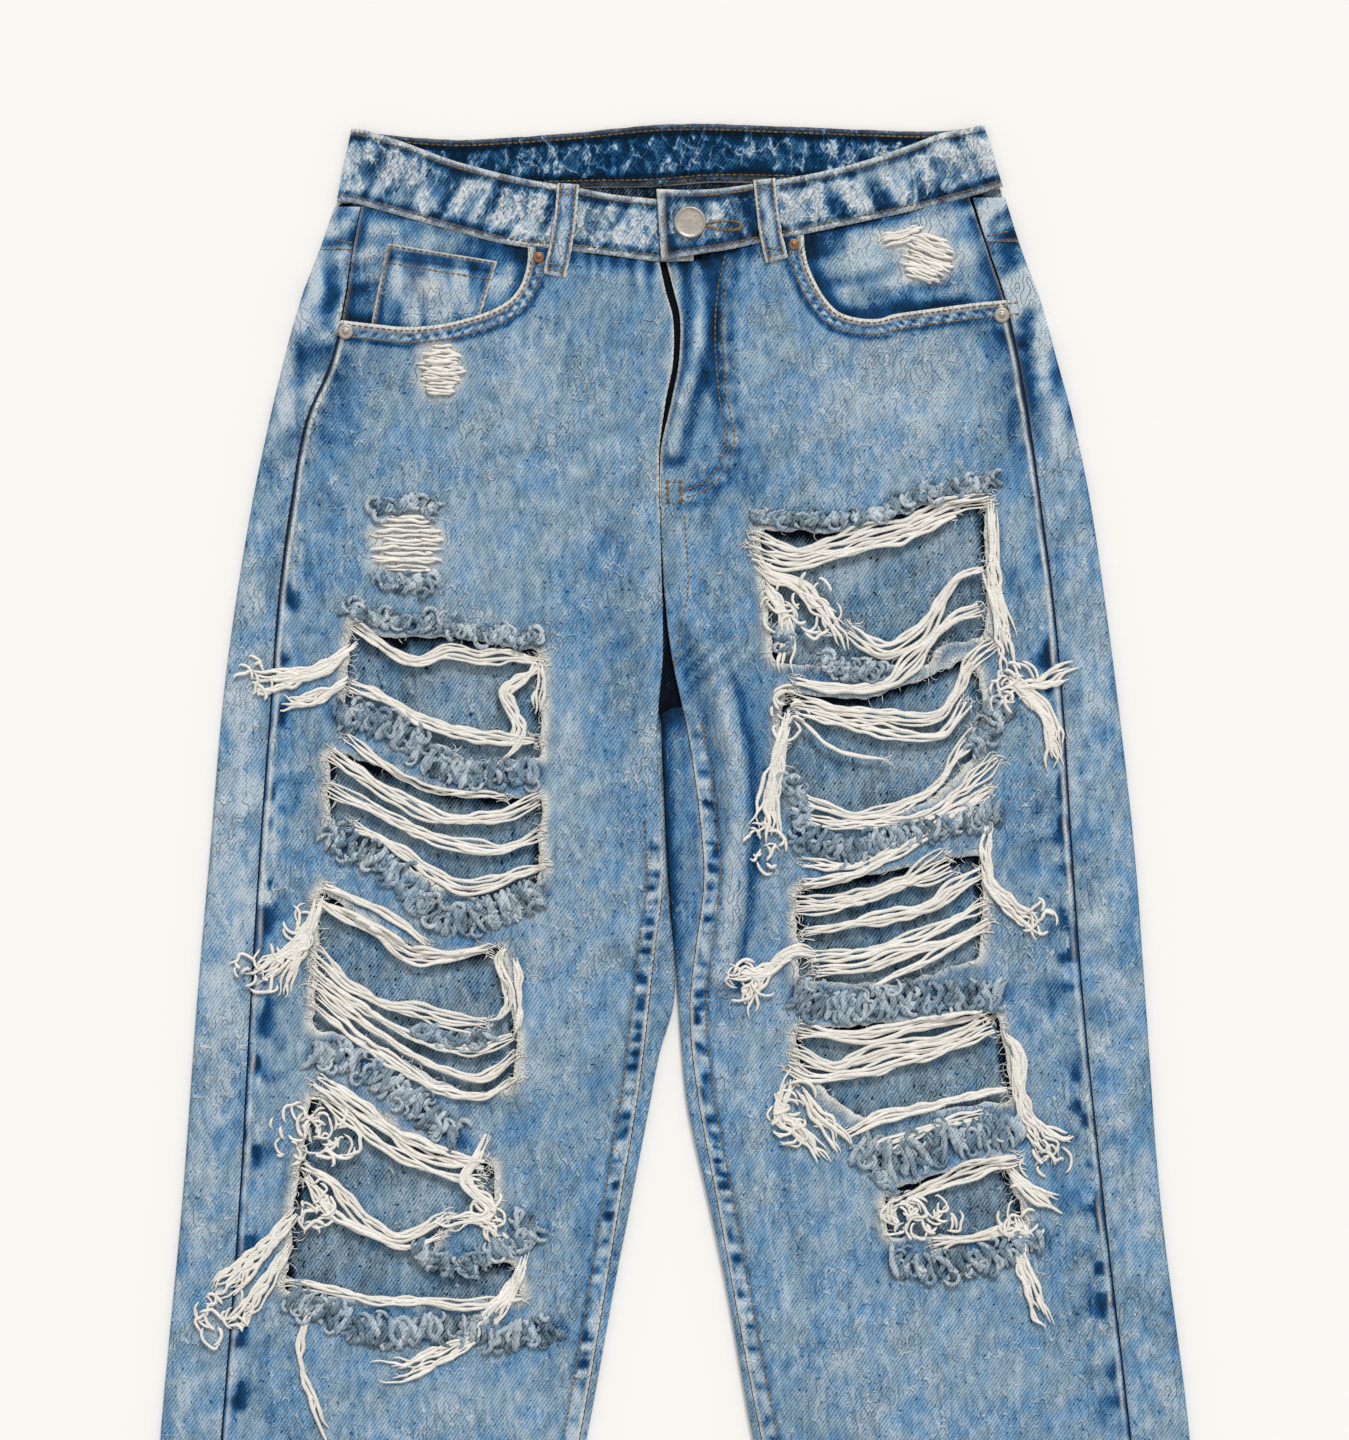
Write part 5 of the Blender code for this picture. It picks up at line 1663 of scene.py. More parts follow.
@dataclass
class CoinPocket:
    """The small patch pocket on the right facing."""

    leg: Leg
    denim: Any
    top_left: tuple[float, float] = (-156.2, 64.9)
    top_right: tuple[float, float] = (-96.8, 74.6)
    low_left: tuple[float, float] = (-165.5, 112.0)
    low_right: tuple[float, float] = (-107.5, 109.0)
    flat: tuple[float, float] = (0.06, 0.046)

    def build(self) -> Any:
        """Makes the pocket.

        Returns:
            The object.
        """
        across, along = np.meshgrid(np.linspace(0, 1, 44), np.linspace(0, 1, 34))
        top = np.array(self.top_left) + across[..., None] * (np.array(self.top_right) - self.top_left)
        low = np.array(self.low_left) + across[..., None] * (np.array(self.low_right) - self.low_left)
        place = top + (low - top) * along[..., None]
        x, down = place[..., 0], place[..., 1]
        height = FRONT_LEVEL + DENIM + 0.4 + 0.35 * ripple(x, down, 15, 15, 12)
        points = np.dstack([x, down, height + 0.5 * swell(along * 46, 10)])
        patch = np.exp(-(((x + 134) / 11) ** 2 + ((down - 88) / 7) ** 2) * 1.1)
        edge = np.minimum(np.minimum(across, 1 - across) * 60, along * 46)
        mouth = distance_to(self.leg.mouth, x, down)
        tone = 0.1 + 1.2 * ripple(x, down, 4.5, 20, 13) - 1.3 * seam_shade(along * 46 - 7, 2)
        tone -= 1.2 * seam_shade(edge - 3.4, 1.6)
        # Painted shade next to the front's pocket mouth.
        tone -= 0.8 * swell(mouth, 6)
        worn = 0.95 * patch * (0.7 + 0.4 * ripple(x, down, 3, 3, 14)) + 0.9 * seam_shade(edge, 1.5)
        return sewn("coin_pocket", points, (self.denim,), tone, worn, (9, 9))


@dataclass
class FlyUnderlap:
    """The shield behind the fly's opening."""

    denim: Any
    rows: Line = ((78, 8), (105, 13), (135, 12), (160, 7), (182, 0))
    flat: tuple[float, float] = (0.045, 0.11)

    def build(self) -> Any:
        """Makes the shield.

        Returns:
            The object.
        """
        edge = curve_through(self.rows, 2.2)
        shares = np.linspace(0, 1, 18)
        x = -24 + (edge[:, 1:] + 24) * shares
        down = np.repeat(edge[:, :1], 18, axis=1)
        height = np.full(x.shape, FRONT_LEVEL - DENIM - 0.4)
        points = np.dstack([x, down, height])
        # The shield is painted near black: painted shade inside the fly's opening.
        tone = np.full(x.shape, -3.0)
        return sewn("fly_underlap", points, (self.denim,), tone, 0 * x, (9, 9), slot="denim_inside")


@dataclass
class Waistband:
    """One strip that loops round both sides. The buttonhole's end laps over the button's."""

    denim: Any
    wrong_side: Any
    flat: tuple[float, float] = (0.78, 0.036)

    def strip(self) -> Any:
        """Sections along the band: (top x, top down, bottom x, bottom down, height) and a flag.

        Returns:
            Rows along the strip. The sixth column is 1 on the back.
        """

        def curve(rows: Sequence[BandRow], back: float) -> Any:
            """Sections at even steps through these."""
            made = curve_through([tuple(row) for row in rows], 3.2)
            return np.c_[made, np.full(len(made), back)]

        def fold(row: BandRow, side: Side, start: float, end: float) -> Any:
            """The band's cloth round one of its folded ends.

            Args:
                row: The section.
                side: Which side.
                start: Where it starts.
                end: Where it ends.

            Returns:
                Rows of points round the fold.
            """
            radius, middle = (BAND_FRONT - BAND_BACK) / 2, (BAND_FRONT + BAND_BACK) / 2
            angle = np.radians(np.linspace(start, end, 9))
            shift = side.value * (radius * np.cos(angle) - radius - BAND / 2)
            made = np.repeat(np.array([[*row, 0.0]]), 9, axis=0)
            made[:, 0] += shift
            made[:, 2] += shift
            made[:, 4] = middle + radius * np.sin(angle)
            made[:, 5] = angle < 0
            return made

        right = fold(BAND_RIGHT_FOLD, Side.RIGHT, 90, -90)
        left = fold(BAND_LEFT_FOLD, Side.LEFT, -90, 90)
        front_right = curve([*BAND_RIGHT_FRONT, BandRow(*right[0, :5])], 0.0)
        back = curve([BandRow(*right[-1, :5]), *BAND_BACK_ROWS, BandRow(*left[0, :5])], 1.0)
        front_left = curve([BandRow(*left[-1, :5]), *BAND_LEFT_FRONT], 0.0)
        return np.vstack([front_right, right[1:-1], back, left[1:-1], front_left])

    def build(self) -> Any:
        """Makes the band.

        Returns:
            The object.
        """
        strip = self.strip()
        shares = np.linspace(0, 1, 19)
        top = strip[:, None, 0:2]
        bottom = strip[:, None, 2:4]
        place = top + (bottom - top) * shares[None, :, None]
        height = np.repeat(strip[:, 4:5], 19, axis=1)
        x, down = place[..., 0], place[..., 1]
        back = np.repeat(strip[:, 5:6], 19, axis=1) > 0.5
        width = np.linalg.norm(bottom - top, axis=2)
        edge = np.minimum(shares, 1 - shares)[None] * width
        lean = np.where(x < 0, 0.45, -0.45)
        ripples = ripple(x + lean * down, down, 6.5, 20, 15)
        ripples += 0.7 * ripple(x + 1.3 * lean * down, down, 3.6, 11, 16)
        deep = ripple(x - 0.9 * lean * down, down, 7.5, 20, 17)
        deep += 0.6 * ripple(x + lean * down, down, 4, 13, 18)
        veins = np.exp(-((deep / 0.16) ** 2)) + 0.7 * np.exp(-(((deep - 0.7) / 0.12) ** 2))
        relief = np.where(back, 0.9 * veins + 0.25 * ripples, 0.42 * ripples)
        relief += 0.35 * pucker(strip_travel(strip), edge, 9, 7.0, 19)
        relief -= 0.5 * swell(edge, 2.2)
        height += np.where(back, 0.3 + 0.4 * veins, 0)
        points = np.dstack([x, down, height])
        # Painted light and shade: the ripples and veins that raise the wrinkles also lighten their crests,
        # and the back of the band, seen inside the waist opening, is painted darker as shade.
        tone = np.where(back, -1.0 + 0.9 * veins + 0.6 * ripples, 0.05 + 1.1 * ripples)
        button_end = swell(np.abs(x - 42), 34) * (x > 2)
        tone += np.where(back, 0.0, 0.4 * ripple(x, down, 40, 30, 28) - 1.1 * button_end)
        travel = strip_travel(strip)
        end = np.minimum(travel, travel[-1] - travel) + 0 * x
        # Painted shade: dark lines a few millimetres inside the band's edges and ends, and on the back, more
        # near its edges and all over.
        tone = tone - 1.5 * seam_shade(edge - 4.4, 2.0) - 1.4 * seam_shade(end - 4.6, 1.8)
        tone = tone - 0.9 * np.where(back, swell(edge, 9), 0) - 0.25 * back
        worn = 1.25 * seam_shade(edge, 1.5) * (0.8 + 0.4 * ripple(x, down, 6, 6, 20))
        worn = np.where(back, 0.25 * worn, worn) + 1.2 * seam_shade(end, 2.6)
        worn += np.where(back, 0, 0.1 * np.clip(ripples, 0, 1))
        return sewn("waistband", points, (self.denim, self.wrong_side), tone, worn, (10, 9),
            slot="denim_inside", thickness=2.2, relief=relief * np.where(back, -0.6, 1))


def strip_travel(strip: Any) -> Any:
    """How far along the band each section lies, as a column."""
    step = np.hypot(*(np.diff(strip[:, :2], axis=0).T))
    return np.r_[0, np.cumsum(step)][:, None]


@dataclass
class Hem(Panel):
    """The turned hem of one leg, all round."""

    flat: tuple[float, float] = (0.40, 0.022)

    def build(self) -> Any:
        """Makes the hem.

        Returns:
            The object.
        """
        leg = self.leg
        low, high = BAND / 2, FRONT_LEVEL + DENIM / 2
        radius = (high - low) / 2
        rows = []
        for down in np.linspace(LENGTH - HEM_HEIGHT, LENGTH, 13):
            first = float(leg.leg_inner(down)) + radius + BAND / 2
            last = float(leg.outer(down)) - radius - BAND / 2
            across = np.linspace(first, last, 78)
            turn = np.radians(np.linspace(90, -90, 9))[1:-1]
            outs = [across, last + radius * np.cos(turn), across[::-1]]
            heights = [np.full(78, high), low + radius + radius * np.sin(turn), np.full(78, low)]
            outs.append(first - radius * np.cos(turn[::-1]))
            heights.append(low + radius + radius * np.sin(turn[::-1]))
            out, height = np.concatenate(outs), np.concatenate(heights)
            out, height = np.r_[out, out[0]], np.r_[height, height[0]]
            rows.append(np.c_[leg.sign * out, np.full(out.shape, down), height])
        points = np.array(rows)
        x, down = points[..., 0], points[..., 1]
        above = points[..., 2] > (low + high) / 2
        edge = LENGTH - down
        ridge = pucker(x + 0.5 * down, np.abs(edge - 10) - 4, 12, 8.5, 61 + leg.sign)
        tone = 0.15 + 0.5 * ridge - 0.7 * seam_shade(edge - 14.5, 2.0)
        worn = 0.7 * seam_shade(edge, 2.0) + 0.3 * np.clip(ridge, 0, 1)
        worn += 0.4 * seam_shade(edge - 19, 1.4)
        return self.sewn("hem", points, tone, worn, (6, 30), thickness=2.2, closed=True,
            relief=0.4 * ridge * above)


@dataclass
class BeltLoop:
    """A strip sewn down over the waistband, with a bar of stitches at each end."""

    word: str
    line: Line
    base: float
    width: float = 12.0
    flat: tuple[float, float] = (0.012, 0.062)

    def path(self) -> Any:
        """Rows of (x, down, height) down the loop's middle.

        Returns:
            An array of the rows.
        """
        route = curve_through(self.line, 1.6)
        share = np.linspace(0, 1, len(route))
        bow = np.sin(pi * share) ** 0.7 * 1.1 + 0.35 * np.sin(3 * pi * share) ** 2
        return np.c_[route, self.base + bow]

    def build(self, finish: Any) -> Any:
        """Makes the loop.

        Args:
            finish: Its material.

        Returns:
            The object.
        """
        path = self.path()
        along = np.gradient(path[:, :2], axis=0)
        along /= np.linalg.norm(along, axis=1, keepdims=True)
        shares = np.linspace(-1, 1, 11)
        half = self.width / 2 * (1 + 0.05 * ripple(path[:, 1], path[:, 1], 9, 9, 22))
        x = path[:, :1] - along[:, 1:] * half[:, None] * shares
        down = path[:, 1:2] + along[:, :1] * half[:, None] * shares
        crown = 0.5 * (1 - shares**4) + 0.25 * np.cos(shares * 2 * pi)
        height = path[:, 2:] + crown[None] + 0.2 * ripple(x, down, 5, 7, 23)
        points = np.dstack([x, down, height])
        edge = (1 - np.abs(shares))[None] * half[:, None] + 0 * x
        tone = 0.40 + 0.8 * ripple(x, down, 4, 7, 24) - 1.4 * seam_shade(edge - 2.5, 1.1)
        ends = np.minimum(np.arange(len(path)), np.arange(len(path))[::-1])[:, None] * 1.6
        tone -= 0.5 * seam_shade(ends - 5, 2.5)
        worn = 1.1 * seam_shade(edge, 1.3) + 0.9 * seam_shade(ends + 0 * x, 1.8)
        return sewn(f"belt_loop_{self.word}", points, (finish,), tone, worn, (10, 5), thickness=1.5)


@dataclass
class RoundPiece:
    """A turned metal piece: the waist button or a rivet."""

    node: str
    slot: str
    x: float
    down: float
    base: float
    profile: Line
    steps: int = 64

    def build(self, finish: Any) -> Any:
        """Spins the profile round the piece's axis.

        Args:
            finish: Its material.

        Returns:
            The object.
        """
        shape = bmesh.new()
        corners = [shape.verts.new((r / 1000, 0, h / 1000)) for r, h in self.profile]
        edges = [shape.edges.new(pair) for pair in zip(corners, corners[1:])]
        bmesh.ops.spin(shape, geom=corners + edges, cent=(0, 0, 0), axis=(0, 0, 1), angle=2 * pi,
            steps=self.steps, use_merge=True)
        bmesh.ops.remove_doubles(shape, verts=shape.verts, dist=1e-6)
        bmesh.ops.recalc_face_normals(shape, faces=shape.faces)
        place = np.array([self.x, LENGTH / 2 - self.down, self.base]) / 1000
        bmesh.ops.translate(shape, verts=shape.verts, vec=tuple(place))
        obj = linked(f"{self.node}_turned", meshed(f"{self.node}_turned", shape), (finish,))
        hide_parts(self.node)
        return obj


class Ground:
    """Finds how high the made pieces lie at any place."""

    def __init__(self, pieces: Iterable[Any]) -> None:
        """Keeps the surfaces of these pieces.

        Args:
            pieces: The pieces that lie below.
        """
        bpy.context.view_layer.update()
        graph = bpy.context.evaluated_depsgraph_get()
        self.trees = [BVHTree.FromObject(piece, graph) for piece in pieces]

    def heights(self, flat: Any, least: float = -1e9) -> Any:
        """The top of what lies at each (x, down) place, or the least height.

        Args:
            flat: The (x, down) places.
            least: The least height.

        Returns:
            A height for each place.
        """
        found = np.full(len(flat), least)
        for i, (a, b) in enumerate(flat):
            start = Vector((a / 1000, (LENGTH / 2 - b) / 1000, 0.1))
            for tree in self.trees:
                place = tree.ray_cast(start, Vector((0, 0, -1)))[0]
                if place is not None:
                    found[i] = max(found[i], place.z * 1000)
        return found


class Bundle(NamedTuple):
    """White weft yarns left across a rip: their number, their spread and their route."""

    strands: int
    spread: float
    route: Line


class Ruffle(NamedTuple):
    """Frayed, curled denim between two rips: half its width and its route."""

    half: float
    route: Line


class Tassel(NamedTuple):
    """Broken yarns that lie together: their number, their spread at root and tip, their route."""

    strands: int
    root: float
    tip: float
    route: Line


class Tangle(NamedTuple):
    """A knot of loose yarn: its middle, its half sizes and its number of curls."""

    x: float
    down: float
    half_x: float
    half_down: float
    curls: int


BUNDLES = {
    Side.RIGHT: routes(
        Bundle, (5, 6.0, -174, 270, -154, 285, -140, 290, -123, 285, -106, 288, -90, 287, -72, 291),
        (4, 5.0, -176, 303, -156, 311, -140, 321, -123, 327, -102, 331, -77, 333),
        (2, 2.0, -178, 330, -163, 343, -144, 354, -132, 359, -93, 363),
        (4, 5.0, -187, 340, -165, 355, -144, 367, -126, 375, -108, 375, -90, 372, -74, 364),
        (4, 5.0, -188, 358, -163, 370, -143, 380, -124, 387, -105, 391, -90, 390, -73, 382),
        (4, 5.0, -175, 378, -154, 389, -137, 400, -120, 410, -102, 410, -87, 405, -71, 400),
        (3, 3.5, -190, 411, -171, 419, -153, 428, -135, 442),
        (5, 6.0, -193, 419, -175, 429, -159, 437, -143, 448, -124, 449, -102, 445),
        (4, 5.0, -195, 446, -179, 463, -158, 475, -141, 478, -121, 484, -103, 486),
        (3, 3.5, -197, 455, -174, 474, -146, 490, -128, 497, -106, 499, -88, 492),
        (3, 3.5, -196, 463, -172, 482, -144, 501, -128, 509, -105, 515, -86, 501),
        (3, 4.0, -195, 472, -173, 492, -146, 510, -128, 520, -104, 524, -86, 514),
        (5, 8.0, -194, 515, -172, 530, -148, 547, -122, 558, -104, 561),
        (3, 4.0, -192, 524, -172, 541, -150, 556, -126, 567, -106, 570),
        (4, 5.5, -202, 562, -186, 571, -169, 590, -151, 601, -138, 597, -124, 588),
        (3, 3.5, -200, 568, -186, 587, -165, 599, -147, 606, -128, 600),
        (3, 3.5, -211, 624, -186, 629, -162, 634, -138, 635, -113, 637, -84, 633),
    ),
    Side.LEFT: routes(
        Bundle, (5, 7.0, 40, 224, 63, 231, 86, 227, 103, 221, 125, 216, 144, 207, 168, 202),
        (3, 4.0, 42, 231, 60, 238, 84, 233, 106, 227, 128, 221, 150, 211),
        (4, 6.0, 93, 273, 112, 284, 131, 275, 140, 262, 150, 246, 165, 240),
        (5, 6.0, 64, 301, 86, 305, 112, 302, 125, 291, 147, 269, 163, 262),
        (4, 5.0, 62, 309, 86, 316, 112, 319, 137, 321, 150, 308, 158, 291, 171, 280),
        (3, 4.0, 64, 316, 99, 325, 125, 330, 144, 329, 156, 312),
        (1, 0.0, 66, 321, 82, 335, 96, 341, 112, 343),
        (4, 5.0, 64, 362, 80, 368, 99, 373, 122, 367, 140, 357, 150, 342, 161, 327),
        (4, 6.0, 66, 374, 84, 378, 103, 378, 134, 373, 153, 360, 172, 342),
        (3, 4.0, 68, 398, 94, 400, 119, 389, 144, 374, 168, 359),
        (4, 5.0, 68, 411, 95, 405, 118, 393, 144, 377, 167, 361),
        (6, 12.0, 64, 421, 82, 421, 109, 414, 130, 406, 146, 398),
        (4, 5.0, 69, 436, 98, 431, 133, 424, 147, 414, 165, 403),
        (3, 4.0, 72, 450, 100, 447, 124, 440, 148, 430, 166, 420),
        (4, 4.0, 75, 457, 102, 455, 123, 447, 150, 440, 168, 430), (2, 2.0, 103, 466, 133, 452, 165, 434),
        (5, 6.0, 66, 488, 98, 493, 133, 485, 166, 479),
        (7, 13.0, 61, 504, 82, 511, 116, 502, 143, 497, 169, 485),
        (4, 5.0, 92, 545, 109, 536, 133, 530, 159, 524, 178, 521),
        (3, 3.5, 98, 556, 120, 548, 140, 540, 165, 534), (5, 7.0, 124, 580, 147, 569, 168, 561, 183, 559),
        (4, 5.0, 138, 604, 160, 600, 183, 594),
    ),
}
RUFFLES = {
    Side.RIGHT: routes(
        Ruffle, (4.0, -177, 262, -154, 269, -132, 268, -111, 274, -72, 278),
        (7.5, -182, 319, -163, 323, -143, 333, -132, 343, -117, 350, -94, 350, -76, 349),
        (8.0, -189, 383, -174, 389, -159, 399, -145, 411, -132, 425, -116, 429, -94, 423, -72, 413),
        (4.0, -141, 489, -120, 494, -100, 492),
        (8.0, -196, 502, -179, 502, -161, 513, -144, 525, -131, 538, -117, 548),
        (6.0, -140, 606, -117, 617, -96, 606, -77, 599, -88, 589),
        (7.5, -208, 633, -186, 641, -172, 650, -148, 652, -124, 649, -83, 653, -66, 649),
    ),
    Side.LEFT: routes(
        Ruffle, (3.6, 42, 212, 71, 213, 103, 212, 131, 200, 158, 195, 174, 192), (5.0, 55, 272, 60, 284),
        (5.0, 78, 290, 95, 296, 112, 294), (6.0, 158, 338, 168, 326, 178, 313),
        (5.0, 62, 352, 66, 366, 68, 382), (6.5, 68, 384, 93, 392, 118, 384, 145, 378, 172, 371),
        (8.0, 64, 469, 82, 476, 109, 475, 133, 471, 176, 470),
        (10.0, 98, 552, 119, 558, 142, 549, 168, 543, 186, 542), (4.0, 108, 566, 118, 577),
        (8.0, 116, 612, 128, 616, 160, 613, 198, 600),
    ),
}
# Frayed strips round a patch of the right leg that leave the panel's wash as it is.
SMALL_RUFFLES = routes(
    Ruffle, (4.0, -163, 207, -146, 205, -128, 208), (4.5, -161, 245, -146, 249, -128, 245),
)
TASSELS = {
    Side.RIGHT: routes(
        Tassel, (9, 4.0, 14.0, -172, 280, -186, 291, -199, 297, -214, 300, -230, 301),
        (5, 3.0, 9.0, -176, 300, -188, 307, -202, 312, -216, 310),
        (6, 4.0, 7.0, -72, 288, -80, 297, -93, 306, -88, 318, -86, 330, -97, 341),
        (3, 3.0, 4.0, -73, 290, -74, 305, -76, 322),
        (8, 4.0, 12.0, -192, 416, -197, 431, -206, 444, -220, 455, -234, 461),
        (6, 4.0, 9.0, -196, 424, -203, 446, -210, 460, -214, 478),
        (4, 3.0, 5.0, -92, 443, -96, 452, -90, 468, -92, 480, -104, 486),
        (3, 2.0, 3.0, -88, 448, -84, 470, -88, 496),
        (5, 3.0, 7.0, -102, 545, -108, 558, -114, 570, -100, 586, -120, 592, -136, 592),
        (10, 5.0, 16.0, -204, 586, -213, 596, -224, 608, -238, 622, -252, 636),
        (7, 4.0, 12.0, -208, 604, -220, 622, -232, 638, -244, 652),
        (7, 4.0, 12.0, -80, 606, -86, 622, -98, 638, -110, 652, -126, 664, -146, 671, -168, 673),
        (3, 3.0, 8.0, -82, 612, -90, 632, -104, 652, -112, 664),
        (2, 1.5, 2.0, -191, 632, -203, 656, -198, 684, -188, 708, -178, 728),
    ),
    Side.LEFT: routes(
        Tassel, (6, 4.0, 7.0, 170, 203, 170, 222, 171, 242, 173, 258, 177, 272, 181, 285),
        (5, 4.0, 8.0, 166, 240, 172, 262, 176, 280, 178, 300),
        (8, 5.0, 10.0, 179, 298, 190, 309, 198, 318, 203, 334, 207, 350),
        (5, 3.0, 16.0, 180, 304, 194, 302, 208, 297, 220, 292),
        (8, 5.0, 12.0, 42, 236, 50, 244, 66, 250, 78, 262, 87, 274, 91, 286),
        (6, 4.0, 10.0, 46, 246, 56, 262, 60, 278, 58, 298),
        (7, 4.0, 8.0, 60, 316, 57, 330, 53, 346, 50, 362, 44, 386),
        (4, 3.0, 7.0, 58, 330, 54, 352, 52, 372, 55, 396),
        (7, 4.0, 12.0, 165, 396, 168, 408, 178, 420, 190, 430, 201, 437),
        (4, 4.0, 6.0, 168, 376, 166, 392, 170, 408),
        (7, 4.0, 7.0, 75, 447, 62, 446, 48, 456, 36, 459, 25, 455),
        (4, 3.0, 8.0, 62, 448, 48, 458, 40, 470, 39, 484),
        (5, 3.0, 4.0, 176, 489, 183, 499, 186, 511, 183, 520, 176, 524),
        (6, 5.0, 8.0, 63, 510, 58, 524, 56, 537, 66, 543, 76, 556, 84, 568),
        (4, 4.0, 10.0, 66, 520, 78, 536, 90, 548, 94, 556),
        (7, 4.0, 10.0, 182, 498, 184, 520, 189, 536, 196, 549, 204, 561),
        (3, 2.0, 6.0, 184, 530, 196, 540, 208, 546, 217, 545),
        (6, 4.0, 10.0, 178, 562, 188, 572, 198, 580, 210, 583),
        (7, 4.0, 11.0, 182, 586, 186, 600, 186, 614, 192, 630, 202, 652),
    ),
}
TANGLES = {
    Side.RIGHT: tabled(
        Tangle, (-228, 300, 9, 9, 10), (-196, 546, 18, 17, 44), (-196, 588, 10, 14, 16),
        (-246, 642, 12, 12, 20), (-100, 590, 12, 12, 22), (-226, 458, 10, 10, 14), (-206, 436, 9, 12, 12),
    ),
    Side.LEFT: tabled(
        Tangle, (68, 262, 18, 14, 34), (180, 306, 11, 10, 26), (60, 318, 8, 10, 12), (48, 388, 8, 10, 14),
        (192, 428, 9, 8, 12), (38, 462, 10, 9, 16), (62, 534, 12, 12, 26), (130, 590, 18, 9, 44),
        (198, 556, 9, 9, 12), (186, 590, 8, 14, 14),
    ),
}


class BarePatch(NamedTuple):
    """A place rubbed down to the white weft: its middle, half sizes and rows of yarn."""

    x: float
    down: float
    half_x: float
    half_down: float
    turn: float = 0.0
    pitch: float = 1.5
    corner: float = 0.5

    def share(self, x: Any, down: Any) -> Any:
        """How bare the cloth is at places, from 0 to 1, with a ragged edge.

        Args:
            x: Places across.
            down: Places down.

        Returns:
            Shares like the places.
        """
        away = np.hypot((x - self.x) / self.half_x, (down - self.down) / self.half_down)
        away += 0.16 * ripple(x, down, 5, 5, 57)
        return np.clip(1.8 * (1.35 - away), 0, 1)


BARE_PATCHES = {
    Side.RIGHT: tabled(BarePatch, (-128, 133, 12, 14, 4, 1.3), (-146, 227, 19, 16, 1, 2.4, 0.2)),
    Side.LEFT: tabled(BarePatch, (134, 72, 15, 13, 20, 1.3), (120, 62, 13, 5, -14, 1.5)),
}


def across_of(line: Any) -> Any:
    """The unit vector across a flat line at each of its points.

    Args:
        line: Rows of (x, down) points.

    Returns:
        An array like the line.
    """
    along = np.gradient(line[:, :2], axis=0)
    along /= np.linalg.norm(along, axis=1, keepdims=True) + 1e-9
    return np.c_[-along[:, 1], along[:, 0]]


@dataclass
class Loose:
    """What the yarn and the fraying of one leg share: tubes, what they lie on, and chance."""

    leg: Leg
    ground: Ground
    seed: int
    strands: Strands
    radius: float = 1.1
    step: float = 1.8

    def __post_init__(self) -> None:
        """Starts the source of chance."""
        self.rng = np.random.default_rng(self.seed + self.leg.sign)

    def wander(self, count: int, size: float, step: float = 1.8) -> Any:
        """A smooth random wave from -1 to 1 along a strand.

        Args:
            count: The number of points.
            size: The usual distance between a rise and a fall.
            step: The distance between points.

        Returns:
            An array of that many values.
        """
        knots = max(int(count * step / size) + 3, 4)
        values = self.rng.uniform(-1, 1, knots)
        at = np.arange(count) * step / size + self.rng.uniform(0, 1)
        i = np.clip(at.astype(int), 0, knots - 2)
        t = np.clip(at - i, 0, 1)
        t = t * t * (3 - 2 * t)
        return values[i] * (1 - t) + values[i + 1] * t

    def curl(self, x: float, down: float, radius: float, sweep: float) -> Any:
        """A flat curl round a place.

        Args:
            x: The middle across.
            down: The middle down.
            radius: The curl's radius.
            sweep: How far round it goes, in radians.

        Returns:
            Rows of (x, down).
        """
        rng, count = self.rng, max(int(radius * sweep / 0.9), 5)
        angle = rng.uniform(0, 2 * pi) + np.linspace(0, sweep, count) * rng.choice((-1, 1))
        size = radius * (1 + 0.35 * np.linspace(-1, 1, count) * rng.uniform(-1, 1))
        return np.c_[x + size * np.cos(angle), down + size * np.sin(angle)]


def hooked(x: float, down: float, heading: float, length: float, bend: float, count: int) -> Any:
    """A short fibre that leaves a place and bends as it goes.

    Args:
        x: Its root across.
        down: Its root down.
        heading: Its direction at the root, in radians.
        length: Its length.
        bend: How far its direction turns.
        count: Its number of points.

    Returns:
        Rows of (x, down).
    """
    t = np.linspace(0, 1, count)
    turn = heading + bend * t
    return np.c_[x + length * t * np.cos(turn), down + length * t * np.sin(turn)]


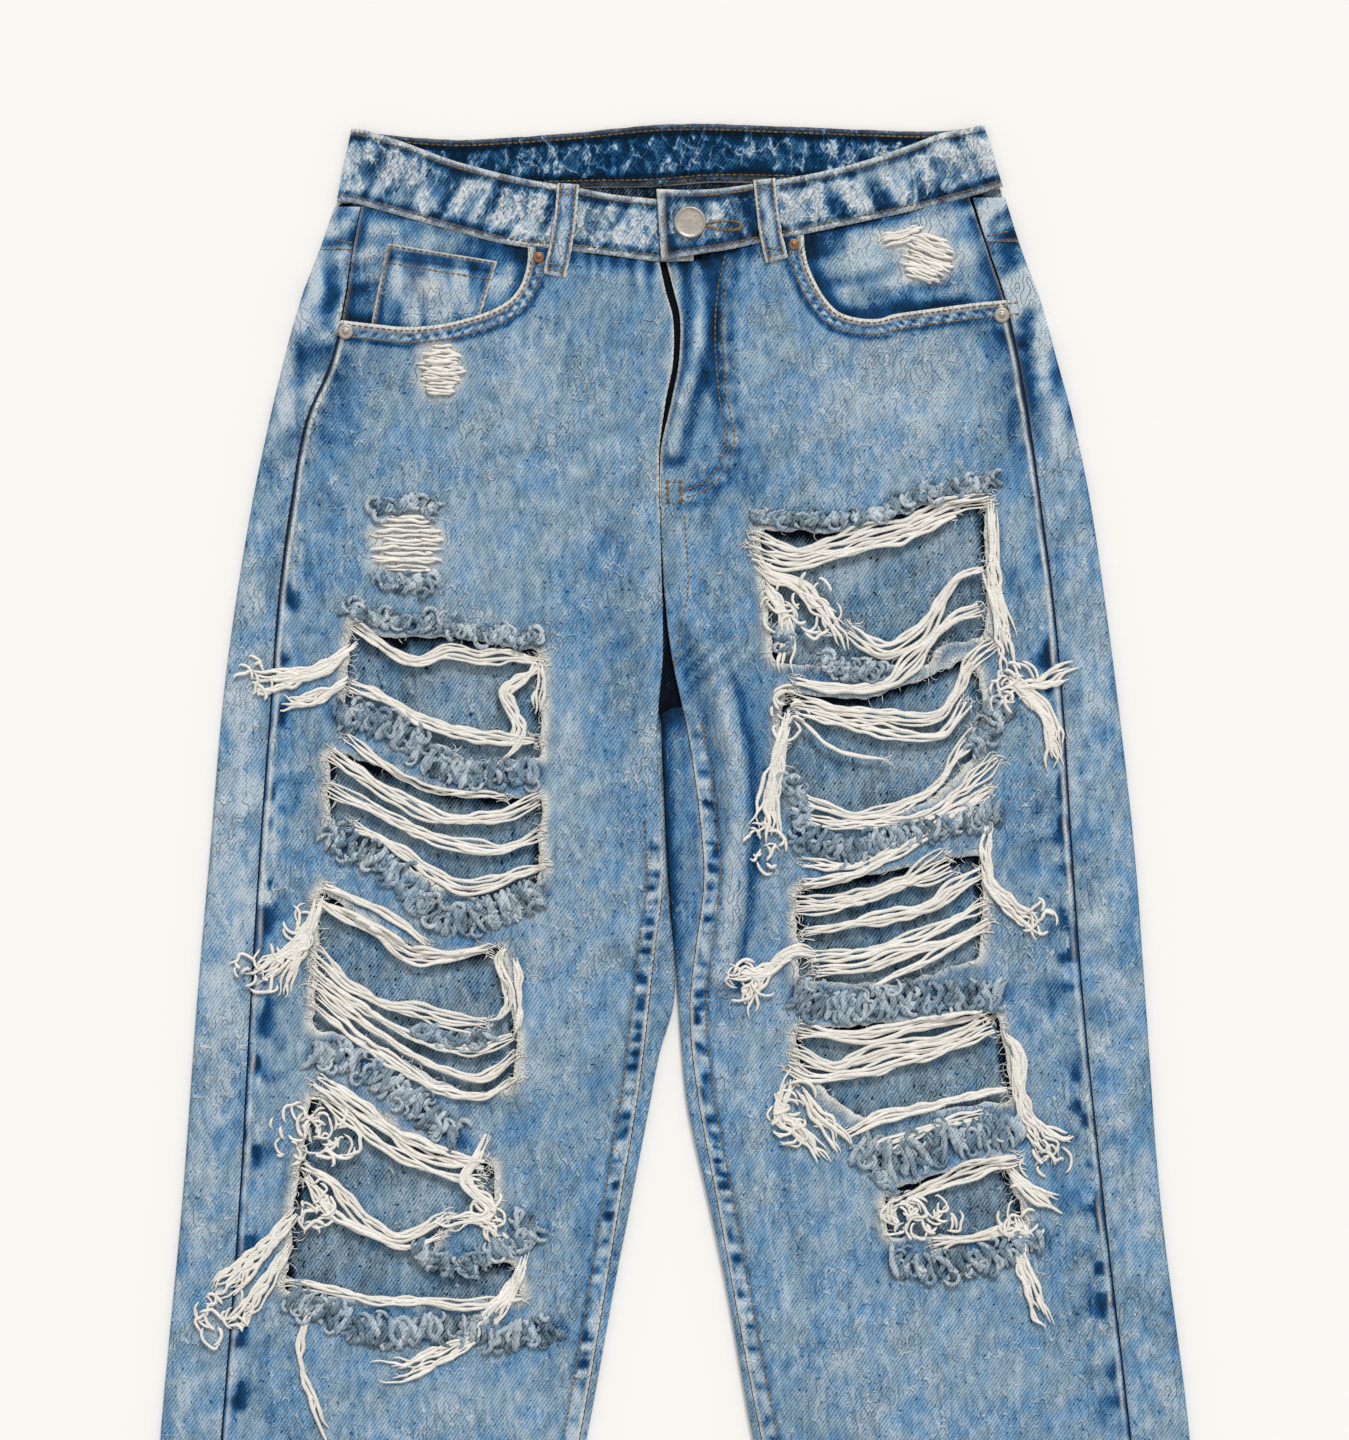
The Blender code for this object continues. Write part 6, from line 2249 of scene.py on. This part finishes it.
@dataclass
class Yarns(Loose):
    """All the white yarn of one leg: bundles over the rips, tassels, tangles and loose fibres."""

    def laid(self, flat: Any, radius: float, lift: Any = 0.0) -> Any:
        """Lays a strand on what is under it, and spans it over the rips.

        Args:
            flat: Rows of (x, down).
            radius: The strand's radius.
            lift: How much higher it lies.

        Returns:
            Rows of (x, down, height).
        """
        resting = self.ground.heights(flat, BACK_LEVEL)
        spans = resting < FRONT_LEVEL - DENIM
        height = np.where(spans, FRONT_LEVEL + 1.0, resting + 0.8 * radius)
        padded = np.pad(height, 2, mode="edge")
        soft = sum(padded[k : k + len(height)] for k in range(5)) / 5
        height = np.maximum(soft, np.where(spans, 0, resting + 0.7 * radius))
        return np.c_[flat, height + lift]

    def bundles(self) -> None:
        """Adds the bundles across the rips."""
        rng, wander = self.rng, self.wander
        for bundle in BUNDLES[self.leg.side]:
            line = curve_through(bundle.route, self.step)
            across, count = across_of(line), len(line)
            opened = 0.75 + 0.5 * wander(count, 20)
            strands, spread = round(1.3 * bundle.strands), 1.3 * bundle.spread
            net = 0.27 * spread / max(strands - 1, 1)
            beat = np.arange(count) * self.step * 2 * pi / rng.uniform(17, 26)
            beat += 1.2 * wander(count, 15)
            for k in range(strands):
                share = (k / max(strands - 1, 1) - 0.5) * spread
                lean = pi * k + 1.3 * wander(count, 18)
                drift = net * np.sin(beat + lean) + 0.9 * wander(count, 20)
                drift += 0.35 * wander(count, 6.0)
                flat = line + across * (share * opened + drift)[:, None]
                radius = self.radius * rng.uniform(0.7, 1.15)
                path = self.laid(flat, radius, 0.5 + 0.5 * wander(count, 14))
                lumps = radius * (1 + 0.22 * wander(count, 6))
                self.strands.add(path, lumps, 0.85, rng.uniform(0, 0.45), (0.45, 0.45))
            self.fan(line[0], line[4] - line[0], bundle)
            self.fan(line[-1], line[-5] - line[-1], bundle)

    def fan(self, root: Any, inward: Any, bundle: Bundle) -> None:
        """Adds the fine fibres where a bundle leaves the cloth.

        Args:
            root: The bundle's end.
            inward: The way along the bundle from there.
            bundle: The bundle.
        """
        rng, heading = self.rng, np.arctan2(inward[1], inward[0])
        for _ in range(3 * bundle.strands + 4):
            turn = heading + rng.uniform(-0.5, 0.5) + (pi if rng.uniform() < 0.6 else 0)
            length, bend = rng.uniform(2, 6), rng.uniform(-1, 1)
            off = rng.uniform(-0.6, 0.6) * (bundle.spread + 2)
            x, down = root[0] - off * sin(heading), root[1] + off * cos(heading)
            path = self.laid(hooked(x, down, turn, length, bend, 5), 0.4, rng.uniform(0, 0.6))
            self.strands.add(path, rng.uniform(0.18, 0.34), 1.0, 0.0, (0.9, 0.3), 3)

    def tassels(self) -> None:
        """Adds the tassels of broken yarn."""
        rng, wander = self.rng, self.wander
        for tassel in TASSELS[self.leg.side]:
            whole = curve_through(tassel.route, self.step)
            for k in range(round(1.4 * tassel.strands)):
                first = int(len(whole) * rng.uniform(0, 0.14))
                keep = max(int(len(whole) * rng.uniform(0.72, 1.0)) - first, 4)
                line = whole[first : first + keep]
                keep = len(line)
                share = np.linspace(first / len(whole), (first + keep) / len(whole), keep)
                spread = tassel.root + (tassel.tip - tassel.root) * share**1.6
                place = k / max(1.4 * tassel.strands - 1, 1) - 0.5 + rng.uniform(-0.12, 0.12)
                drift = 2.1 * wander(keep, 7) * (0.35 + share)
                flat = line + across_of(line) * (place * spread + drift)[:, None]
                radius = self.radius * rng.uniform(0.65, 1.1)
                path = self.laid(flat, radius, 0.4 + 0.9 * (0.5 + 0.5 * wander(keep, 9)))
                lumps = radius * (1 + 0.25 * wander(keep, 5))
                self.strands.add(path, lumps, 0.9, rng.uniform(0, 0.35), (0.35, 0.3))

    def tangles(self) -> None:
        """Adds knots of curled yarn."""
        rng = self.rng
        for tangle in TANGLES[self.leg.side]:
            for _ in range(tangle.curls):
                angle, reach = rng.uniform(0, 2 * pi), rng.uniform(0, 1) ** 0.6
                x = tangle.x + tangle.half_x * reach * cos(angle)
                down = tangle.down + tangle.half_down * reach * sin(angle)
                flat = self.curl(x, down, rng.uniform(3.0, 8.0), rng.uniform(1.0, 2.6))
                flat += 1.1 * self.wander(len(flat), 4, 0.9)[:, None]
                radius = self.radius * rng.uniform(0.6, 1.0)
                path = self.laid(flat, radius, rng.uniform(0.2, 2.0))
                self.strands.add(path, radius, 0.9, rng.uniform(0, 0.4), (0.25, 0.25))

    def fuzz(self) -> None:
        """Adds short fibres along the torn edges."""
        rng = self.rng
        for outline in self.leg.rips:
            ring = np.array(outline)
            for (x, down), (dx, dd) in zip(ring, np.roll(ring, -1, 0) - ring):
                steep = abs(dd) / (np.hypot(dx, dd) + 1e-9)
                for _ in range(int(0.6 + 2.4 * steep * rng.uniform(0, 1))):
                    turn = rng.uniform(-0.9, 0.9) + (pi / 2 if rng.uniform() < 0.5 else -pi / 2)
                    length, bend = rng.uniform(1.5, 3.5 + 4.0 * steep), rng.uniform(-1.2, 1.2)
                    flat = hooked(x, down, np.arctan2(dd, dx) + turn, length, bend, 4)
                    path = self.laid(flat, 0.3, rng.uniform(0.0, 0.8))
                    self.strands.add(path, rng.uniform(0.14, 0.26), 1.0, 0.0, (0.8, 0.3), 3)

    def patches(self) -> None:
        """Adds the rows of bare weft in the rubbed patches."""
        rng, wander = self.rng, self.wander
        for bare in BARE_PATCHES[self.leg.side]:
            turn = np.radians(bare.turn)
            along, over = np.array([cos(turn), sin(turn)]), np.array([-sin(turn), cos(turn)])
            for offset in np.arange(-bare.half_down + 1.5, bare.half_down - 1, bare.pitch):
                reach = bare.half_x * (1 - (offset / bare.half_down) ** 2) ** bare.corner
                reach *= rng.uniform(0.7, 1.15)
                start = -reach * rng.uniform(0.6, 1.1)
                while start < reach * 0.8:
                    end = min(start + rng.uniform(0.8, 2.2) * bare.half_x, reach)
                    u = np.arange(start, end + 1.3, 1.3)
                    drift = offset + 0.9 * wander(len(u), 6, 1.3) + rng.uniform(-0.4, 0.4)
                    flat = np.array([bare.x, bare.down]) + along * u[:, None] + over * drift[:, None]
                    path = self.laid(flat, 0.7, rng.uniform(0.0, 1.0))
                    lumps = rng.uniform(0.75, 1.15) * (1 + 0.3 * wander(len(u), 4, 1.3))
                    self.strands.add(path, lumps, 0.75, rng.uniform(0, 0.3), (0.3, 0.3))
                    start = end - rng.uniform(0, 3)

    def build(self, finish: Any) -> Any:
        """Makes all the yarn of the leg as one piece.

        Args:
            finish: Its material.

        Returns:
            The object.
        """
        for made in (self.bundles, self.tassels, self.tangles, self.patches, self.fuzz):
            made()
        obj = self.strands.build(finish)
        nodes = [f"yarns_{self.leg.word}_{i}" for i in range(1, 9)]
        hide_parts(*nodes, *[f"tuft_{self.leg.word}_{i}" for i in range(1, 5)])
        return obj


@dataclass
class Fraying(Loose):
    """The curled, frayed denim of one leg."""

    def ribbons(self, ruffle: Ruffle) -> None:
        """Adds the curled ribbons across a frayed strip.

        Args:
            ruffle: The frayed strip.
        """
        rng = self.rng
        line = curve_through(ruffle.route, 0.5)
        across = across_of(line)
        for i in range(0, len(line) - 2, 5):
            i = min(max(i + int(rng.integers(-3, 4)), 0), len(line) - 1)
            over = across[i]
            along = np.array([over[1], -over[0]])
            u = np.linspace(-1, 1, 12)
            reach = ruffle.half * rng.uniform(0.75, 1.2)
            bend = rng.uniform(-2.2, 2.2) * np.sin(pi * u * rng.uniform(0.6, 1.5) + rng.uniform(0, 3))
            hook = rng.uniform(-5, 5) * np.clip(u, 0, 1) ** 2 + rng.uniform(-3.5, 3.5) * u
            hook += rng.uniform(-5, 5) * np.clip(-u, 0, 1) ** 2
            flat = line[i] + over * (u * reach)[:, None] + along * (bend + hook)[:, None]
            lift = 0.9 + rng.uniform(0.4, 2.2) * (1 - u**2) + 0.4 * np.sin(5 * u + rng.uniform(0, 6))
            path = np.c_[flat, self.ground.heights(flat, FRONT_LEVEL) + lift]
            width = rng.uniform(1.4, 2.3) * (1 + 0.25 * self.wander(12, 3, 1.0))
            self.strands.add(path, width, 0.55, rng.uniform(-0.5, 0.7), (0.55, 0.55))

    def curls(self, ruffle: Ruffle) -> None:
        """Adds loose curls along both edges of a frayed strip.

        Args:
            ruffle: The frayed strip.
        """
        rng = self.rng
        line = curve_through(ruffle.route, 0.5)
        across = across_of(line)
        for i in range(0, len(line) - 1, 5):
            x, down = line[i] + across[i] * (rng.uniform(-1.05, 1.05) * ruffle.half)
            flat = self.curl(x, down, rng.uniform(1.8, 4.2), rng.uniform(2.2, 5.2))
            rise = 1.2 + 1.8 * np.sin(np.linspace(0, pi, len(flat))) * rng.uniform(0.3, 1)
            path = np.c_[flat, self.ground.heights(flat, FRONT_LEVEL) + rise]
            self.strands.add(path, rng.uniform(0.9, 1.6), 0.7, rng.uniform(-0.3, 0.8), (0.5, 0.5))

    def build(self, finish: Any) -> Any:
        """Makes all the fraying of the leg as one piece.

        Args:
            finish: Its material.

        Returns:
            The object.
        """
        leg = self.leg
        right = leg.side is Side.RIGHT
        for ruffle in (*RUFFLES[leg.side], *(SMALL_RUFFLES if right else ())):
            self.ribbons(ruffle)
            self.curls(ruffle)
        obj = self.strands.build(finish)
        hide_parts(*[f"fray_{leg.word}_{i}" for i in range(1, 9 if right else 8)])
        return obj


@dataclass
class Stitching:
    """Lines of sewing thread on the made cloth."""

    name: str
    ground: Ground
    pitch: float = 3.2
    radius: float = 0.45
    seed: int = 7

    def build(self, lines: Sequence[Any], finish: Any) -> Any:
        """Makes the stitches.

        Args:
            lines: Lines of (x, down) points.
            finish: The thread's material.

        Returns:
            The piece.
        """
        rng = np.random.default_rng(self.seed)
        strands = Strands(self.name)
        for line in lines:
            dense = curve_through(line, self.pitch / 4)
            heights = self.ground.heights(dense[:, :2])
            own = dense[:, 2] if dense.shape[1] > 2 else heights
            for i in range(0, len(dense) - 3, 4):
                path = np.c_[dense[i : i + 4, :2], heights[i : i + 4]]
                if path[:, 2].min() < 0 or (heights - own)[i] > 3:
                    continue
                path[:, 2] += self.radius * np.array([-0.3, 0.55, 0.55, -0.3])
                strands.add(path, self.radius, 0.8, rng.uniform(0, 0.7), sides=4)
        return strands.build(finish)


@dataclass
class Studio:
    """The pale surface the garment lies on, soft light and the camera straight above."""

    above: tuple[float, float] = (-1.35, 168.4)
    distance: float = 2.0
    lens: float = 92.5
    key: float = 2.1
    fill: float = 0.62

    def build(self) -> None:
        """Makes the floor, the lights and the camera."""
        scene = bpy.context.scene
        shape = bmesh.new()
        bmesh.ops.create_grid(shape, x_segments=1, y_segments=1, size=4.0)
        floor = linked("floor", meshed("floor", shape), (FLOOR_FINISH.material(),), smooth=False)
        floor.location = (0, 0, -0.0002)

        world = bpy.data.worlds.new("soft_sky")
        world.use_nodes = True
        world.node_tree.nodes["Background"].inputs["Color"].default_value = (1, 1, 1, 1)
        world.node_tree.nodes["Background"].inputs["Strength"].default_value = self.fill
        scene.world = world
        lamp = bpy.data.lights.new("key", "SUN")
        lamp.energy = self.key
        lamp.angle = radians(16)
        key = bpy.data.objects.new("key", lamp)
        key.rotation_euler = (radians(-46), radians(14), 0)
        scene.collection.objects.link(key)

        camera_data = bpy.data.cameras.new("camera")
        camera_data.lens = self.lens
        camera_data.clip_end = 20
        camera = bpy.data.objects.new("camera", camera_data)
        camera.location = (self.above[0] / 1000, self.above[1] / 1000, self.distance)
        scene.collection.objects.link(camera)
        scene.camera = camera
        scene.view_settings.view_transform = "Standard"
        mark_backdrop(floor, key)


def bars() -> list[Any]:
    """The bars of stitches at the foot of the fly.

    Returns:
        The lines.
    """
    upright = [((x, 192), (x, 198), (x + 0.4, 205)) for x in (-5.6, -4.6, 1.6, 2.6)]
    level = [((-5.8, down), (-1.4, down + 0.4), (2.8, down)) for down in (193, 204.5)]
    return [np.array(line, float) for line in (*upright, *level)]


def beside(line: Line, gap: float) -> Any:
    """A line this far to one side of another."""
    dense = curve_through(line, 6.0)
    return dense + across_of(dense) * gap


def seam_lines(leg: Leg) -> list[Any]:
    """The topstitching of one leg, as (x, down) lines.

    Args:
        leg: The leg.

    Returns:
        The lines.
    """
    sign, low = leg.sign, LENGTH - HEM_HEIGHT - 3
    down = np.linspace(INSEAM_SHOWS[leg.side] + 5, low, 60)
    lines = [np.c_[sign * (leg.front_inner(down) + 8.8), down]]
    for gap in (2.0, 8.2):
        lines.append(beside(leg.mouth[::4], sign * gap)[2:-2])
    out = np.linspace(float(leg.seam(60)) + 1.5, float(leg.outer(60)) - 4, 6)
    for gap in (-2.0, -6.5):
        lines.append(np.c_[sign * out, leg.yoke_line(out) + gap])
    outs = np.linspace(116, 282, 40)
    lines.append(np.c_[sign * outs, np.full(40, LENGTH - 14.5)])
    return lines


def band_lines(band: Waistband) -> list[Any]:
    """The topstitching along both edges of the waistband.

    Args:
        band: The waistband.

    Returns:
        The lines.
    """
    strip = band.strip()
    lines = []
    joints = np.flatnonzero(np.abs(np.diff(strip[:, 5])) > 0.5)
    for part in np.split(strip, joints + 1):
        top, bottom = part[:, 0:2], part[:, 2:4]
        width = np.linalg.norm(bottom - top, axis=1)[:, None]
        for gap in (3.0 / width, 1 - 3.0 / width):
            row = np.c_[top + (bottom - top) * gap, part[:, 4]]
            lines.append(row[2:-2:2])
    return lines


def loop_lines(side: Side) -> list[Any]:
    """The stitching of a belt loop.

    Args:
        side: Which side.

    Returns:
        The lines.
    """
    route = curve_through(LOOPS[side], 3.0)
    across = across_of(route)
    lines = [route + across * gap for gap in (-4.2, 4.2)]
    for index in (1, 2, -3, -2):
        ends = (route[index] - across[index] * 4.6, route[index] + across[index] * 4.6)
        lines.append(np.array([ends[0], (ends[0] + ends[1]) / 2, ends[1]]))
    return lines


def coin_lines(coin: CoinPocket) -> list[Any]:
    """The stitching round the coin pocket.

    Args:
        coin: The coin pocket.

    Returns:
        The lines.
    """
    corners = [np.array(c) for c in (coin.low_left, coin.top_left, coin.top_right, coin.low_right)]
    middle = sum(corners) / 4
    inner = [corner + (middle - corner) * 0.055 for corner in corners]
    lines = [np.array([a, (a + b) / 2, b]) for a, b in zip(inner, inner[1:])]
    drop = (inner[0] - inner[1]) * 0.2
    lines.append(np.array([inner[1] + drop, (inner[1] + inner[2]) / 2 + drop, inner[2] + drop]))
    return lines


def buttonhole(ground: Ground, finish: Any) -> Any:
    """The worked eyelet beside the button.

    Args:
        ground: The surfaces that it lies on.
        finish: Its material.

    Returns:
        The object.
    """
    strands = Strands("buttonhole")
    for i in range(46):
        angle = 2 * pi * i / 46
        half = 0.4 + 1.1 * (1 + cos(angle))
        x, down = 24.5 + 9.5 * cos(angle), 55.2 + half * sin(angle)
        flat = np.array([(x, down), (x + 1.1 * cos(angle), down + 1.6 * sin(angle) + 0.3)])
        flat = np.vstack([flat[0], flat.mean(0), flat[1]])
        path = np.c_[flat, ground.heights(flat) + np.array([0.1, 0.5, 0.1])]
        strands.add(path, 0.55, 0.8, 0.1)
    return strands.build(finish)


def turned_pieces(ground: Ground, nickel: Any, copper: Any) -> list[Any]:
    """The waist button and the four rivets.

    Args:
        ground: The surfaces that it lies on.
        nickel: The button's material.
        copper: The rivets' material.

    Returns:
        The pieces.
    """
    made = []

    def place(name: str, slot: str, x: float, down: float, size: float, shape: Any, own: Any) -> None:
        """One turned piece, set on what lies below it.

        Args:
            name: The solid it stands for.
            slot: The finish's slot.
            x: Its middle across.
            down: Its middle down.
            size: Its size as a share of the profile's.
            shape: The profile, as (radius, height) points.
            own: Its material.
        """
        around = [(x + dx, down + dd) for dx in (-3, 0, 3) for dd in (-3, 0, 3)]
        base = float(ground.heights(around).max())
        profile = tuple((radius * size, height * size) for radius, height in shape)
        piece = RoundPiece(name, slot, x, down, base - 0.2, profile)
        made.append(piece.build(own))

    place("waist_button", "nickel", 7, 54, 1.0, BUTTON_PROFILE, nickel)
    place("rivet_outer_right", "nickel", -178.4, 112.5, 1.0, RIVET_PROFILE, nickel)
    place("rivet_outer_left", "nickel", 175, 103.5, 1.0, RIVET_PROFILE, nickel)
    place("rivet_inner_right", "copper", -74.5, 72.5, 0.72, RIVET_PROFILE, copper)
    place("rivet_inner_left", "copper", 63, 65.5, 0.72, RIVET_PROFILE, copper)
    return made


def declare(piece: Any, cut: tuple[float, float]) -> None:
    """Fixes a cloth piece to the garment.

    Args:
        piece: The cloth.
        cut: Its width and length before sewing, in metres. Not used.
    """
    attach(piece, "root")


def main() -> None:
    """Builds the garment, piece by piece."""
    logging.basicConfig(level=logging.INFO, format="%(message)s")
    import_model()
    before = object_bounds()
    denim, inside_denim = DENIM_FINISH.material(), INSIDE_FINISH.material()
    band_denim, fray_denim = BAND_FINISH.material(), FRAY_FINISH.material()
    yarn, tan, rust = YARN_FINISH.material(), STITCH_FINISH.material(), RUST_FINISH.material()
    nickel, copper = NICKEL_FINISH.material(), COPPER_FINISH.material()

    band = Waistband(band_denim, BAND_INSIDE_FINISH.material())
    band_piece = band.build()
    coin, underlap = CoinPocket(Leg(Side.RIGHT), denim), FlyUnderlap(inside_denim)
    coin_piece = coin.build()
    declare(underlap.build(), underlap.flat)
    fronts = []
    for side in Side:
        leg = Leg(side)
        front, back, yoke, facing, hem = (kind(leg, denim, inside_denim)
            for kind in (FrontPanel, BackPanel, Yoke, PocketFacing, Hem))
        front_piece, back_piece, roll = front.build(), back.build(), back.inner_roll()
        yoke_piece, facing_piece, hem_piece = yoke.build(), facing.build(), hem.build()

        loop = BeltLoop(leg.word, LOOPS[side], base=7.0)
        loop_piece = loop.build(denim)
        legs = [front_piece, back_piece, yoke_piece, hem_piece, facing_piece]
        ground = Ground([*legs, coin_piece] if side is Side.RIGHT else legs)
        leg_stitches = Stitching(f"leg_stitches_{leg.word}", ground).build(seam_lines(leg), tan)
        loop_stitches = Stitching(f"loop_stitches_{leg.word}", Ground([loop_piece]))
        loop_thread = loop_stitches.build(loop_lines(side), tan)
        yarns = Yarns(leg, ground, 40, Strands(f"bare_yarns_{leg.word}")).build(yarn)
        frays = Fraying(leg, ground, 60, Strands(f"frayed_edges_{leg.word}", "tone")).build(fray_denim)
        on_front = [leg_stitches, yarns, frays]
        for piece in (*on_front, loop_thread):
            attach(piece, "root")
        declare(front_piece, front.flat)
        declare(back_piece, back.flat)
        declare(roll, back.roll_flat)
        declare(yoke_piece, yoke.flat)
        declare(facing_piece, facing.flat)
        declare(hem_piece, hem.flat)
        declare(loop_piece, loop.flat)
        fronts.append(front_piece)

    upper = Ground([*fronts, band_piece])
    lines = [FLY_STITCH, beside(FLY_STITCH, 4.0), RISE_STITCH, *bars()]
    fly = Stitching("fly_stitches", upper).build(lines, tan)
    band_thread = Stitching("waistband_stitches", Ground([band_piece])).build(band_lines(band), rust)
    coin_thread = Stitching("coin_pocket_stitches", Ground([coin_piece])).build(coin_lines(coin), tan)
    hole = buttonhole(upper, rust)
    metal = turned_pieces(Ground([*fronts, band_piece, *pieces_named("yoke", "facing")]), nickel, copper)
    for piece in (fly, band_thread, coin_thread, hole, *metal):
        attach(piece, "root")
    declare(coin_piece, coin.flat)
    declare(band_piece, band.flat)
    Studio().build()
    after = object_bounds()
    [[list(map(float, corner)) for corner in box] for box in (before, after)]


def pieces_named(*words: str) -> list[Any]:
    """The made cloth pieces whose names hold one of these words."""
    return [obj for obj in bpy.context.scene.objects if obj.name.endswith("_cloth")
        and any((word in obj.name for word in words))]


if __name__ == "__main__":
    main()
